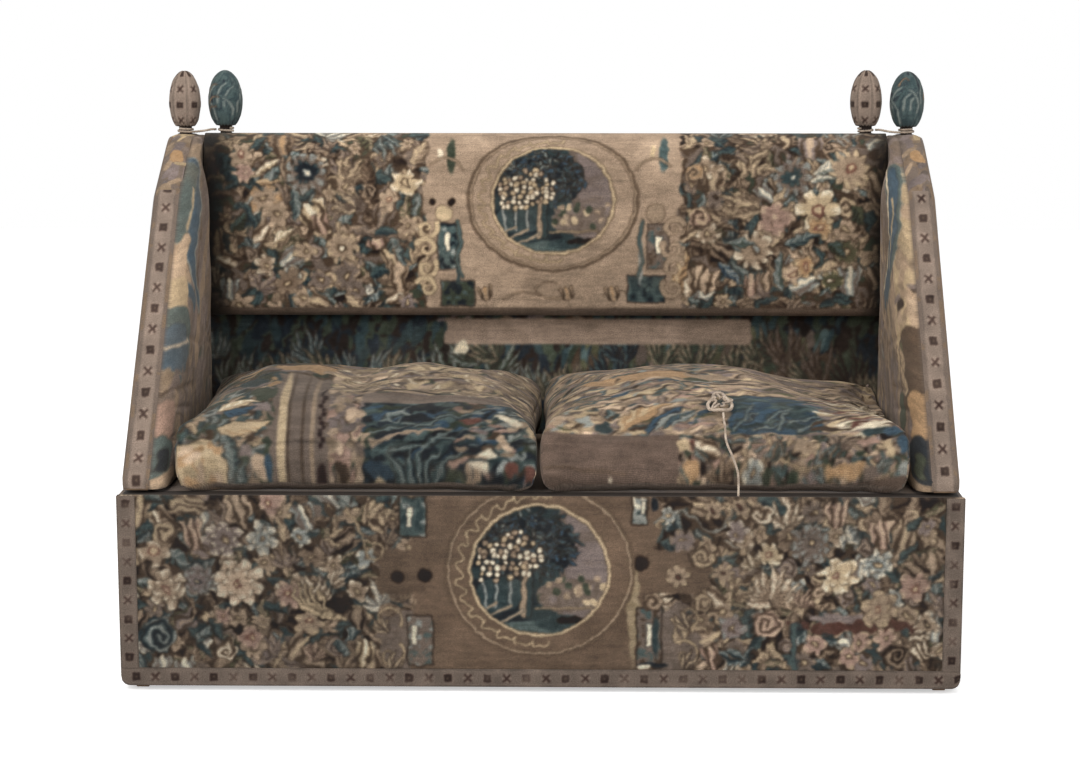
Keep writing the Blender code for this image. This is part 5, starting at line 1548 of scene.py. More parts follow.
BACK_MOTIFS = (
    (acanthus, -52.0, 106.5, 0.060, 2.6, "umber taupe straw", 1),
    (acanthus, -46.0, 108.0, 0.070, 0.2, "umber tan straw", -1),
    (frond, -44.5, 97.5, 0.070, 0.9, 1.3, 5, "umber tan straw", 0.30),
    (frond, -41.5, 91.0, 0.066, 2.4, 1.6, 6, "umber taupe straw", 0.30),
    (frond, -36.0, 108.5, 0.080, -1.2, 0.9, 4, "navy teal mist", 0.20),
    (tulip, -57.8, 106.2, 0.058, 0.072, "umber ground ochre", 0.1, 2),
    (leaf, -70.0, 100.0, 0.060, 0.028, 1.2, "dark sea teal"),
    (leaf, -63.5, 99.0, 0.055, 0.020, 0.5, "umber straw cream"),
    (leaf, -63.0, 96.8, 0.050, 0.018, 0.2, "umber ochre straw"),
    (flower, -66.6, 103.6, 0.031, 6, "umber tan peach", "brick peach"),
    (flower, -66.2, 99.2, 0.027, 6, "umber rose peach", "rose peach"),
    (flower, -52.4, 99.6, 0.046, 11, "umber taupe mist", "navy teal"),
    (flower, -52.4, 99.6, 0.028, 9, "navy navy teal", "mist cream"),
    (flower, -61.5, 93.6, 0.036, 5, "umber tan ochre", "umber straw"),
    (flower, -58.9, 90.2, 0.034, 6, "umber tan peach", "umber straw"),
    (tulip, -51.0, 90.0, 0.066, 0.070, "umber straw cream", 0.5, 2),
    (tulip, -49.2, 88.2, 0.040, 0.050, "umber rose peach", 0.2, 2),
    (flower, -53.0, 82.0, 0.025, 5, "umber tan straw", "umber straw"),
    (leaf, -60.5, 83.5, 0.066, 0.022, 0.5, "umber straw cream"),
    (leaf, -66.5, 93.0, 0.070, 0.026, -1.2, "navy sea teal"),
    (leaf, -69.0, 86.0, 0.060, 0.030, 0.9, "dark moss teal"),
    (leaf, -55.5, 96.5, 0.085, 0.030, -1.45, "navy teal mist"),
    (flower, -44.6, 82.8, 0.038, 9, "umber tan straw", "umber cream"),
    (flower, -44.0, 76.8, 0.034, 5, "umber taupe tan", "umber straw"),
    (tulip, -36.8, 83.6, 0.052, 0.034, "umber rose peach", 0.4, 2),
    (leaf, -43.0, 86.3, 0.110, 0.030, -0.15, "umber taupe tan"),
    (leaf, -37.5, 86.0, 0.060, 0.026, 0.1, "navy sea teal"),
    (tulip, -32.2, 76.6, 0.050, 0.078, "umber tan peach", 0.0, 2),
    (flower, -50.0, 75.5, 0.027, 5, "umber taupe tan", "umber straw"),
    (flower, -57.0, 75.0, 0.034, 6, "umber ground tan", "umber straw"),
    (flower, -30.5, 97.0, 0.034, 5, "umber straw cream", "umber straw"),
    (flower, -34.8, 93.2, 0.022, 5, "umber tan peach", "brick straw"),
    (flower, -30.0, 88.0, 0.025, 7, "umber tan straw", "umber straw"),
    (leaf, -28.5, 101.0, 0.074, 0.034, 1.1, "umber tan straw"),
    (leaf, -38.5, 76.0, 0.050, 0.032, 0.5, "navy sea teal"),
    (leaf, -26.0, 72.5, 0.110, 0.040, 1.45, "umber tan straw"),
    (leaf, -30.5, 79.0, 0.066, 0.018, 1.9, "navy teal mist"),
    (acanthus, 32.0, 107.0, 0.060, 0.9, "umber tan straw", 1),
    (frond, 38.5, 108.5, 0.060, 1.2, 1.2, 4, "navy teal mist", 0.26),
    (spiral_rose, 33.2, 98.8, 0.024, "umber tan ochre", 1.6),
    (spiral_rose, 34.1, 89.6, 0.027, "umber rose straw", 1.6),
    (flower, 37.8, 93.9, 0.027, 5, "umber taupe tan", "dark umber"),
    (frond, 47.5, 91.5, 0.100, 2.85, 0.9, 5, "umber tan straw", 0.24),
    (acanthus, 44.0, 98.0, 0.085, 0.5, "umber tan straw", 1),
    (acanthus, 42.0, 104.5, 0.070, 0.2, "umber taupe tan", -1),
    (leaf, 50.0, 93.0, 0.080, 0.034, 0.5, "umber tan straw"),
    (flower, 54.4, 98.4, 0.046, 10, "umber taupe mist", "navy teal"),
    (flower, 54.4, 98.4, 0.026, 8, "navy sea teal", "mist cream"),
    (leaf, 59.0, 99.0, 0.060, 0.030, 0.35, "moss mist cream"),
    (leaf, 58.5, 97.4, 0.056, 0.022, 0.1, "moss mist cream"),
    (tulip, 58.3, 105.6, 0.060, 0.070, "umber mauve peach", 0.0, 2),
    (flower, 67.0, 100.5, 0.047, 11, "umber tan straw", "brick straw"),
    (acanthus, 66.0, 106.0, 0.070, 1.0, "umber taupe mist", 1),
    (flower, 60.1, 91.2, 0.052, 6, "umber straw cream", "brick straw", 0.5),
    (flower, 60.4, 87.4, 0.029, 5, "umber ochre straw", "brick straw"),
    (flower, 50.7, 89.6, 0.043, 5, "umber rose peach", "rose peach"),
    (flower, 46.2, 82.6, 0.045, 9, "umber tan cream", "umber mist"),
    (leaf, 53.0, 83.5, 0.080, 0.030, 0.25, "navy teal mist"),
    (leaf, 40.0, 84.0, 0.070, 0.026, -0.05, "moss teal mist"),
    (leaf, 38.0, 80.0, 0.080, 0.028, -0.9, "navy blue mist"),
    (leaf, 41.5, 79.5, 0.076, 0.026, -0.9, "navy teal mist"),
    (leaf, 30.0, 72.5, 0.100, 0.034, 1.4, "umber ochre straw"),
    (tulip, 35.5, 75.8, 0.060, 0.062, "umber tan peach", -0.3, 3),
    (tulip, 45.5, 74.8, 0.040, 0.052, "umber rose peach", 0.0, 2),
    (tulip, 49.3, 75.4, 0.030, 0.060, "umber tan peach", 0.0, 2),
    (leaf, 52.0, 73.0, 0.090, 0.026, 1.5, "moss teal mist"),
    (flower, 54.9, 77.2, 0.027, 5, "umber peach straw", "brick straw"),
    (flower, 57.6, 78.6, 0.025, 5, "brick ochre straw", "brick straw"),
    (flower, 63.4, 76.0, 0.027, 5, "umber olive straw", "umber cream"),
    (flower, 66.8, 82.0, 0.031, 5, "umber olive tan", "umber straw"),
    (leaf, 62.0, 84.0, 0.060, 0.030, -0.6, "dark moss teal"),
    (leaf, 67.0, 92.0, 0.060, 0.030, -0.9, "dark moss olive"),
)
BACK_PANELS = (
    (-0.235, -0.193, 0.783, 0.881, "navy teal mist", (-0.213, 0.842, 0.010, 0.040)),
    (-0.226, -0.156, 0.700, 0.754, "navy moss teal", None),
    (0.229, 0.273, 0.785, 0.881, "umber taupe teal", (0.252, 0.835, 0.011, 0.036)),
    (0.185, 0.264, 0.709, 0.765, "navy sea teal", None),
)
BACK_BARS = (
    (-0.228, 1.034, 0.012, 0.030, "cream"), (0.238, 1.041, 0.012, 0.038, "straw"),
    (-0.204, 1.034, 0.018, 0.090, "moss"), (0.262, 1.040, 0.020, 0.090, "teal"),
    (-0.190, 0.800, 0.010, 0.110, "sea"), (0.212, 0.800, 0.010, 0.110, "mist"),
)
BACK_SPOTS = (
    (-0.246, 0.930, 0.007, "dark"), (-0.204, 0.930, 0.007, "dark"),
    (0.245, 0.905, 0.020, "tan"), (-0.222, 0.905, 0.018, "straw"),
)
BACK_PLAIN = np.array((0.575, 0.487, 0.402))
BACK_EDGE = np.array((0.40, 0.335, 0.285))


def paint_back():
    cartoon = Cartoon(-BACK_HALF, BACK_HALF, 0.67, 1.13, 0.0019, 51)
    cartoon.mottle(wools("dark umber taupe umber moss umber"), 0.05, 51)
    for area, seed in (((-0.76, -0.27, 0.70, 1.13), 52), ((0.29, 0.76, 0.70, 1.13), 53)):
        fill_leaves(cartoon, area, 0.030, seed, size=(0.042, 0.080))
        fill_blooms(cartoon, area, 0.052, seed + 2, 0.85)
    plain_field(cartoon, 0.02, 0.90, 0.56, 0.46, BACK_PLAIN, 54)
    grow(cartoon, BACK_MOTIFS)
    wander(cartoon, 0.0105, 0.022, 57)
    for left, right, low, high, tones, bar in BACK_PANELS:
        panel(cartoon, left, right, low, high, tones, bar, "taupe")
    for u, v, width, height, tone in BACK_BARS:
        patch(cartoon, u, v, width, height, 0.0, tone, 0.12, 0.0004, 6)
    for u, v, radius, tone in BACK_SPOTS:
        spot_of(cartoon, u, v, radius, tone, "umber")
    for side, tones in ((-1, "umber straw"), (1, "umber tan")):
        for v, turn in ((0.872, 0.4), (0.828, 2.7), (0.784, 0.5), (0.740, 2.6)):
            scroll(cartoon, side * 0.272 + 0.012, v, 0.024, turn, tones, 1.2, side, 0.015)
        points = ((0.205, 0.886), (0.196, 0.840), (0.206, 0.800), (0.192, 0.764))
        lyre = [(side * u + 0.012, v) for u, v in points]
        stroke(cartoon, lyre, 0.010, 0.008, "umber teal")
        arch_top = bow((side * 0.262 + 0.012, 1.010), (side * 0.190 + 0.012, 1.000), -side * 0.30)
        stroke(cartoon, arch_top, 0.007, 0.006, "umber tan")
    for u, v, length, turn in ((-0.09, 0.712, 0.16, 0.1), (0.05, 0.722, 0.14, 3.0),
        (0.13, 0.724, 0.10, 0.1), (-0.02, 0.736, 0.10, 0.3)):
        end = (u + length * math.cos(turn) / 2, v + length * math.sin(turn) / 2)
        stroke(cartoon, bow((u, v), end, 0.16), 0.007, 0.003, "umber tan")
    for u in (-0.13, 0.05, 0.15):
        tulip(cartoon, u, 0.728, 0.036, 0.034, "umber tan ochre", 0.2, 2)
    roundel(cartoon, 0.019, 0.934, (0.134, 0.119), (0.182, 0.150), 61)
    wander(cartoon, 0.0040, 0.014, 58)
    plain_field(cartoon, 0.0, 0.683, 1.52, 0.024, BACK_EDGE, 55)
    darken(cartoon, -0.665, -0.075, 0.42)
    darken(cartoon, 0.690, 0.060, 0.42)
    return cartoon


BACK_CARTOON = paint_back()
age(BACK_CARTOON, 0.06, 0.26, 56, 1.0)
BACK_SPANS = (("left", -BACK_HALF, -0.25), ("middle", -0.25, 0.25), ("right", 0.25, BACK_HALF))
for part, left, right in BACK_SPANS:
    columns = round((right - left) / COVER_CELL)
    surface = back_surface(left, right)
    piece = cover("back_" + part, columns, BACK_ROWS, surface, BACK_CARTOON, TAPESTRY)
    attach(piece, "base")
    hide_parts("back_pad")
print("back", round(BACK_TOP - BACK_LOW, 3), "m tall")

# %% [markdown]
# Below the pad the back goes on as a flat panel of plain foliage tapestry, tacked to the
# frame and darker than the rest, because the cushions shade it. It hangs a little loose.

# %% Panel behind the cushions
LOWER_LOW = 0.4018
LOWER_HIGH = 0.6797
LOWER_FACE = 0.6927
LOWER_REAR = 0.6997


FERN_TONES = ("dark moss mist", "dark sea mist", "dark moss tan", "navy teal mist")
SHADED_FERN_TONES = ("dark dark moss", "dark umber taupe", "dark moss tan", "dark navy teal")
LOWER_PLAIN = np.array((0.545, 0.465, 0.40))


def lower_back_surface(u, v, sink):
    half = BACK_HALF - 0.0004
    x = -half + 2 * half * u
    z = LOWER_LOW + (LOWER_HIGH - LOWER_LOW) * v
    inner = ease((half - np.abs(x)) / 0.05) * ease((LOWER_HIGH - z) / 0.02)
    depth = LOWER_FACE - (0.004 + slack(x, z, 21, 0.007)) * inner
    depth = np.where(sink > 0.5, LOWER_REAR, depth)
    return x, depth, z, x, z


def paint_lower_back():
    """Dark ferns and grasses, with one plain strip and a torn corner that shows lining."""
    cartoon = Cartoon(-BACK_HALF, BACK_HALF, 0.40, 0.69, 0.0022, 61)
    cartoon.mottle(wools("dark navy dark moss navy"), 0.03, 61)
    daubs(cartoon, (-0.76, 0.76, 0.40, 0.69), 0.030, 62, "navy sea dark moss", 0.05, 1.4, 0.4)
    daubs(cartoon, (0.06, 0.62, 0.50, 0.62), 0.022, 68, "moss umber teal taupe olive", 0.05, 1.5, 0.3)
    random = np.random.default_rng(63)
    for number in range(54):
        u = -0.74 + number * 0.028 + random.uniform(-0.01, 0.01)
        low = random.uniform(0.46, 0.57)
        tones = FERN_TONES[int(random.integers(4))]
        if u > 0.0:
            tones = SHADED_FERN_TONES[int(random.integers(4))]
        turn = 1.57 + random.uniform(-0.7, 0.7)
        frond(cartoon, u, low, random.uniform(0.07, 0.12), turn, 1.3, 6, tones, 0.17)
    daubs(cartoon, (-0.22, 0.10, 0.66, 0.685), 0.020, 65, "mauve ground umber", 0.03, 0.0, 0.3)
    wander(cartoon, 0.005, 0.018, 67)
    plain_field(cartoon, 0.120, 0.634, 0.685, 0.058, LOWER_PLAIN, 64)
    for number in range(5):
        share = number / 4
        u, v, width = -0.192 + 0.014 * share, 0.600 - 0.008 * share, 0.038 - 0.020 * share
        patch(cartoon, u, v, width, 0.012, 0.9, "cream", 0.1, 0.0008, number)
    return cartoon


LOWER_CARTOON = paint_lower_back()
age(LOWER_CARTOON, 0.04, 0.30, 66, 1.05, 1.1)
lower_back = cover("lower_back", 500, 96, lower_back_surface, LOWER_CARTOON, TAPESTRY)
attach(lower_back, "base")
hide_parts("lower_back_panel")
print("panel behind the cushions", round(LOWER_HIGH - LOWER_LOW, 3), "m tall")

# %% [markdown]
# Each side of the sofa is a padded wing on a hinge. Seen from the end, its front edge runs
# up in one long slope from a small toe, turns at a shoulder and comes level at the rear
# post, where the finial stands. The outline is drawn with straight lines and two arcs, and
# every cover of the wing, inside, outside and on the edge, is bent to that one outline.

# %% Outline of a wing
AXIS_Z = 0.4045
COVER_INSET = 0.0033
TOE_RISE = 0.0255
WING_TOE = 0.018
WING_TOE_TOP = AXIS_Z + TOE_RISE
WING_SHOULDER = (0.462, BACK_TOP - 0.115)
WING_TOP = BACK_TOP - 0.005
WING_REAR = 0.762
WING_POST_FACE = 0.700
WING_LOW = 0.409


def arc_corner(before, corner, after, radius, steps=10):
    """Points of an arc that rounds a corner of an outline."""
    before, corner, after = Vector(before), Vector(corner), Vector(after)
    inward = (before - corner).normalized()
    outward = (after - corner).normalized()
    angle = inward.angle(outward)
    reach = radius / math.tan(angle / 2)
    centre = corner + (inward + outward).normalized() * radius / math.sin(angle / 2)
    first = corner + inward * reach - centre
    sweep = first.angle_signed(corner + outward * reach - centre)
    return [centre + Matrix.Rotation(-sweep * step / steps, 2) @ first for step in range(steps + 1)]


def wing_outline():
    shoulder = Vector(WING_SHOULDER)
    toe = Vector((WING_TOE, WING_TOE_TOP))
    start = toe + (toe - shoulder).normalized() * TOE_RISE
    first = WING_SHOULDER[0]
    crest = (first + (WING_POST_FACE - first) * 0.81, WING_TOP)
    beyond = Vector((0.9, WING_TOP))
    path = [start, *arc_corner(start, shoulder, crest, 0.060)]
    path += [*arc_corner(shoulder, crest, beyond, 0.100), beyond]
    return np.array([tuple(point) for point in path])


WING = wing_outline()


def wing_height(depth, inset=COVER_INSET):
    """Height of the wing's edge at a depth, moved inwards by the inset."""
    run = np.gradient(WING, axis=0)
    run /= np.linalg.norm(run, axis=1)[:, None]
    moved = WING + np.stack([run[:, 1], -run[:, 0]], axis=1) * inset
    return np.interp(depth, moved[:, 0], moved[:, 1])


print("wing height at the shoulder", round(float(wing_height(WING_SHOULDER[0])), 4))

# %% [markdown]
# Inside, the wing is a full pad that swells from its edges and thins beside the back, so it
# can fold down past it. The cloth there is faded and cut from several lengths, and it has
# creases where it is pulled round the pad. A crease is a soft groove along a short line.

# %% Inside covers of the wings
PAD_SEAT = 0.7800
PAD_THICK = 0.045
PAD_THIN = 0.0255
PAD_SPLIT = 0.6244


def creases(u, v, lines):
    """Grooves along lines (u0, v0, u1, v1, width, height)."""
    total = np.zeros_like(u)
    for u0, v0, u1, v1, width, height in lines:
        run = np.array([u1 - u0, v1 - v0])
        share = ((u - u0) * run[0] + (v - v0) * run[1]) / float(run @ run)
        held = np.clip(share, 0, 1)
        off = np.hypot(u - u0 - held * run[0], v - v0 - held * run[1]) / width
        ends = ease(np.minimum(held, 1 - held) * 5 + 0.25)
        total += height * np.exp(-off * off) * ends
    return total


WING_CREASES = (
    (0.08, 0.60, 0.34, 0.57, 0.007, -0.0030),
    (0.10, 0.56, 0.30, 0.53, 0.006, -0.0025),
    (0.20, 0.70, 0.44, 0.64, 0.009, -0.0028),
    (0.06, 0.50, 0.24, 0.49, 0.006, -0.0025),
    (0.38, 0.95, 0.56, 0.78, 0.009, -0.0022),
    (0.48, 0.72, 0.60, 0.60, 0.008, -0.0025),
    (0.30, 0.85, 0.52, 0.62, 0.012, 0.0020),
)


def wing_inside_surface(side, seed):
    toe = WING_TOE + COVER_INSET

    def surface(u, v, sink):
        depth = toe + (WING_REAR - toe) * u
        top = wing_height(depth)
        z = WING_LOW + (top - WING_LOW) * np.sin(v * math.pi / 2)
        inward = round_over((top - z) / 0.100)
        foot = 0.75 + 0.25 * round_over((z - WING_LOW) / 0.150)
        thick = 0.010 + (PAD_THICK - 0.010) * inward * foot
        front = 0.35 + 0.65 * round_over((depth - toe) / 0.020)
        thick = thick * front
        inner = ease((top - z) / 0.05) * ease((z - WING_LOW) / 0.03) * ease((depth - toe) / 0.05)
        wave = slack(depth, z, seed, 0.0040) + creases(depth, z, WING_CREASES)
        thick = thick + wave * inner
        beside = ease((depth - PAD_SPLIT + 0.030) / 0.030)
        thick = thick * (1 - beside) + np.minimum(thick, PAD_THIN) * beside
        x = side * (PAD_SEAT - thick * (1 - sink))
        return x, depth, z, depth, z + (1 - inward) * 0.03

    return surface


def beside_edge(cartoon, points, first_width, last_width, tones, shift=0.0):
    """A stroke along the slope of the wing, moved inwards by the shift."""
    stroke(cartoon, [(u + shift, v - shift * 0.4) for u, v in points], first_width, last_width, tones)


def paint_left_wing():
    """Pieced scraps: a grey-blue ribbon in two branches, an ochre lozenge and a blue square."""
    cartoon = Cartoon(0.0, 0.78, 0.39, 1.12, 0.0020, 81)
    cartoon.mottle(wools("taupe mauve ground mauve taupe"), 0.09, 81)
    daubs(cartoon, (0.0, 0.78, 0.40, 1.12), 0.040, 82, "mauve taupe ground mauve", 0.09, 0.87, 0.25,
        0.30)
    pale = ((0.62, 1.07), (0.52, 1.00), (0.42, 0.91), (0.33, 0.80), (0.24, 0.69))
    beside_edge(cartoon, pale, 0.05, 0.07, "mauve tan")
    beside_edge(cartoon, pale, 0.03, 0.04, "mauve tan", 0.14)
    main = ((0.560, 1.040), (0.525, 1.000), (0.495, 0.952), (0.440, 0.905), (0.396, 0.850),
        (0.392, 0.792), (0.432, 0.730))
    stroke(cartoon, main, 0.062, 0.050, "umber mist")
    stroke(cartoon, main, 0.048, 0.034, "mist blue")
    branch = ((0.545, 1.030), (0.480, 0.985), (0.430, 0.942), (0.396, 0.905))
    stroke(cartoon, branch, 0.046, 0.034, "mist teal")
    stroke(cartoon, ((0.318, 0.806), (0.345, 0.770), (0.380, 0.732)), 0.034, 0.030, "mist blue")
    stroke(cartoon, ((0.500, 0.985), (0.455, 0.940), (0.415, 0.900)), 0.010, 0.008, "mist straw")
    stroke(cartoon, ((0.402, 0.888), (0.362, 0.850), (0.330, 0.818)), 0.020, 0.034, "ochre peach")
    stroke(cartoon, ((0.310, 0.792), (0.270, 0.750), (0.238, 0.712)), 0.072, 0.080, "tan straw")
    stroke(cartoon, ((0.262, 0.712), (0.214, 0.655)), 0.110, 0.110, "taupe teal")
    stroke(cartoon, ((0.240, 0.688), (0.212, 0.655)), 0.092, 0.092, "navy blue")
    stroke(cartoon, bow((0.200, 0.712), (0.285, 0.672), -0.16), 0.009, 0.007, "mauve cream")
    stroke(cartoon, bow((0.160, 0.648), (0.240, 0.600), 0.04), 0.007, 0.006, "umber straw")
    daubs(cartoon, (0.02, 0.34, 0.47, 0.63), 0.030, 84, "mauve tan taupe tan", 0.05, 0.87, 0.4)
    stroke(cartoon, bow((0.110, 0.618), (0.235, 0.570), 0.05), 0.005, 0.004, "dark umber")
    stroke(cartoon, bow((0.085, 0.572), (0.200, 0.520), 0.03), 0.004, 0.003, "dark umber")
    stroke(cartoon, ((0.128, 0.566), (0.090, 0.528)), 0.060, 0.060, "mauve rose")
    stroke(cartoon, bow((0.060, 0.520), (0.160, 0.478), 0.03), 0.004, 0.003, "dark umber")
    stroke(cartoon, ((0.075, 0.500), (0.036, 0.466)), 0.060, 0.060, "umber teal")
    stroke(cartoon, ((0.070, 0.486), (0.048, 0.466)), 0.026, 0.026, "dark navy")
    patch(cartoon, 0.045, 0.434, 0.100, 0.032, 0.0, "peach", 0.30, 0.0003, 12)
    wander(cartoon, 0.010, 0.030, 87)
    fill_leaves(cartoon, (0.44, 0.76, 0.42, 0.66), 0.045, 85,
        ("umber taupe tan", "umber mauve mist", "dark moss teal"), (0.04, 0.07))
    return cartoon


def paint_right_wing():
    """Pieced scraps: a blue ribbon with a cream edge beside a long straw stripe."""
    cartoon = Cartoon(0.0, 0.78, 0.39, 1.12, 0.0020, 91)
    cartoon.mottle(wools("taupe ground mauve ground taupe"), 0.09, 91)
    daubs(cartoon, (0.0, 0.78, 0.40, 1.12), 0.040, 92, "mauve taupe tan ground", 0.09, 0.87, 0.25, 0.30)
    stripe = ((0.520, 1.020), (0.435, 0.940), (0.365, 0.850), (0.305, 0.775), (0.250, 0.700))
    stroke(cartoon, stripe, 0.060, 0.115, "umber peach")
    stroke(cartoon, stripe, 0.048, 0.098, "peach straw")
    daubs(cartoon, (0.22, 0.42, 0.68, 0.96), 0.030, 93, "straw peach peach tan", 0.05, 0.87, 0.25, 0.4)
    ribbon = ((0.560, 1.010), (0.490, 0.955), (0.448, 0.900), (0.430, 0.840), (0.440, 0.790),
        (0.480, 0.745))
    stroke(cartoon, ribbon, 0.066, 0.072, "mist teal")
    stroke(cartoon, ribbon, 0.044, 0.050, "navy blue")
    stroke(cartoon, [(u + 0.036, v) for u, v in ribbon], 0.012, 0.012, "umber cream")
    stroke(cartoon, ((0.500, 0.960), (0.455, 0.925), (0.452, 0.880), (0.425, 0.850), (0.440, 0.810)),
        0.010, 0.010, "mist straw")
    for u, v, wide, tall in ((0.300, 0.812, 0.020, 0.026), (0.318, 0.752, 0.026, 0.026)):
        patch(cartoon, u, v, wide, tall, 0.6, "dark", 0.2, 0.0004, 4)
        patch(cartoon, u + 0.016, v + 0.004, wide * 0.6, tall, 0.6, "mauve", 0.2, 0.0004, 5)
    stroke(cartoon, ((0.228, 0.690), (0.165, 0.612)), 0.100, 0.110, "dark umber")
    for number in range(11):
        share = number / 10
        u, v = 0.225 - 0.062 * share, 0.690 - 0.078 * share
        line = bow((u - 0.034, v + 0.026), (u + 0.036, v - 0.028), 0.03)
        stroke(cartoon, line, 0.004, 0.003, "dark tan")
    stroke(cartoon, ((0.262, 0.672), (0.236, 0.632)), 0.020, 0.020, "umber olive")
    stroke(cartoon, ((0.268, 0.660), (0.246, 0.630)), 0.008, 0.008, "umber cream")
    for u, v, turn in ((0.215, 0.600, 0.9), (0.250, 0.588, 1.1), (0.180, 0.580, 0.6)):
        leaf(cartoon, u, v, 0.090, 0.036, turn, "umber tan straw")
    stroke(cartoon, ((0.150, 0.590), (0.110, 0.550), (0.085, 0.515)), 0.044, 0.040, "umber ochre")
    stroke(cartoon, ((0.200, 0.560), (0.160, 0.510)), 0.050, 0.040, "dark moss")
    stroke(cartoon, ((0.072, 0.500), (0.045, 0.462)), 0.070, 0.060, "dark navy")
    stroke(cartoon, ((0.066, 0.486), (0.048, 0.462)), 0.026, 0.026, "dark moss")
    patch(cartoon, 0.060, 0.428, 0.110, 0.026, 0.0, "tan", 0.35, 0.0004, 14)
    wander(cartoon, 0.010, 0.030, 97)
    fill_leaves(cartoon, (0.46, 0.76, 0.42, 0.70), 0.045, 95,
        ("umber taupe tan", "umber mauve mist", "umber tan straw"), (0.04, 0.07))
    return cartoon


WING_CARTOONS = {"left": paint_left_wing(), "right": paint_right_wing()}
age(WING_CARTOONS["left"], 0.27, 0.22, 86, 1.06, 1.12)
age(WING_CARTOONS["right"], 0.20, 0.22, 96, 1.06, 1.12)
for side_name, side in SIDES:
    surface = wing_inside_surface(side, 31 + side)
    inside = cover(side_name + "_wing_inside", 250, 190, surface, WING_CARTOONS[side_name], TAPESTRY)
    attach(inside, side_name + "_arm")
    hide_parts(side_name + "_arm_inner_pad")
print("inside covers", len(inside.data.vertices), "points each")

# %% [markdown]
# Outside, a wing is closed with plain woollen cloth, drawn flat over thin wadding and
# tacked all round. The same cloth covers the ends and the back of the seat. It has no
# picture in it, so its look is all in the shader: a dense weave of brown threads, with soft
# lighter and darker blots from dust and wear.

# %% Plain cloth
def plain_material(name, tones, weave=1500.0):
    material, nodes, links, shader = shader_of(name, 0.94, 0.15)
    shader.inputs["Specular IOR Level"].default_value = 0.2
    place = object_place(nodes)
    blots = noise_of(nodes, links, place, 7.0, 6.0)
    threads = noise_of(nodes, links, place, weave / 2, 2.0)
    mix = add_node(nodes, "Math")
    mix.operation = "MULTIPLY_ADD"
    mix.inputs[1].default_value = 0.35
    links.new(threads, mix.inputs[0])
    links.new(blots, mix.inputs[2])
    stops = [(0.45 + 0.15 * number, tone) for number, tone in enumerate(tones)]
    links.new(ramp_of(nodes, links, mix.outputs[0], stops), shader.inputs["Base Color"])
    warp = waves_of(nodes, links, place, "DIAGONAL", Scale=260.0, Distortion=2.0)
    first = bump_of(nodes, links, warp, 0.0004, 0.5, shader)
    bump_of(nodes, links, threads, 0.0006, 0.6, shader, first)
    return material


PLAIN_TONES = (WOOL["taupe"] * 0.84, WOOL["taupe"] * 0.92, WOOL["ground"] * 0.93)
PLAIN = plain_material("plain_wool", PLAIN_TONES)
PLAIN_CARTOON = Cartoon(-1.0, 1.0, -0.1, 1.2, 0.05, 5)
PLAIN_CARTOON.mottle(wools("taupe taupe"), 0.2, 5)


def panel_surface(corner, run_u, run_v, out, thick, bulge, seed):
    """A flat panel from a corner, along two directions, that swells outwards.

    Every vector is (x, depth, z). The face stands thick out from the rear.
    """
    corner, run_u, run_v = np.array(corner), np.array(run_u), np.array(run_v)
    out = np.array(out)
    wide, tall = float(np.linalg.norm(run_u)), float(np.linalg.norm(run_v))

    def surface(u, v, sink):
        margin = np.minimum(np.minimum(u, 1 - u) * wide, np.minimum(v, 1 - v) * tall)
        swell = round_over(margin / 0.012) * 0.0025 + ease(margin / 0.08) * bulge
        swell = swell + slack(u * wide, v * tall, seed, 0.003) * ease(margin / 0.05)
        stand = (thick - 0.0025 + swell) * (1 - sink)
        point = corner + u[:, None] * run_u + v[:, None] * run_v + stand[:, None] * out
        return point[:, 0], point[:, 1], point[:, 2], u * wide - 0.5, v * tall

    return surface


def plain_panel(name, node, body, corner, run_u, run_v, out, thick, bulge, seed, pitch=0.010):
    columns, rows = [max(4, round(float(np.linalg.norm(run)) / pitch)) for run in (run_u, run_v)]
    surface = panel_surface(corner, run_u, run_v, out, thick, bulge, seed)
    piece = cover(name, columns, rows, surface, PLAIN_CARTOON, PLAIN)
    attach(piece, body)
    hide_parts(node)


for side_name, side in SIDES:
    plain_panel(
        side_name + "_seat_end", side_name + "_side_cover", "base",
        (side * (WIDE - 0.010), 0.0159, FOOT_SHOW), (0, 0.7515, 0), (0, 0, SEAT_TOP - FOOT_SHOW),
        (side, 0, 0), 0.010, 0.0015, 91 + side,
    )


WING_OUTER = 0.8240
REAR_BOARD = 0.768


def wing_outside_surface(side):
    toe = WING_TOE + COVER_INSET

    def surface(u, v, sink):
        depth = toe + (WING_REAR - toe) * u
        top = wing_height(depth)
        z = WING_LOW + (top - WING_LOW) * v
        sides = (depth - toe, WING_REAR - depth, z - WING_LOW, top - z)
        margin = np.minimum.reduce(sides)
        swell = 0.0055 + 0.0025 * round_over(margin / 0.010) + 0.0015 * ease(margin / 0.09)
        swell = swell + slack(depth, z, 44, 0.003) * ease(margin / 0.05)
        x = side * (WING_OUTER + swell * (1 - sink))
        return x, depth, z, depth - 0.4, z

    return surface


for side_name, side in SIDES:
    surface = wing_outside_surface(side)
    outside = cover(side_name + "_wing_outside", 90, 80, surface, PLAIN_CARTOON, PLAIN)
    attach(outside, side_name + "_arm")
    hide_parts(side_name + "_arm_outer_cover")

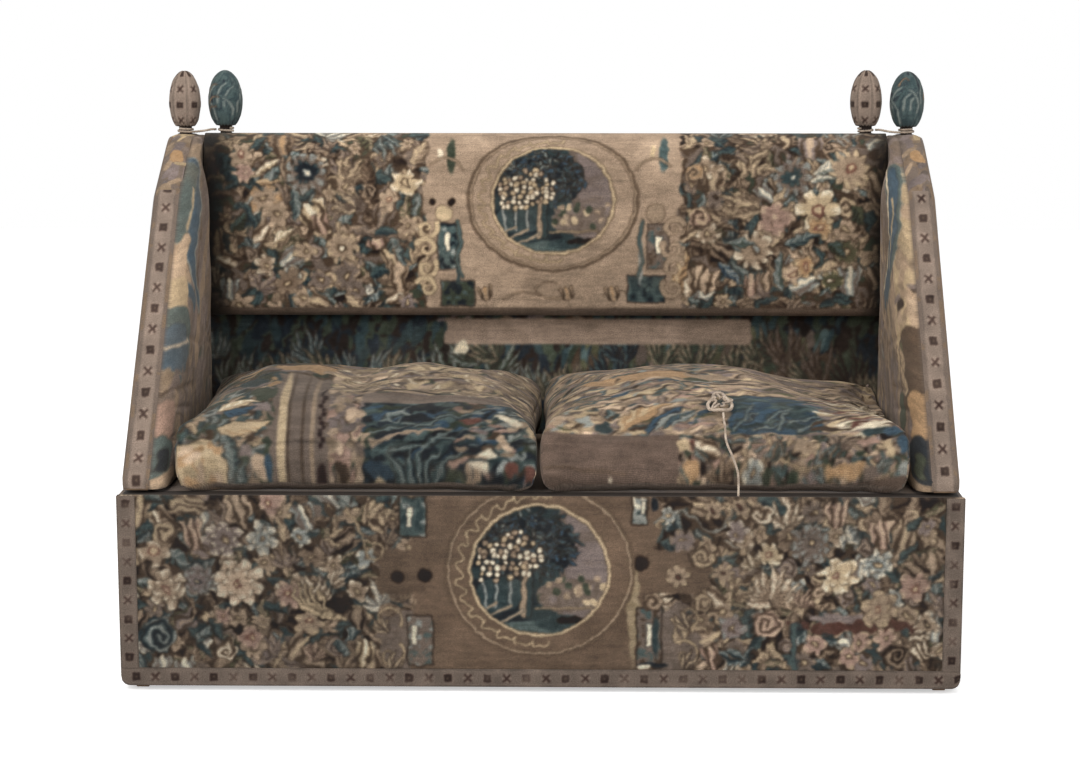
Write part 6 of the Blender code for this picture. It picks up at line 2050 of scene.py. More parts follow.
plain_panel(
    "seat_rear", "outside_back_cover", "base", (WIDE, REAR_BOARD, FOOT_SHOW), (-2 * WIDE, 0, 0),
    (0, 0, SEAT_TOP - FOOT_SHOW), (0, 1, 0), 0.012, 0.001, 95,
)
plain_panel(
    "back_rear", "outside_back_cover", "base", (BACK_HALF, REAR_BOARD, SEAT_TOP + 0.0005),
    (-2 * BACK_HALF, 0, 0), (0, 0, BACK_TOP - 0.0065 - SEAT_TOP), (0, 1, 0), 0.012, 0.001, 96,
)
plain_panel(
    "seat_deck_cloth", "seat_deck", "base", (-0.774, 0.0442, 0.3315), (1.548, 0, 0),
    (0, 0.655, 0), (0, 0, 1), 0.0700, 0.0, 97, 0.02,
)
print("plain panels done")

# %% [markdown]
# A wing's edge is finished with the same braid, from the toe up the slope to the shoulder.
# From there to the finial, the edge is pieced with scraps over a little extra stuffing.
# Under both lies a strip of cloth that covers the frame's edge from pad to outside cover.
# All of it is one piece here: the middle of its section is the braid, and both sides roll
# down to the covers.

# %% Braid on the wings
WING_CENTRE = 0.802
EDGE_WIDTH = 0.0505
WING_BRAID_WIDTH = 0.038


def wing_edge_path():
    """Points up the wing's edge, from the foot of its toe to its rear."""
    depths = np.linspace(WING_TOE, WING_REAR, 240)
    slope = np.array([(depth, float(wing_height(depth, 0.0))) for depth in depths])
    foot = np.array([(WING_TOE, z) for z in np.linspace(0.4115, slope[0][1] - 0.002, 8)])
    drops = np.linspace(0, 0.655, 60)
    rear = np.array([(WING_REAR + 0.0015, WING_TOP - 0.004 - drop) for drop in drops])
    path = np.vstack([foot, slope, rear])
    for _ in range(6):
        path[1:-1] = (path[:-2] + 2 * path[1:-1] + path[2:]) / 4
    return path


EDGE_PATH = wing_edge_path()
EDGE_RUN = np.concatenate([[0.0], np.cumsum(np.linalg.norm(np.diff(EDGE_PATH, axis=0), axis=1))])
EDGE_LENGTH = float(EDGE_RUN[-1])
EDGE_RISE = slice(0, 248)


def run_at(depth):
    """Length of the edge from its foot to a depth, on its rising part."""
    return float(np.interp(depth, EDGE_PATH[EDGE_RISE, 0], EDGE_RUN[EDGE_RISE]))


EDGE_BRAID_LENGTH = run_at(WING_SHOULDER[0] + 0.010)
EDGE_FRONT_LENGTH = run_at(WING_POST_FACE - 0.012)
BRAID_STRETCH = 1.29
LUMP = 0.0042


def wing_edge_surface(side):
    heading = np.gradient(EDGE_PATH, axis=0)
    heading /= np.linalg.norm(heading, axis=1)[:, None]

    def surface(u, v, sink):
        run = v * EDGE_LENGTH
        depth = np.interp(run, EDGE_RUN, EDGE_PATH[:, 0])
        z = np.interp(run, EDGE_RUN, EDGE_PATH[:, 1])
        along_d = np.interp(run, EDGE_RUN, heading[:, 0])
        along_z = np.interp(run, EDGE_RUN, heading[:, 1])
        across = (u - 0.5) * EDGE_WIDTH
        off = np.abs(across) / (WING_BRAID_WIDTH / 2)
        beside = -0.0008 - 0.0012 * np.clip(off - 1, 0, 1) * 3
        arched = np.where(off < 1, arch(np.clip(off, 0, 1)), beside)
        padded = ease((run - EDGE_BRAID_LENGTH) / 0.02) * ease((EDGE_FRONT_LENGTH + 0.02 - run) / 0.04)
        uneven = slack(across * 2.0, run * 1.6, 79 + side, 1.6)
        round_top = LUMP * (np.cos(np.clip(off, 0, 1.3) * 1.2) + uneven)
        out = np.where(sink > 0.5, -0.0032, arched - 0.0004 + padded * round_top)
        return side * WING_CENTRE + across, depth - along_z * out, z + along_d * out, across, run

    return surface


def paint_wing_edge(phase, seed):
    """Braid up to the shoulder, drawn out along the slope, and padded scraps above it."""
    length = EDGE_LENGTH / BRAID_STRETCH
    braid = paint_braid(length, WING_BRAID_WIDTH, phase, seed, level=1.30, wear=0.25)
    cartoon = Cartoon(-EDGE_WIDTH / 2, EDGE_WIDTH / 2, 0.0, EDGE_LENGTH, BRAID_POINT, seed)
    u, v = np.broadcast_arrays(*cartoon.places())
    colour, relief = braid.read(u.ravel(), v.ravel() / BRAID_STRETCH)
    cartoon.mottle(wools("taupe taupe ground taupe taupe"), 0.06, seed)
    daubs(cartoon, (-0.026, 0.026, EDGE_BRAID_LENGTH, EDGE_FRONT_LENGTH), 0.024, seed + 3,
        "tan taupe mauve straw ground", 0.04, 1.2, 0.5)
    middle = (EDGE_BRAID_LENGTH + EDGE_FRONT_LENGTH) / 2
    patch(cartoon, 0.004, middle, 0.030, 0.050, 0.2, "ochre", 0.3, 0.0004, seed)
    inside = (np.abs(u) < WING_BRAID_WIDTH / 2) & (v < EDGE_BRAID_LENGTH)
    colour = colour.reshape(cartoon.colour.shape)
    cartoon.colour[:] = np.where(inside[..., None], colour, cartoon.colour)
    cartoon.relief[:] = np.where(inside, relief.reshape(cartoon.size), 0.0)
    return cartoon


for side_name, side in SIDES:
    edge = cover(
        side_name + "_wing_edge", 24, round(EDGE_LENGTH / 0.0024), wing_edge_surface(side),
        paint_wing_edge(0.012 + 0.020 * (side > 0), 75 + side), BRAID,
    )
    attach(edge, side_name + "_arm")
    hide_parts(side_name + "_arm_braid")
print("edge braid", round(EDGE_LENGTH, 3), "m")

# %% [markdown]
# The two seat cushions are loose bags of down, boxed at the front and crowned on top. A
# cushion like this is best made by letting the computer fill it: a slightly small version
# of its form is remeshed into even cells, treated as cloth, and blown up by a little
# pressure for twenty frames. A limit on how far a point may travel keeps it off its
# neighbours, and the underside stays flat where it rests on the seat. Seams come after,
# because remeshing would wipe them out.

# %% Filling a cushion
CUSHION_LOW = 0.4020
CUSHION_FRONT = 0.008
CUSHION_REAR = 0.6204
CUSHION_BOX = 0.140
CUSHION_CROWN = 0.058
CUSHION_SHRINK = 0.006
CUSHION_VOXEL = 0.006
CUSHION_FRAMES = 20
CUSHION_TRAVEL = 0.012
CUSHION_PRESSURE = 4.0
CUSHION_PULL = 0.010
CUSHION_INSET = 0.020


def cushion_start(name, left, right):
    """A boxed, crowned form with sides drawn in between the corners."""
    bm = bmesh.new()
    bmesh.ops.create_cube(bm, size=2.0)
    for axis, count in ((0, 20), (1, 18), (2, 6)):
        normal = Vector((0, 0, 0))
        normal[axis] = 1
        for cut in range(1, count):
            share = math.sin(math.pi / 2 * (2 * cut / count - 1))
            geometry = [*bm.verts, *bm.edges, *bm.faces]
            bmesh.ops.bisect_plane(
                bm, geom=geometry, dist=0.00001, plane_co=normal * share, plane_no=normal
            )
    half_x = (right - left) / 2 - CUSHION_SHRINK
    half_d = (CUSHION_REAR - CUSHION_FRONT) / 2 - CUSHION_SHRINK
    middle = Vector(((left + right) / 2, FRONT + (CUSHION_REAR + CUSHION_FRONT) / 2, 0))
    for vertex in bm.verts:
        u, v, w = vertex.co
        inset = CUSHION_INSET * (1 - math.sqrt(max(0.0, 1 - abs(w) ** 3)))
        x = half_x * u - CUSHION_PULL * u ** 5 * (1 - v * v) - inset * u ** 7
        y = half_d * v - CUSHION_PULL * v ** 5 * (1 - u * u) - inset * v ** 7
        crown = (CUSHION_CROWN - CUSHION_SHRINK) * (1 - u * u) ** 0.6 * (1 - v * v) ** 0.6
        share = (w + 1) / 2
        z = CUSHION_LOW + 0.002 + (CUSHION_BOX - CUSHION_SHRINK) * share + crown * share ** 1.5
        vertex.co = middle + Vector((x, y, z))
    bmesh.ops.recalc_face_normals(bm, faces=bm.faces)
    return new_piece(name, bm)


def keep_result(piece):
    """Keep what the modifiers make as the piece's own mesh, and drop the modifiers."""
    evaluated = piece.evaluated_get(bpy.context.evaluated_depsgraph_get())
    mesh = bpy.data.meshes.new_from_object(evaluated)
    old = piece.data
    piece.modifiers.clear()
    piece.data = mesh
    bpy.data.meshes.remove(old)
    mesh.name = piece.name


def fill_with_down(piece, pressure, travel):
    """Blow the cloth up by a pressure, but let no point go further than the travel."""
    start = vertex_values(piece.data, "co")
    cloth = piece.modifiers.new("filling", "CLOTH")
    cloth.settings.quality = 4
    cloth.settings.mass = 0.3
    cloth.settings.tension_stiffness = 12
    cloth.settings.compression_stiffness = 12
    cloth.settings.bending_stiffness = 0.4
    cloth.settings.shrink_min = -0.03
    cloth.settings.use_pressure = True
    cloth.settings.uniform_pressure_force = pressure
    cloth.settings.effector_weights.gravity = 0.0
    cloth.point_cache.frame_start = 1
    cloth.point_cache.frame_end = CUSHION_FRAMES
    for number in range(1, CUSHION_FRAMES + 1):
        bpy.context.scene.frame_set(number)
    keep_result(piece)
    bpy.context.scene.frame_set(1)
    filled = vertex_values(piece.data, "co")
    moved = filled - start
    far = np.linalg.norm(moved, axis=1)
    held = travel * np.tanh(far / travel) / np.maximum(far, 1e-9)
    placed = start + moved * held[:, None]
    piece.data.vertices.foreach_set("co", placed.ravel())
    piece.data.update()
    print(piece.name, "points", len(far), "moved up to", round(float(far.max()), 4))


def make_cushion(name, left, right):
    piece = cushion_start(name, left, right)
    remesh = piece.modifiers.new("cells", "REMESH")
    remesh.mode = "VOXEL"
    remesh.voxel_size = CUSHION_VOXEL
    keep_result(piece)
    fill_with_down(piece, CUSHION_PRESSURE, CUSHION_TRAVEL)
    finer = piece.modifiers.new("finer", "SUBSURF")
    finer.levels = 1
    finer.render_levels = 1
    keep_result(piece)
    return piece


# %% [markdown]
# After filling, each cushion gets what a hand would find on it: the seam along the top of
# its front border, small puckers where that seam is drawn tight, dents from use, and the
# long slack folds of the cloth. Then its cartoon is read by the distance over the cloth,
# up the front and back over the crown.

# %% Seams and folds
FOLDS = {
    "left_cushion": (
        (-0.42, 1.00, -0.03, 0.96, 0.010, -0.0060),
        (-0.40, 0.95, -0.08, 0.93, 0.012, 0.0050),
        (-0.36, 0.87, -0.02, 0.84, 0.010, -0.0055),
        (-0.34, 0.81, -0.06, 0.80, 0.010, 0.0045),
        (-0.30, 0.76, -0.10, 0.78, 0.012, -0.0040),
        (-0.54, 0.94, -0.50, 0.66, 0.010, -0.0035),
        (-0.46, 0.92, -0.44, 0.68, 0.009, -0.0035),
        (-0.60, 0.70, -0.50, 0.60, 0.010, -0.0030),
        (-0.34, 0.70, -0.06, 0.69, 0.007, -0.0040),
    ),
    "right_cushion": (
        (0.06, 0.98, 0.22, 0.72, 0.012, -0.0040),
        (0.30, 0.95, 0.50, 0.86, 0.012, -0.0035),
        (0.45, 0.78, 0.68, 0.74, 0.010, -0.0035),
        (0.05, 0.70, 0.30, 0.66, 0.010, -0.0030),
        (0.55, 0.95, 0.66, 0.80, 0.010, -0.0035),
    ),
}
CUSHION_SEAM = {"left_cushion": 0.506, "right_cushion": 0.526}
HUMPS = {
    "left_cushion": (
        (-0.53, 0.86, 0.10, 0.13, 0.024),
        (-0.375, 0.90, 0.05, 0.20, -0.018),
        (-0.22, 0.90, 0.12, 0.13, 0.008),
    ),
    "right_cushion": ((0.26, 0.88, 0.13, 0.13, 0.006), (0.61, 0.92, 0.15, 0.26, -0.042)),
}
CUSHION_TOP = 0.613
CUSHION_NEAR = 0.0052
CUSHION_GIVE = 0.004
SEAM_WIDTH = 0.0035
SEAM_DEPTH = 0.0022
PUCKER_STEP = 0.017
PUCKER_REACH = 0.012
PUCKER_HEIGHT = 0.0006
LOW_SEAM_HEIGHT = 0.0016


def finish_cushion(piece, key, left, right, cartoon, seed):
    """Add folds, humps and seams, keep the cushion in its own space, and colour it."""
    mesh = piece.data
    places = vertex_values(mesh, "co")
    depth = places[:, 1] - FRONT
    x, z = places[:, 0], places[:, 2]
    normals = vertex_values(mesh, "normal")
    seam = CUSHION_SEAM[key]
    sideways = ease((np.abs(normals[:, 0]) - 0.45) / 0.3)
    drop = np.maximum(0.0, seam - z) * sideways
    cloth_u = x - np.sign(normals[:, 0]) * drop
    cloth_v = depth + z + drop
    top = ease((normals[:, 2] - 0.2) / 0.4)
    front = ease((-normals[:, 1] - 0.3) / 0.4)
    rise = creases(cloth_u, cloth_v, FOLDS[key]) * np.maximum(top, front)
    rise += slack(cloth_u, cloth_v, seed, 0.009) * top
    rise += slack(cloth_u * 2.2, cloth_v * 2.2, seed + 1, 0.004) * np.maximum(top, front)
    for hump_u, hump_v, width, reach, height in HUMPS[key]:
        far = ((cloth_u - hump_u) / width) ** 2 + ((cloth_v - hump_v) / reach) ** 2
        rise += height * np.exp(-far) * top
    side = ease((0.6 - np.abs(normals[:, 2])) / 0.4)
    off = (z - seam) / SEAM_WIDTH
    pucker = np.sin(x * 2 * math.pi / PUCKER_STEP + slack(x, z, seed, 3.0))
    rise += side * (-SEAM_DEPTH * np.exp(-off * off))
    rise += side * np.exp(-(((z - seam) / PUCKER_REACH) ** 2)) * pucker * PUCKER_HEIGHT
    low = (z - CUSHION_LOW - 0.010) / 0.004
    rise += side * LOW_SEAM_HEIGHT * np.exp(-low * low)
    colour, relief = cartoon.read(cloth_u, cloth_v)
    placed = places + normals * (rise + relief)[:, None]
    placed[:, 0] = np.clip(placed[:, 0], left, right)
    near, far = FRONT + CUSHION_NEAR, FRONT + CUSHION_REAR + CUSHION_GIVE
    placed[:, 1] = np.clip(placed[:, 1], near, far)
    placed[:, 2] = np.clip(placed[:, 2], CUSHION_LOW, CUSHION_TOP)
    mesh.vertices.foreach_set("co", placed.ravel())
    under = ease((-normals[:, 2] - 0.5) / 0.3)[:, None]
    colour = colour * (1 - under) + WOOL["taupe"] * under
    # Painted shade: the cloth is darkened by up to 22 per cent along the seam's groove on the upright
    # faces.
    dark = (1 - 0.22 * side * np.exp(-off * off))[:, None]
    keep_colour(mesh, colour * dark, np.stack([cloth_u, cloth_v], axis=1))
    mesh.update()
    mesh.shade_smooth()
    mesh.materials.append(TAPESTRY)


CUSHION_SPANS = {"left_cushion": (-0.7255, -0.0043), "right_cushion": (-0.0007, 0.7325)}


def edged_leaf(cartoon, u, v, length, width, turn, tones, edge):
    """A smooth leaf with a pale line along both of its edges."""
    tip = (u + math.cos(turn) * length, v + math.sin(turn) * length)
    leaf(cartoon, u, v, length, width, turn, tones, 0.0, 1)
    for side in (-0.46, 0.46):
        stroke(cartoon, bow((u, v), tip, side * width), 0.0050, 0.0040, edge)


def patches(cartoon, rows, ragged):
    """Scraps given as u, v, width, height, turn and wool."""
    for u, v, wide, tall, turn, tone in rows:
        patch(cartoon, u, v, wide, tall, turn, tone, ragged, 0.0004, round(wide * 900))


LEFT_SCRAPS = (
    (-0.570, 0.435, 0.040, 0.050, 0.5, "tan"), (-0.556, 0.480, 0.034, 0.040, -0.4, "peach"),
    (-0.545, 0.430, 0.018, 0.040, 0.0, "rose"), (-0.541, 0.482, 0.016, 0.046, 0.0, "blue"),
    (-0.582, 0.505, 0.030, 0.026, 0.0, "mauve"), (-0.560, 0.640, 0.046, 0.040, 0.3, "mauve"),
    (-0.552, 0.700, 0.050, 0.060, 0.4, "moss"), (-0.590, 0.780, 0.050, 0.050, 0.2, "sea"),
    (-0.530, 0.800, 0.034, 0.060, 0.3, "sea"), (-0.480, 0.890, 0.150, 0.070, 0.1, "ochre"),
    (-0.400, 0.780, 0.070, 0.050, 0.2, "moss"), (-0.400, 0.860, 0.100, 0.040, -0.3, "tan"),
)
NAVY_SCRAPS = (
    (-0.318, 0.452, 0.024, 0.030, 0.8, "straw"), (-0.326, 0.432, 0.018, 0.022, 0.2, "cream"),
    (-0.106, 0.496, 0.040, 0.013, -0.2, "cream"), (-0.120, 0.474, 0.044, 0.012, 0.1, "cream"),
    (-0.070, 0.520, 0.044, 0.020, -0.7, "peach"), (-0.060, 0.470, 0.026, 0.026, 0.1, "brick"),
    (-0.060, 0.590, 0.056, 0.018, -0.7, "cream"), (-0.135, 0.590, 0.040, 0.016, 0.2, "brick"),
    (-0.030, 0.620, 0.040, 0.016, -0.6, "straw"), (-0.095, 0.452, 0.050, 0.018, 0.0, "navy"),
    (-0.345, 0.545, 0.030, 0.026, 0.3, "tan"), (-0.020, 0.455, 0.022, 0.034, 0.0, "brick"),
    (-0.095, 0.540, 0.030, 0.016, 0.4, "umber"), (-0.150, 0.440, 0.030, 0.012, 0.5, "mist"),
    (-0.120, 0.555, 0.034, 0.014, -0.4, "mauve"), (-0.015, 0.550, 0.020, 0.040, -0.3, "straw"),
)


def paint_left_cushion():
    """Blue-green foliage pieced with a striped band, and a crumpled pale strip behind."""
    cartoon = Cartoon(-0.76, 0.02, 0.38, 1.28, 0.0021, 101)
    cartoon.mottle(wools("umber taupe moss taupe umber"), 0.06, 101)
    daubs(cartoon, (-0.76, 0.02, 0.64, 1.28), 0.030, 102, "taupe mauve tan umber moss", 0.05, 0.5, 0.8,
        0.34)
    keep_within(cartoon, -0.76, -0.548, 0.38, 0.95)
    daubs(cartoon, (-0.76, -0.53, 0.38, 0.95), 0.022, 103, "teal sea moss mist tan umber", 0.040, 1.1,
        0.5, 0.34)
    fill_leaves(cartoon, (-0.76, -0.54, 0.50, 0.80), 0.032, 104,
        ("navy sea teal", "dark teal mist", "umber tan straw"))
    cartoon.limit = None
    daubs(cartoon, (-0.74, -0.43, 0.76, 1.20), 0.030, 105, "umber taupe moss mauve ochre umber", 0.06,
        0.6, 0.6, 0.30)
    flower(cartoon, -0.675, 0.470, 0.058, 4, "tan straw straw", "ochre tan", 0.16, 0.4)
    daubs(cartoon, (-0.705, -0.645, 0.445, 0.500), 0.018, 106, "straw ochre straw peach", 0.030, 0.5,
        1.0, 0.6)
    for v, turn in ((0.425, 1.2), (0.465, 1.5), (0.505, 1.8)):
        edged_leaf(cartoon, -0.612, v, 0.062, 0.034, turn, "navy teal mist", "teal mist")
    patches(cartoon, LEFT_SCRAPS, 0.25)
    leaf(cartoon, -0.640, 0.622, 0.090, 0.040, 0.55, "tan straw cream", 0.5, 2)
    leaf(cartoon, -0.625, 0.603, 0.070, 0.034, 0.55, "navy blue blue", 0.1, 2)
    leaf(cartoon, -0.640, 0.550, 0.112, 0.048, 0.42, "ochre straw straw", -0.3, 3)
    keep_within(cartoon, -0.428, -0.345, 0.38, 0.90)
    daubs(cartoon, (-0.43, -0.34, 0.38, 0.90), 0.017, 108, "tan peach mauve tan rose taupe umber",
        0.030, 1.5, 0.6, 0.5)
    keep_within(cartoon, -0.352, 0.02, 0.38, 0.672)
    patch(cartoon, -0.17, 0.53, 0.42, 0.32, 0.0, "navy", 0.05, 0.0002, 8)
    daubs(cartoon, (-0.36, 0.02, 0.38, 0.67), 0.018, 110, "navy sea blue teal navy moss", 0.042, 0.2,
        0.5, 0.40)
    for number in range(16):
        u, v = -0.335 + 0.020 * number, 0.560 + 0.050 * math.sin(2.3 * number)
        turn = 0.25 + 0.5 * math.sin(1.7 * number)
        edged_leaf(cartoon, u, v, 0.075, 0.018, turn, "navy sea teal", "teal mist")
    scroll(cartoon, -0.285, 0.606, 0.026, 0.5, "teal mist", 1.2, 1, 0.008)
    daubs(cartoon, (-0.16, 0.02, 0.40, 0.66), 0.022, 112, "rose navy mauve mist umber tan sea", 0.026,
        0.4, 0.9, 0.42)
    stroke(cartoon, [(-0.335, 0.522), (-0.280, 0.552), (-0.180, 0.565)], 0.016, 0.006, "mauve tan")
    for turn, length in ((0.66, 0.130), (0.99, 0.106), (1.29, 0.095), (2.02, 0.099), (1.62, 0.092)):
        edged_leaf(cartoon, -0.256, 0.424, length, 0.026, turn, "navy sea teal", "teal mist")
    patches(cartoon, NAVY_SCRAPS, 0.28)
    keep_within(cartoon, -0.43, 0.02, 0.712, 1.10)
    daubs(cartoon, (-0.43, 0.02, 0.70, 1.10), 0.024, 114, "tan mauve straw tan straw peach", 0.050, 0.3,
        0.8, 0.36)
    fill_leaves(cartoon, (-0.42, 0.01, 0.72, 1.08), 0.034, 115,
        ("umber tan straw", "taupe straw cream", "umber mauve tan"))
    cartoon.limit = None
    wander(cartoon, 0.011, 0.020, 116)
    plain_field(cartoon, -0.185, 0.686, 0.350, 0.050, WOOL["taupe"] * 1.08, 113)
    stroke(cartoon, [(-0.330, 0.722), (-0.270, 0.742), (-0.205, 0.716)], 0.004, 0.008, "dark dark")
    stroke(cartoon, [(-0.220, 0.800), (-0.160, 0.815)], 0.005, 0.004, "dark brick")
    plain_field(cartoon, -0.478, 0.60, 0.110, 0.44, WOOL["taupe"] * 1.02, 107)
    for u, wide, tone in ((-0.513, 0.018, "straw"), (-0.500, 0.005, "umber"), (-0.472, 0.005, "umber"),
        (-0.452, 0.009, "tan")):
        patch(cartoon, u, 0.60, wide, 0.43, 0.0, tone, 0.03, 0.0003, 8)
    plum = WOOL["dark"] * 1.15 + (0.02, 0.0, 0.01)
    for number in range(15):
        u, v = -0.434 + 0.004 * math.sin(1.9 * number), 0.52 + 0.014 * number
        wide = 0.009 + 0.005 * math.sin(3.1 * number)
        patch(cartoon, u, v, wide, 0.015, 0.0, plum, 0.3, 0.0002, number)
    patch(cartoon, -0.434, 0.462, 0.020, 0.050, 0.0, plum, 0.30, 0.0002, 20)
    return cartoon


RIGHT_SCRAPS = (
    (0.240, 0.860, 0.150, 0.070, 0.12, "ochre"), (0.120, 0.850, 0.070, 0.060, -0.2, "ochre"),
    (0.315, 0.840, 0.050, 0.030, 0.3, "moss"), (0.345, 0.880, 0.090, 0.040, 0.3, "tan"),
    (0.130, 0.575, 0.034, 0.030, 0.5, "sea"), (0.160, 0.730, 0.036, 0.022, 0.3, "blue"),
    (0.090, 0.590, 0.034, 0.026, 0.3, "mist"), (0.095, 0.690, 0.040, 0.020, 0.5, "teal"),
)
PLUME = (
    (0.160, 0.560, 0.150, 0.050, 0.78, "ochre ochre straw", 0.5),
    (0.205, 0.560, 0.130, 0.026, 0.72, "navy blue blue", 0.4),
    (0.220, 0.562, 0.120, 0.022, 0.66, "sea mist mist", 0.4),
    (0.242, 0.565, 0.105, 0.024, 0.70, "navy blue teal", 0.4),
    (0.262, 0.572, 0.080, 0.018, 0.80, "sea mist mist", 0.3),
)
BORDER_SCRAPS = (
    (0.284, 0.523, 0.022, 0.036, 0.2, "straw"), (0.300, 0.524, 0.014, 0.028, 0.0, "brick"),
    (0.304, 0.480, 0.034, 0.022, 0.0, "ochre"), (0.600, 0.470, 0.080, 0.024, 0.0, "ochre"),
    (0.650, 0.530, 0.044, 0.022, 0.0, "rose"), (0.691, 0.512, 0.012, 0.046, 0.2, "straw"),
    (0.718, 0.522, 0.024, 0.040, 0.2, "blue"), (0.722, 0.470, 0.028, 0.024, 0.3, "mist"),
    (0.520, 0.522, 0.024, 0.036, 0.2, "tan"), (0.630, 0.500, 0.030, 0.012, 0.6, "moss"),
)


CUSHION_PATCH = np.array((0.402, 0.336, 0.295))
CUSHION_LINING = np.array((0.360, 0.300, 0.262))


def paint_right_cushion():
    """Warm brush-like shapes with blue among them, a plain patch and a floral border."""
    cartoon = Cartoon(-0.02, 0.76, 0.38, 1.28, 0.0021, 121)
    cartoon.mottle(wools("mauve tan taupe tan mauve"), 0.06, 121)
    daubs(cartoon, (-0.02, 0.76, 0.52, 1.28), 0.022, 122, "tan peach mauve tan straw taupe", 0.060,
        0.45, 0.5, 0.24)
    daubs(cartoon, (-0.02, 0.32, 0.53, 1.20), 0.045, 123, "teal blue mist sea", 0.036, 0.7, 0.6, 0.30)
    fill_leaves(cartoon, (-0.01, 0.33, 0.55, 1.10), 0.042, 135,
        ("umber tan straw", "sea teal mist", "umber mauve tan"))
    daubs(cartoon, (-0.02, 0.76, 0.53, 1.28), 0.040, 124, "umber umber rose olive", 0.040, 0.4, 0.5,
        0.16)
    patches(cartoon, RIGHT_SCRAPS, 0.22)
    for u, v, length, width, turn, tones, bend in PLUME:
        leaf(cartoon, u, v, length, width, turn, tones, bend, 2)
    keep_within(cartoon, 0.378, 0.560, 0.556, 0.730)
    patch(cartoon, 0.465, 0.640, 0.200, 0.190, 0.0, "sea", 0.10, 0.0003, 5)
    daubs(cartoon, (0.37, 0.56, 0.55, 0.73), 0.020, 125, "blue sea teal blue", 0.050, 0.15, 0.4, 0.35)
    for number in range(7):
        u, v = 0.385 + 0.022 * number, 0.566 + 0.03 * (number % 2)
        turn = 0.9 + 0.5 * math.sin(2.1 * number)
        edged_leaf(cartoon, u, v, 0.080, 0.020, turn, "navy blue teal", "teal mist")
    cartoon.limit = None
    daubs(cartoon, (0.56, 0.74, 0.55, 0.90), 0.024, 126, "cream umber brick mauve straw umber", 0.046,
        0.25, 0.5, 0.24)
    patches(cartoon, ((0.665, 0.562, 0.060, 0.026, 0.0, "sea"),
        (0.705, 0.545, 0.040, 0.060, 0.4, "blue")), 0.3)
    keep_within(cartoon, 0.270, 0.76, 0.450, 0.552)
    patch(cartoon, 0.51, 0.505, 0.60, 0.13, 0.0, "taupe", 0.05, 0.0003, 8)
    daubs(cartoon, (0.26, 0.76, 0.44, 0.56), 0.014, 127, "tan peach dark moss rose mauve teal tan",
        0.026, 0.6, 1.2, 0.42)
    fill_leaves(cartoon, (0.27, 0.74, 0.46, 0.55), 0.026, 128,
        ("dark moss teal", "umber tan straw", "dark teal mist"), (0.02, 0.036))
    fill_blooms(cartoon, (0.28, 0.72, 0.46, 0.55), 0.066, 129, 0.5)
    patches(cartoon, BORDER_SCRAPS, 0.25)
    for u, turn in ((0.452, 1.2), (0.482, 1.8), (0.560, 0.9), (0.575, 1.1), (0.335, 2.4)):
        edged_leaf(cartoon, u, 0.490, 0.055, 0.022, turn, "moss teal mist", "dark tan")
    stroke(cartoon, [(0.474, 0.493), (0.510, 0.476), (0.560, 0.480)], 0.006, 0.004, "umber straw")
    cartoon.limit = None
    wander(cartoon, 0.011, 0.020, 134)
    plain_field(cartoon, 0.132, 0.490, 0.280, 0.116, CUSHION_PATCH, 130)
    plain_field(cartoon, 0.37, 0.424, 0.78, 0.064, CUSHION_LINING, 131)
    stroke(cartoon, [(-0.01, 0.470), (0.170, 0.468)], 0.003, 0.002, "umber tan")
    patch(cartoon, 0.140, 0.460, 0.007, 0.006, 0.0, "cream", 0.1, 0.0004, 9)
    return cartoon


CUSHION_CARTOONS = {"left_cushion": paint_left_cushion(), "right_cushion": paint_right_cushion()}
age(CUSHION_CARTOONS["left_cushion"], 0.04, 0.26, 132, 0.82)
age(CUSHION_CARTOONS["right_cushion"], 0.04, 0.26, 133, 0.94)
print("cushion cartoons", len(CUSHION_CARTOONS))
for number, (name, span) in enumerate(CUSHION_SPANS.items()):
    soft = make_cushion(name + "_soft", *span)
    finish_cushion(soft, name, *span, CUSHION_CARTOONS[name], 110 + number)
    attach(soft, name)
    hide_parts(name)
    print(soft.name, len(soft.data.polygons), "faces")

# %% [markdown]
# The finials are turned wooden eggs on a neck, covered with scraps of the same cloths: two
# in braid with a dark seam down the side, two in blue-green foliage. The egg is spun from a
# profile. The cloth is gathered at the neck, so small pleats fade out as the egg widens.

# %% Finials
FINIAL_DEPTH = 0.722
EGG_TURNS = 72
EGG_RINGS = 54
EGG_TALL = 0.122
EGG_SEAT = 0.0185
EGG_LOW = 0.0215
COLLAR_TALL = 0.0050
NECK_TALL = 0.0165


def egg_profile(foot, width):
    """Radius and height from the neck's foot to the tip."""
    points = [(0.0, -0.0005), (0.0165, -0.0005), (0.0168, 0.0042), (0.0128, COLLAR_TALL)]
    points = [(radius, foot + height) for radius, height in points]
    points += [(0.0125, foot + COLLAR_TALL + NECK_TALL * step / 8) for step in range(1, 9)]
    radius = width / 2
    start = math.asin(EGG_SEAT / radius)
    low = foot + EGG_LOW
    for ring_number in range(1, EGG_RINGS + 1):
        angle = start + (math.pi - start) * ring_number / EGG_RINGS
        height = (math.cos(start) - math.cos(angle)) / (1 + math.cos(start))
        swell = math.sin(angle) * (1 + 0.035 * math.cos(angle))
        points.append((max(0.0, radius * swell), low + EGG_TALL * height))
    points[-1] = (0.0, low + EGG_TALL)
    return points


def spun(name, points, x, depth):
    bm = bmesh.new()
    line = [bm.verts.new((px, 0, pz)) for px, pz in points]
    edges = [bm.edges.new(pair) for pair in zip(line, line[1:])]
    bmesh.ops.spin(
        bm, geom=line + edges, cent=(0, 0, 0), axis=(0, 0, 1), angle=2 * math.pi,
        steps=EGG_TURNS, use_merge=True, use_duplicate=False,
    )
    bmesh.ops.remove_doubles(bm, verts=bm.verts, dist=0.00002)
    bmesh.ops.recalc_face_normals(bm, faces=bm.faces)
    bmesh.ops.translate(bm, vec=at(x, depth, 0), verts=bm.verts)
    return new_piece(name, bm)


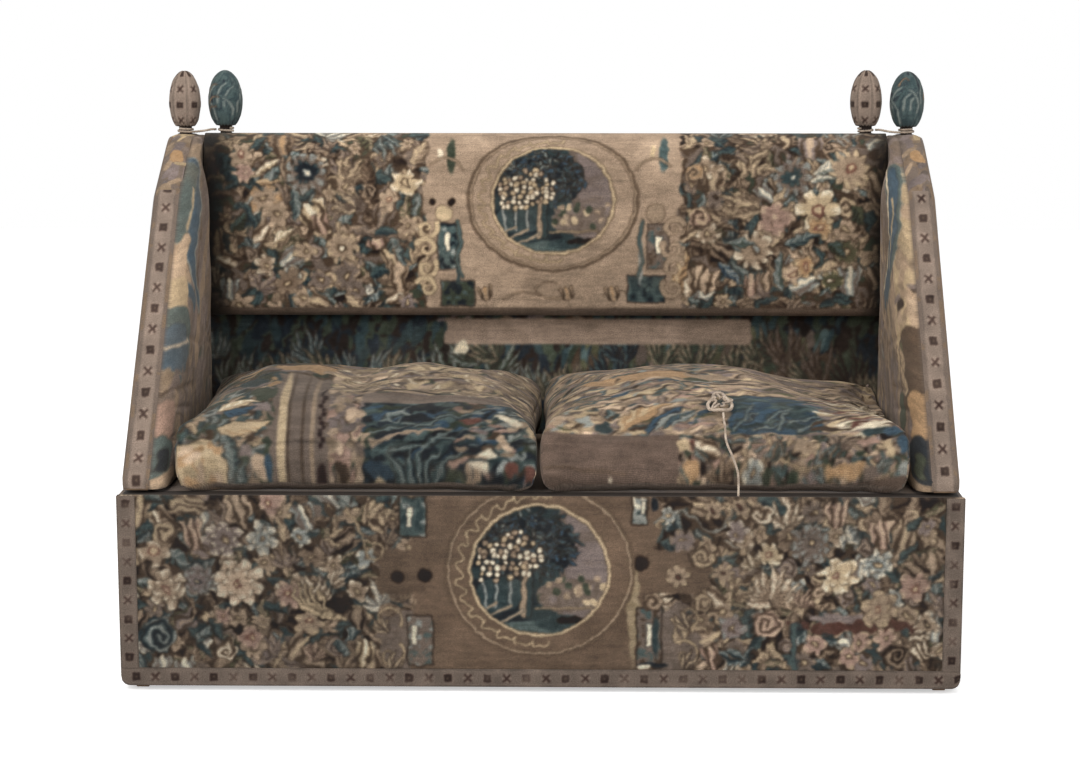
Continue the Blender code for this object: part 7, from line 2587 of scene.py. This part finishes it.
def paint_braid_egg(seed):
    cartoon = Cartoon(-0.12, 0.12, 0.0, 0.15, BRAID_POINT, seed)
    strip = paint_braid(0.20, 0.034, 0.008, seed, level=1.42, wear=0.15)
    u, v = np.broadcast_arrays(*cartoon.places())
    fold = (u + 0.017 + 0.006) % 0.034 - 0.017
    colour, relief = strip.read(fold.ravel(), v.ravel() * 1.15 + 0.006)
    cartoon.colour[:] = colour.reshape(cartoon.colour.shape) * 0.95
    cartoon.relief[:] = relief.reshape(cartoon.size)
    stroke(cartoon, bow((-0.052, 0.0), (-0.050, 0.15), 0.01), 0.006, 0.006, "dark umber")
    stroke(cartoon, bow((0.060, 0.0), (0.058, 0.15), 0.01), 0.005, 0.005, "dark umber")
    return cartoon


def paint_leaf_egg(seed):
    """Long soft leaves that curve round the egg."""
    cartoon = Cartoon(-0.12, 0.12, 0.0, 0.15, BRAID_POINT, seed)
    cartoon.mottle(wools("sea teal sea teal navy"), 0.03, seed)
    random = np.random.default_rng(seed)
    for number in range(16):
        u = -0.115 + number * 0.015 + random.uniform(-0.004, 0.004)
        top, reach = random.uniform(0.085, 0.130), random.uniform(0.045, 0.070)
        side = 1 if number % 3 else -1
        path = bow((u, top - reach), (u + side * 0.030, top), 0.22 * side)
        stroke(cartoon, path, 0.013, 0.009, "navy teal")
        stroke(cartoon, path[2:-2], 0.007, 0.005, "teal mist")
    for _ in range(5):
        u, v = random.uniform(-0.11, 0.11), random.uniform(0.03, 0.12)
        stroke(cartoon, bow((u, v), (u + 0.026, v + 0.012), 0.25), 0.006, 0.004, "dark tan")
    wander(cartoon, 0.004, 0.012, seed + 1)
    soften(cartoon)
    return cartoon


def build_finial(name, node, body, x, foot, width, cartoon, material):
    piece = spun(name, egg_profile(foot, width), x, FINIAL_DEPTH)
    mesh = piece.data
    places = vertex_values(mesh, "co")
    across, back = places[:, 0] - x, places[:, 1] - FRONT - FINIAL_DEPTH
    rho = np.hypot(across, back)
    angle = np.arctan2(across, -back)
    z = places[:, 2] - foot
    cloth_u = angle * width / 2
    gathers = np.cos(angle * 17) * 0.0016 * ease((z - 0.006) / 0.012) * ease((0.062 - z) / 0.04)
    gathers += np.cos(angle * 9 + 1) * 0.0010 * ease((z - 0.100) / 0.03) * ease((0.140 - z) / 0.02)
    colour, relief = cartoon.read(cloth_u, z)
    neck = ease((0.026 - z) / 0.006)[:, None]
    colour = colour * (1 - neck) + WOOL["dark"] * 1.1 * neck
    grow_by = np.where(rho > 0.004, gathers + relief, 0.0)
    placed = places + vertex_values(mesh, "normal") * grow_by[:, None]
    mesh.vertices.foreach_set("co", placed.ravel())
    keep_colour(mesh, colour, np.stack([cloth_u, z], axis=1))
    mesh.update()
    mesh.materials.append(material)
    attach(piece, body)
    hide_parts(node)


BACK_FOOT = BACK_TOP - 0.0063
WING_FOOT = WING_TOP - 0.0033
BACK_FINIAL_X = 0.7115
build_finial("left_back_egg", "back_finial_left", "base", -BACK_FINIAL_X, BACK_FOOT, 0.0755,
    paint_leaf_egg(121), TAPESTRY)
build_finial("right_back_egg", "back_finial_right", "base", BACK_FINIAL_X, BACK_FOOT, 0.0690,
    paint_braid_egg(122), BRAID)
build_finial("left_wing_egg", "left_arm_finial", "left_arm", -WING_CENTRE, WING_FOOT, 0.0690,
    paint_braid_egg(123), BRAID)
build_finial("right_wing_egg", "right_arm_finial", "right_arm", WING_CENTRE, WING_FOOT, 0.0755,
    paint_leaf_egg(124), TAPESTRY)
print("finials spun with", EGG_TURNS, "steps")

# %% [markdown]
# An off-white cord holds each wing to the back. It is looped round both necks, and unhooked
# to let the wing down, so on this model the loop on the back stays and the rest goes with
# the wing. Like the string it is three yarns twisted together.

# %% Ties
LOOP_RADIUS = 0.01555
TIE_DIAMETER = 0.0055
TIE_PITCH = 0.0061
TIE_TWIST = 0.017
TIE_POINT = 0.0012
TIE_GAP = 0.0003


def loop_knots(x, start_angle, direction, low_z):
    knots = []
    for index in range(19):
        angle = start_angle + direction * 2 * math.pi * index / 16
        place = at(x, FINIAL_DEPTH, low_z + TIE_PITCH * index / 16)
        knots.append(place + Vector((math.cos(angle), math.sin(angle), 0)) * LOOP_RADIUS)
    return knots


for side_name, side in SIDES:
    low = BACK_TOP + TIE_GAP + TIE_DIAMETER / 2
    knots = loop_knots(side * BACK_FINIAL_X, math.pi / 2 + side * math.pi / 2, side, low)
    path = smooth_path(knots, TIE_POINT)
    loop = twisted_cord(side_name + "_back_tie", path, TIE_DIAMETER, TIE_TWIST)
    loop.data.materials.append(COTTON)
    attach(loop, "base")
    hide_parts("back_tie_loop_" + side_name)
    low = WING_FOOT + TIE_GAP + 0.004 + TIE_DIAMETER
    coil = loop_knots(side * WING_CENTRE, -math.pi / 2, side, low)
    reach = BACK_FINIAL_X + LOOP_RADIUS + TIE_DIAMETER + 0.0006
    start = at(side * reach, FINIAL_DEPTH, BACK_TOP + TIE_PITCH)
    lead = start + Vector((side * 0.010, 0, 0))
    span = [start]
    for index in range(5):
        share = index / 5
        point = lead.lerp(coil[0], share)
        point.y = lead.y + (coil[0].y - lead.y) * ease(share)
        point.z -= 0.002 * math.sin(math.pi * share)
        span.append(point)
    path = smooth_path(span + coil, TIE_POINT)
    tie = twisted_cord(side_name + "_wing_tie", path, TIE_DIAMETER, TIE_TWIST)
    tie.data.materials.append(COTTON)
    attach(tie, side_name + "_arm")
    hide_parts(side_name + "_arm_tie_cord")
print("ties", round(TIE_DIAMETER * 1000, 1), "mm thick")

# %% [markdown]
# The rest of the working model stays as it is and gets its real finishes: beech rails and
# boards, dark turned feet, steel springs and hinges, jute webbing, hessian and black cambric
# under the seat. The top of the front board, where the tapestry turns over under the
# cushions, is painted near black, as painted shadow.

# %% Wood, steel and under-cloths
def wood_material(name, dark, light, roughness):
    material, nodes, links, shader = shader_of(name, roughness)
    place = object_place(nodes)
    stretch = add_node(nodes, "Mapping", Scale=(1.0, 1.0, 9.0))
    links.new(place, stretch.inputs["Vector"])
    grain = stretch.outputs["Vector"]
    rings = waves_of(nodes, links, grain, Scale=6.0, Distortion=7.0, Detail=4.0, Detail_Scale=1.6)
    stops = ((0.2, dark), (0.6, (np.array(dark) + np.array(light)) / 2), (0.95, light))
    links.new(ramp_of(nodes, links, rings, stops), shader.inputs["Base Color"])
    bump_of(nodes, links, noise_of(nodes, links, place, 320.0, 4.0), 0.0003, 0.4, shader)
    return material


def wrapped_wood(name, wood, tone, height):
    """Bare wood below a height, and above it one flat tone for the turned-over cloth and its painted
    shadow.
    """
    material = wood.copy()
    material.name = name
    nodes, links = material.node_tree.nodes, material.node_tree.links
    shader = next(node for node in nodes if node.type == "BSDF_PRINCIPLED")
    apart = add_node(nodes, "SeparateXYZ")
    links.new(object_place(nodes), apart.inputs[0])
    above = ranged(nodes, links, apart.outputs["Z"], 0.0, 1.0, height - 0.002, height)
    mix = add_node(nodes, "Mix")
    mix.data_type = "RGBA"
    links.new(above, mix.inputs["Factor"])
    links.new(shader.inputs["Base Color"].links[0].from_socket, mix.inputs["A"])
    mix.inputs["B"].default_value = (*linear(np.array(tone)), 1.0)
    links.new(mix.outputs["Result"], shader.inputs["Base Color"])
    return material


def woven_material(name, dark, light, scale):
    material, nodes, links, shader = shader_of(name, 0.95)
    place = object_place(nodes)
    threads = [
        waves_of(nodes, links, place, direction, Scale=scale, Distortion=0.6) for direction in "XY"
    ]
    weave = combined(nodes, links, "MAXIMUM", *threads)
    stops = ((0.3, dark), (0.9, light))
    links.new(ramp_of(nodes, links, weave, stops), shader.inputs["Base Color"])
    bump_of(nodes, links, weave, 0.0006, 0.7, shader)
    return material


def steel_material():
    material, nodes, links, shader = shader_of("old_steel", 0.42)
    shader.inputs["Metallic"].default_value = 1.0
    place = object_place(nodes)
    tone = noise_of(nodes, links, place, 90.0, 5.0)
    stops = ((0.35, (0.30, 0.22, 0.17)), (0.55, (0.52, 0.50, 0.48)), (0.8, (0.66, 0.65, 0.63)))
    links.new(ramp_of(nodes, links, tone, stops), shader.inputs["Base Color"])
    bump_of(nodes, links, noise_of(nodes, links, place, 600.0), 0.0002, 0.4, shader)
    return material


FINISHES = {
    "wood": wood_material("beech", (0.40, 0.31, 0.23), (0.50, 0.40, 0.30), 0.7),
    "dark_wood": wood_material("dark_foot", (0.14, 0.09, 0.06), (0.24, 0.16, 0.11), 0.45),
    "steel": steel_material(),
    "webbing": woven_material("jute_webbing", (0.45, 0.37, 0.25), (0.76, 0.67, 0.50), 300.0),
    "hessian": woven_material("hessian", (0.40, 0.31, 0.20), (0.68, 0.56, 0.39), 240.0),
    "cambric": woven_material("black_cambric", (0.05, 0.05, 0.05), (0.13, 0.12, 0.12), 420.0),
    "plain_cloth": PLAIN,
    "tapestry": PLAIN,
    "foliage": PLAIN,
    "braid": PLAIN,
    "leaf_cloth": PLAIN,
    "cord": COTTON,
}


def dress_node(node):
    """Give each slot of a working node the finish whose name its own material starts with."""
    for slot in node.material_slots:
        own = slot.material.name if slot.material else ""
        for finish_name in sorted(FINISHES, key=len, reverse=True):
            if own.startswith(finish_name):
                slot.material = FINISHES[finish_name]
                break
        else:
            print("no finish for", node.name, own)


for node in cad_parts.values():
    dress_node(node)
# Painted shadow: the top of the front board and of the front legs is near black, for the turned-over
# cloth in the shadow of the cushions.
WRAPPED_AND_SHADED = wrapped_wood("wrapped_board", FINISHES["wood"], (0.16, 0.13, 0.11), 0.390)
COVERED_WOOD = {
    "front_base_board": WRAPPED_AND_SHADED, "leg_front_left": WRAPPED_AND_SHADED, "leg_front_right": WRAPPED_AND_SHADED,
    "back_top_rail": PLAIN, "back_post_left": PLAIN, "back_post_right": PLAIN,
}
for node_name, finish in COVERED_WOOD.items():
    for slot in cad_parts[node_name].material_slots:
        slot.material = finish
print("finishes", len(FINISHES) + 1)

# %% [markdown]
# Nobody sees the inside of a sofa until it is turned over, but it is what makes a seat.
# Coil springs stand on straps of jute under a sheet of hessian. The wire of a spring is swept
# along a waisted coil in the same way as a cord, but its section is round.

# %% Springs
SPRING_WIRE = 0.004
SPRING_LOW = 0.1579
SPRING_TOP = 0.3288
SPRING_TURNS = 4
SPRING_STEPS = 28
SPRING_PLACES = {
    "front_left": (-0.38495, -0.16215), "front_right": (0.38945, -0.16215),
    "rear_left": (-0.38495, 0.09785), "rear_right": (0.38945, 0.09785),
}


def wound_spring(name, x, y):
    path = []
    for index in range(SPRING_TURNS * SPRING_STEPS + 1):
        share = index / (SPRING_TURNS * SPRING_STEPS)
        radius = 0.032 + 0.0108 * abs(2 * share - 1) ** 1.5
        angle = 2 * math.pi * index / SPRING_STEPS
        z = SPRING_LOW + SPRING_WIRE / 2 + (SPRING_TOP - SPRING_LOW - SPRING_WIRE) * share
        path.append((x + radius * math.cos(angle), y + radius * math.sin(angle), z))
    spring = twisted_cord(name, np.array(path), SPRING_WIRE, 1.0, lobes=0.0)
    spring.data.materials.append(FINISHES["steel"])
    return spring


for place_name, (x, y) in SPRING_PLACES.items():
    spring = wound_spring("spring_" + place_name, x, y)
    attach(spring, "base")
    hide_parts("seat_spring_" + place_name)
print("springs", len(SPRING_PLACES), "of", len(spring.data.polygons), "faces")

# %% [markdown]
# Under the springs, jute straps are woven over and under each other and pulled tight to the
# rails. Hessian lies on the springs, a canvas closes the back pad and a black dust cloth the
# bottom. The straps are bent up and down where they cross. The sheets are grids with a thin
# wall and waves of about a millimetre, because stretched cloth has no folds.

# %% Webbing and sheets
WEB_WIDTH = 0.050
WEB_WALL = 0.0008
WEB_CELL = 0.008
WEB_WAVE = 0.0006
WEB_LEVEL = 0.1561
WEB_HALF = 0.7739
WEB_FRONT, WEB_BACK = -0.3459, 0.3492
HESSIAN_WALL, CANVAS_WALL, DUST_WALL = 0.0009, 0.0012, 0.0008
SHEET_WAVE = 0.0012


def thin_sheet(name, bm, wall, node, material):
    bmesh.ops.recalc_face_normals(bm, faces=bm.faces)
    bmesh.ops.solidify(bm, geom=bm.faces[:], thickness=wall)
    bmesh.ops.recalc_face_normals(bm, faces=bm.faces)
    piece = new_piece(name, bm)
    piece.data.materials.append(material)
    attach(piece, "base")
    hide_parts(node)


def woven_straps():
    """Nine short straps over and under five long ones."""
    bm = bmesh.new()
    xs = np.linspace(-WEB_HALF, WEB_HALF - WEB_WIDTH, 9) + WEB_WIDTH / 2
    ys = np.linspace(WEB_FRONT, WEB_BACK - WEB_WIDTH, 5) + WEB_WIDTH / 2
    pitch_x, pitch_y = xs[1] - xs[0], ys[1] - ys[0]
    for number, middle in enumerate([*ys, *xs]):
        along_x = number < 5
        half = WEB_HALF if along_x else (WEB_BACK - WEB_FRONT) / 2
        cells = round(half / WEB_CELL)
        made = bmesh.ops.create_grid(bm, x_segments=cells, y_segments=3, size=1.0)
        for vertex in made["verts"]:
            along, across = vertex.co.x * half, vertex.co.y * WEB_WIDTH / 2
            if along_x:
                wave = math.cos((along - xs[0]) / pitch_x * math.pi) * (-1) ** number
                vertex.co = (along, middle + across, WEB_LEVEL + WEB_WAVE * wave)
            else:
                y = along + (WEB_FRONT + WEB_BACK) / 2
                wave = -math.cos((y - ys[0]) / pitch_y * math.pi) * (-1) ** (number - 5)
                vertex.co = (middle + across, y, WEB_LEVEL + WEB_WAVE * wave)
    return bm


def level_sheet(low, high, height, seed, axis=2):
    """A grid between two corners, on a level or on an upright plane, with slow waves."""
    bm = bmesh.new()
    bmesh.ops.create_grid(bm, x_segments=70, y_segments=32, size=1.0)
    for vertex in bm.verts:
        u, v = (vertex.co.x + 1) / 2, (vertex.co.y + 1) / 2
        a, b = low[0] + (high[0] - low[0]) * u, low[1] + (high[1] - low[1]) * v
        edge = min(u, 1 - u, v, 1 - v)
        wave = float(slack(np.array([a]), np.array([b]), seed, SHEET_WAVE)[0])
        rise = height + wave * min(1.0, edge * 12)
        vertex.co = (a, b, rise) if axis == 2 else (a, rise, b)
    return bm


thin_sheet(
    "webbing", woven_straps(), WEB_WALL, "seat_webbing",
    FINISHES["webbing"],
)
hessian = level_sheet((-0.774, -0.3459), (0.774, 0.3095), 0.3300, 141)
thin_sheet(
    "spring_hessian", hessian, HESSIAN_WALL, "seat_hessian",
    FINISHES["hessian"],
)
canvas = level_sheet((-0.7515, 0.680), (0.7515, 1.0705), 0.3060, 142, 1)
thin_sheet(
    "pad_canvas", canvas, CANVAS_WALL, "back_canvas",
    FINISHES["hessian"],
)
dust = level_sheet((-0.8297, -0.3744), (0.8297, 0.3777), 0.0286, 143)
middles = [(face, face.calc_center_median()) for face in dust.faces]
corners = [
    face for face, middle in middles if abs(middle.x) > 0.7744 and not -0.3191 < middle.y < 0.3224
]
bmesh.ops.delete(dust, geom=corners, context="FACES")
thin_sheet(
    "dust_cloth", dust, DUST_WALL, "dust_cover",
    FINISHES["cambric"],
)
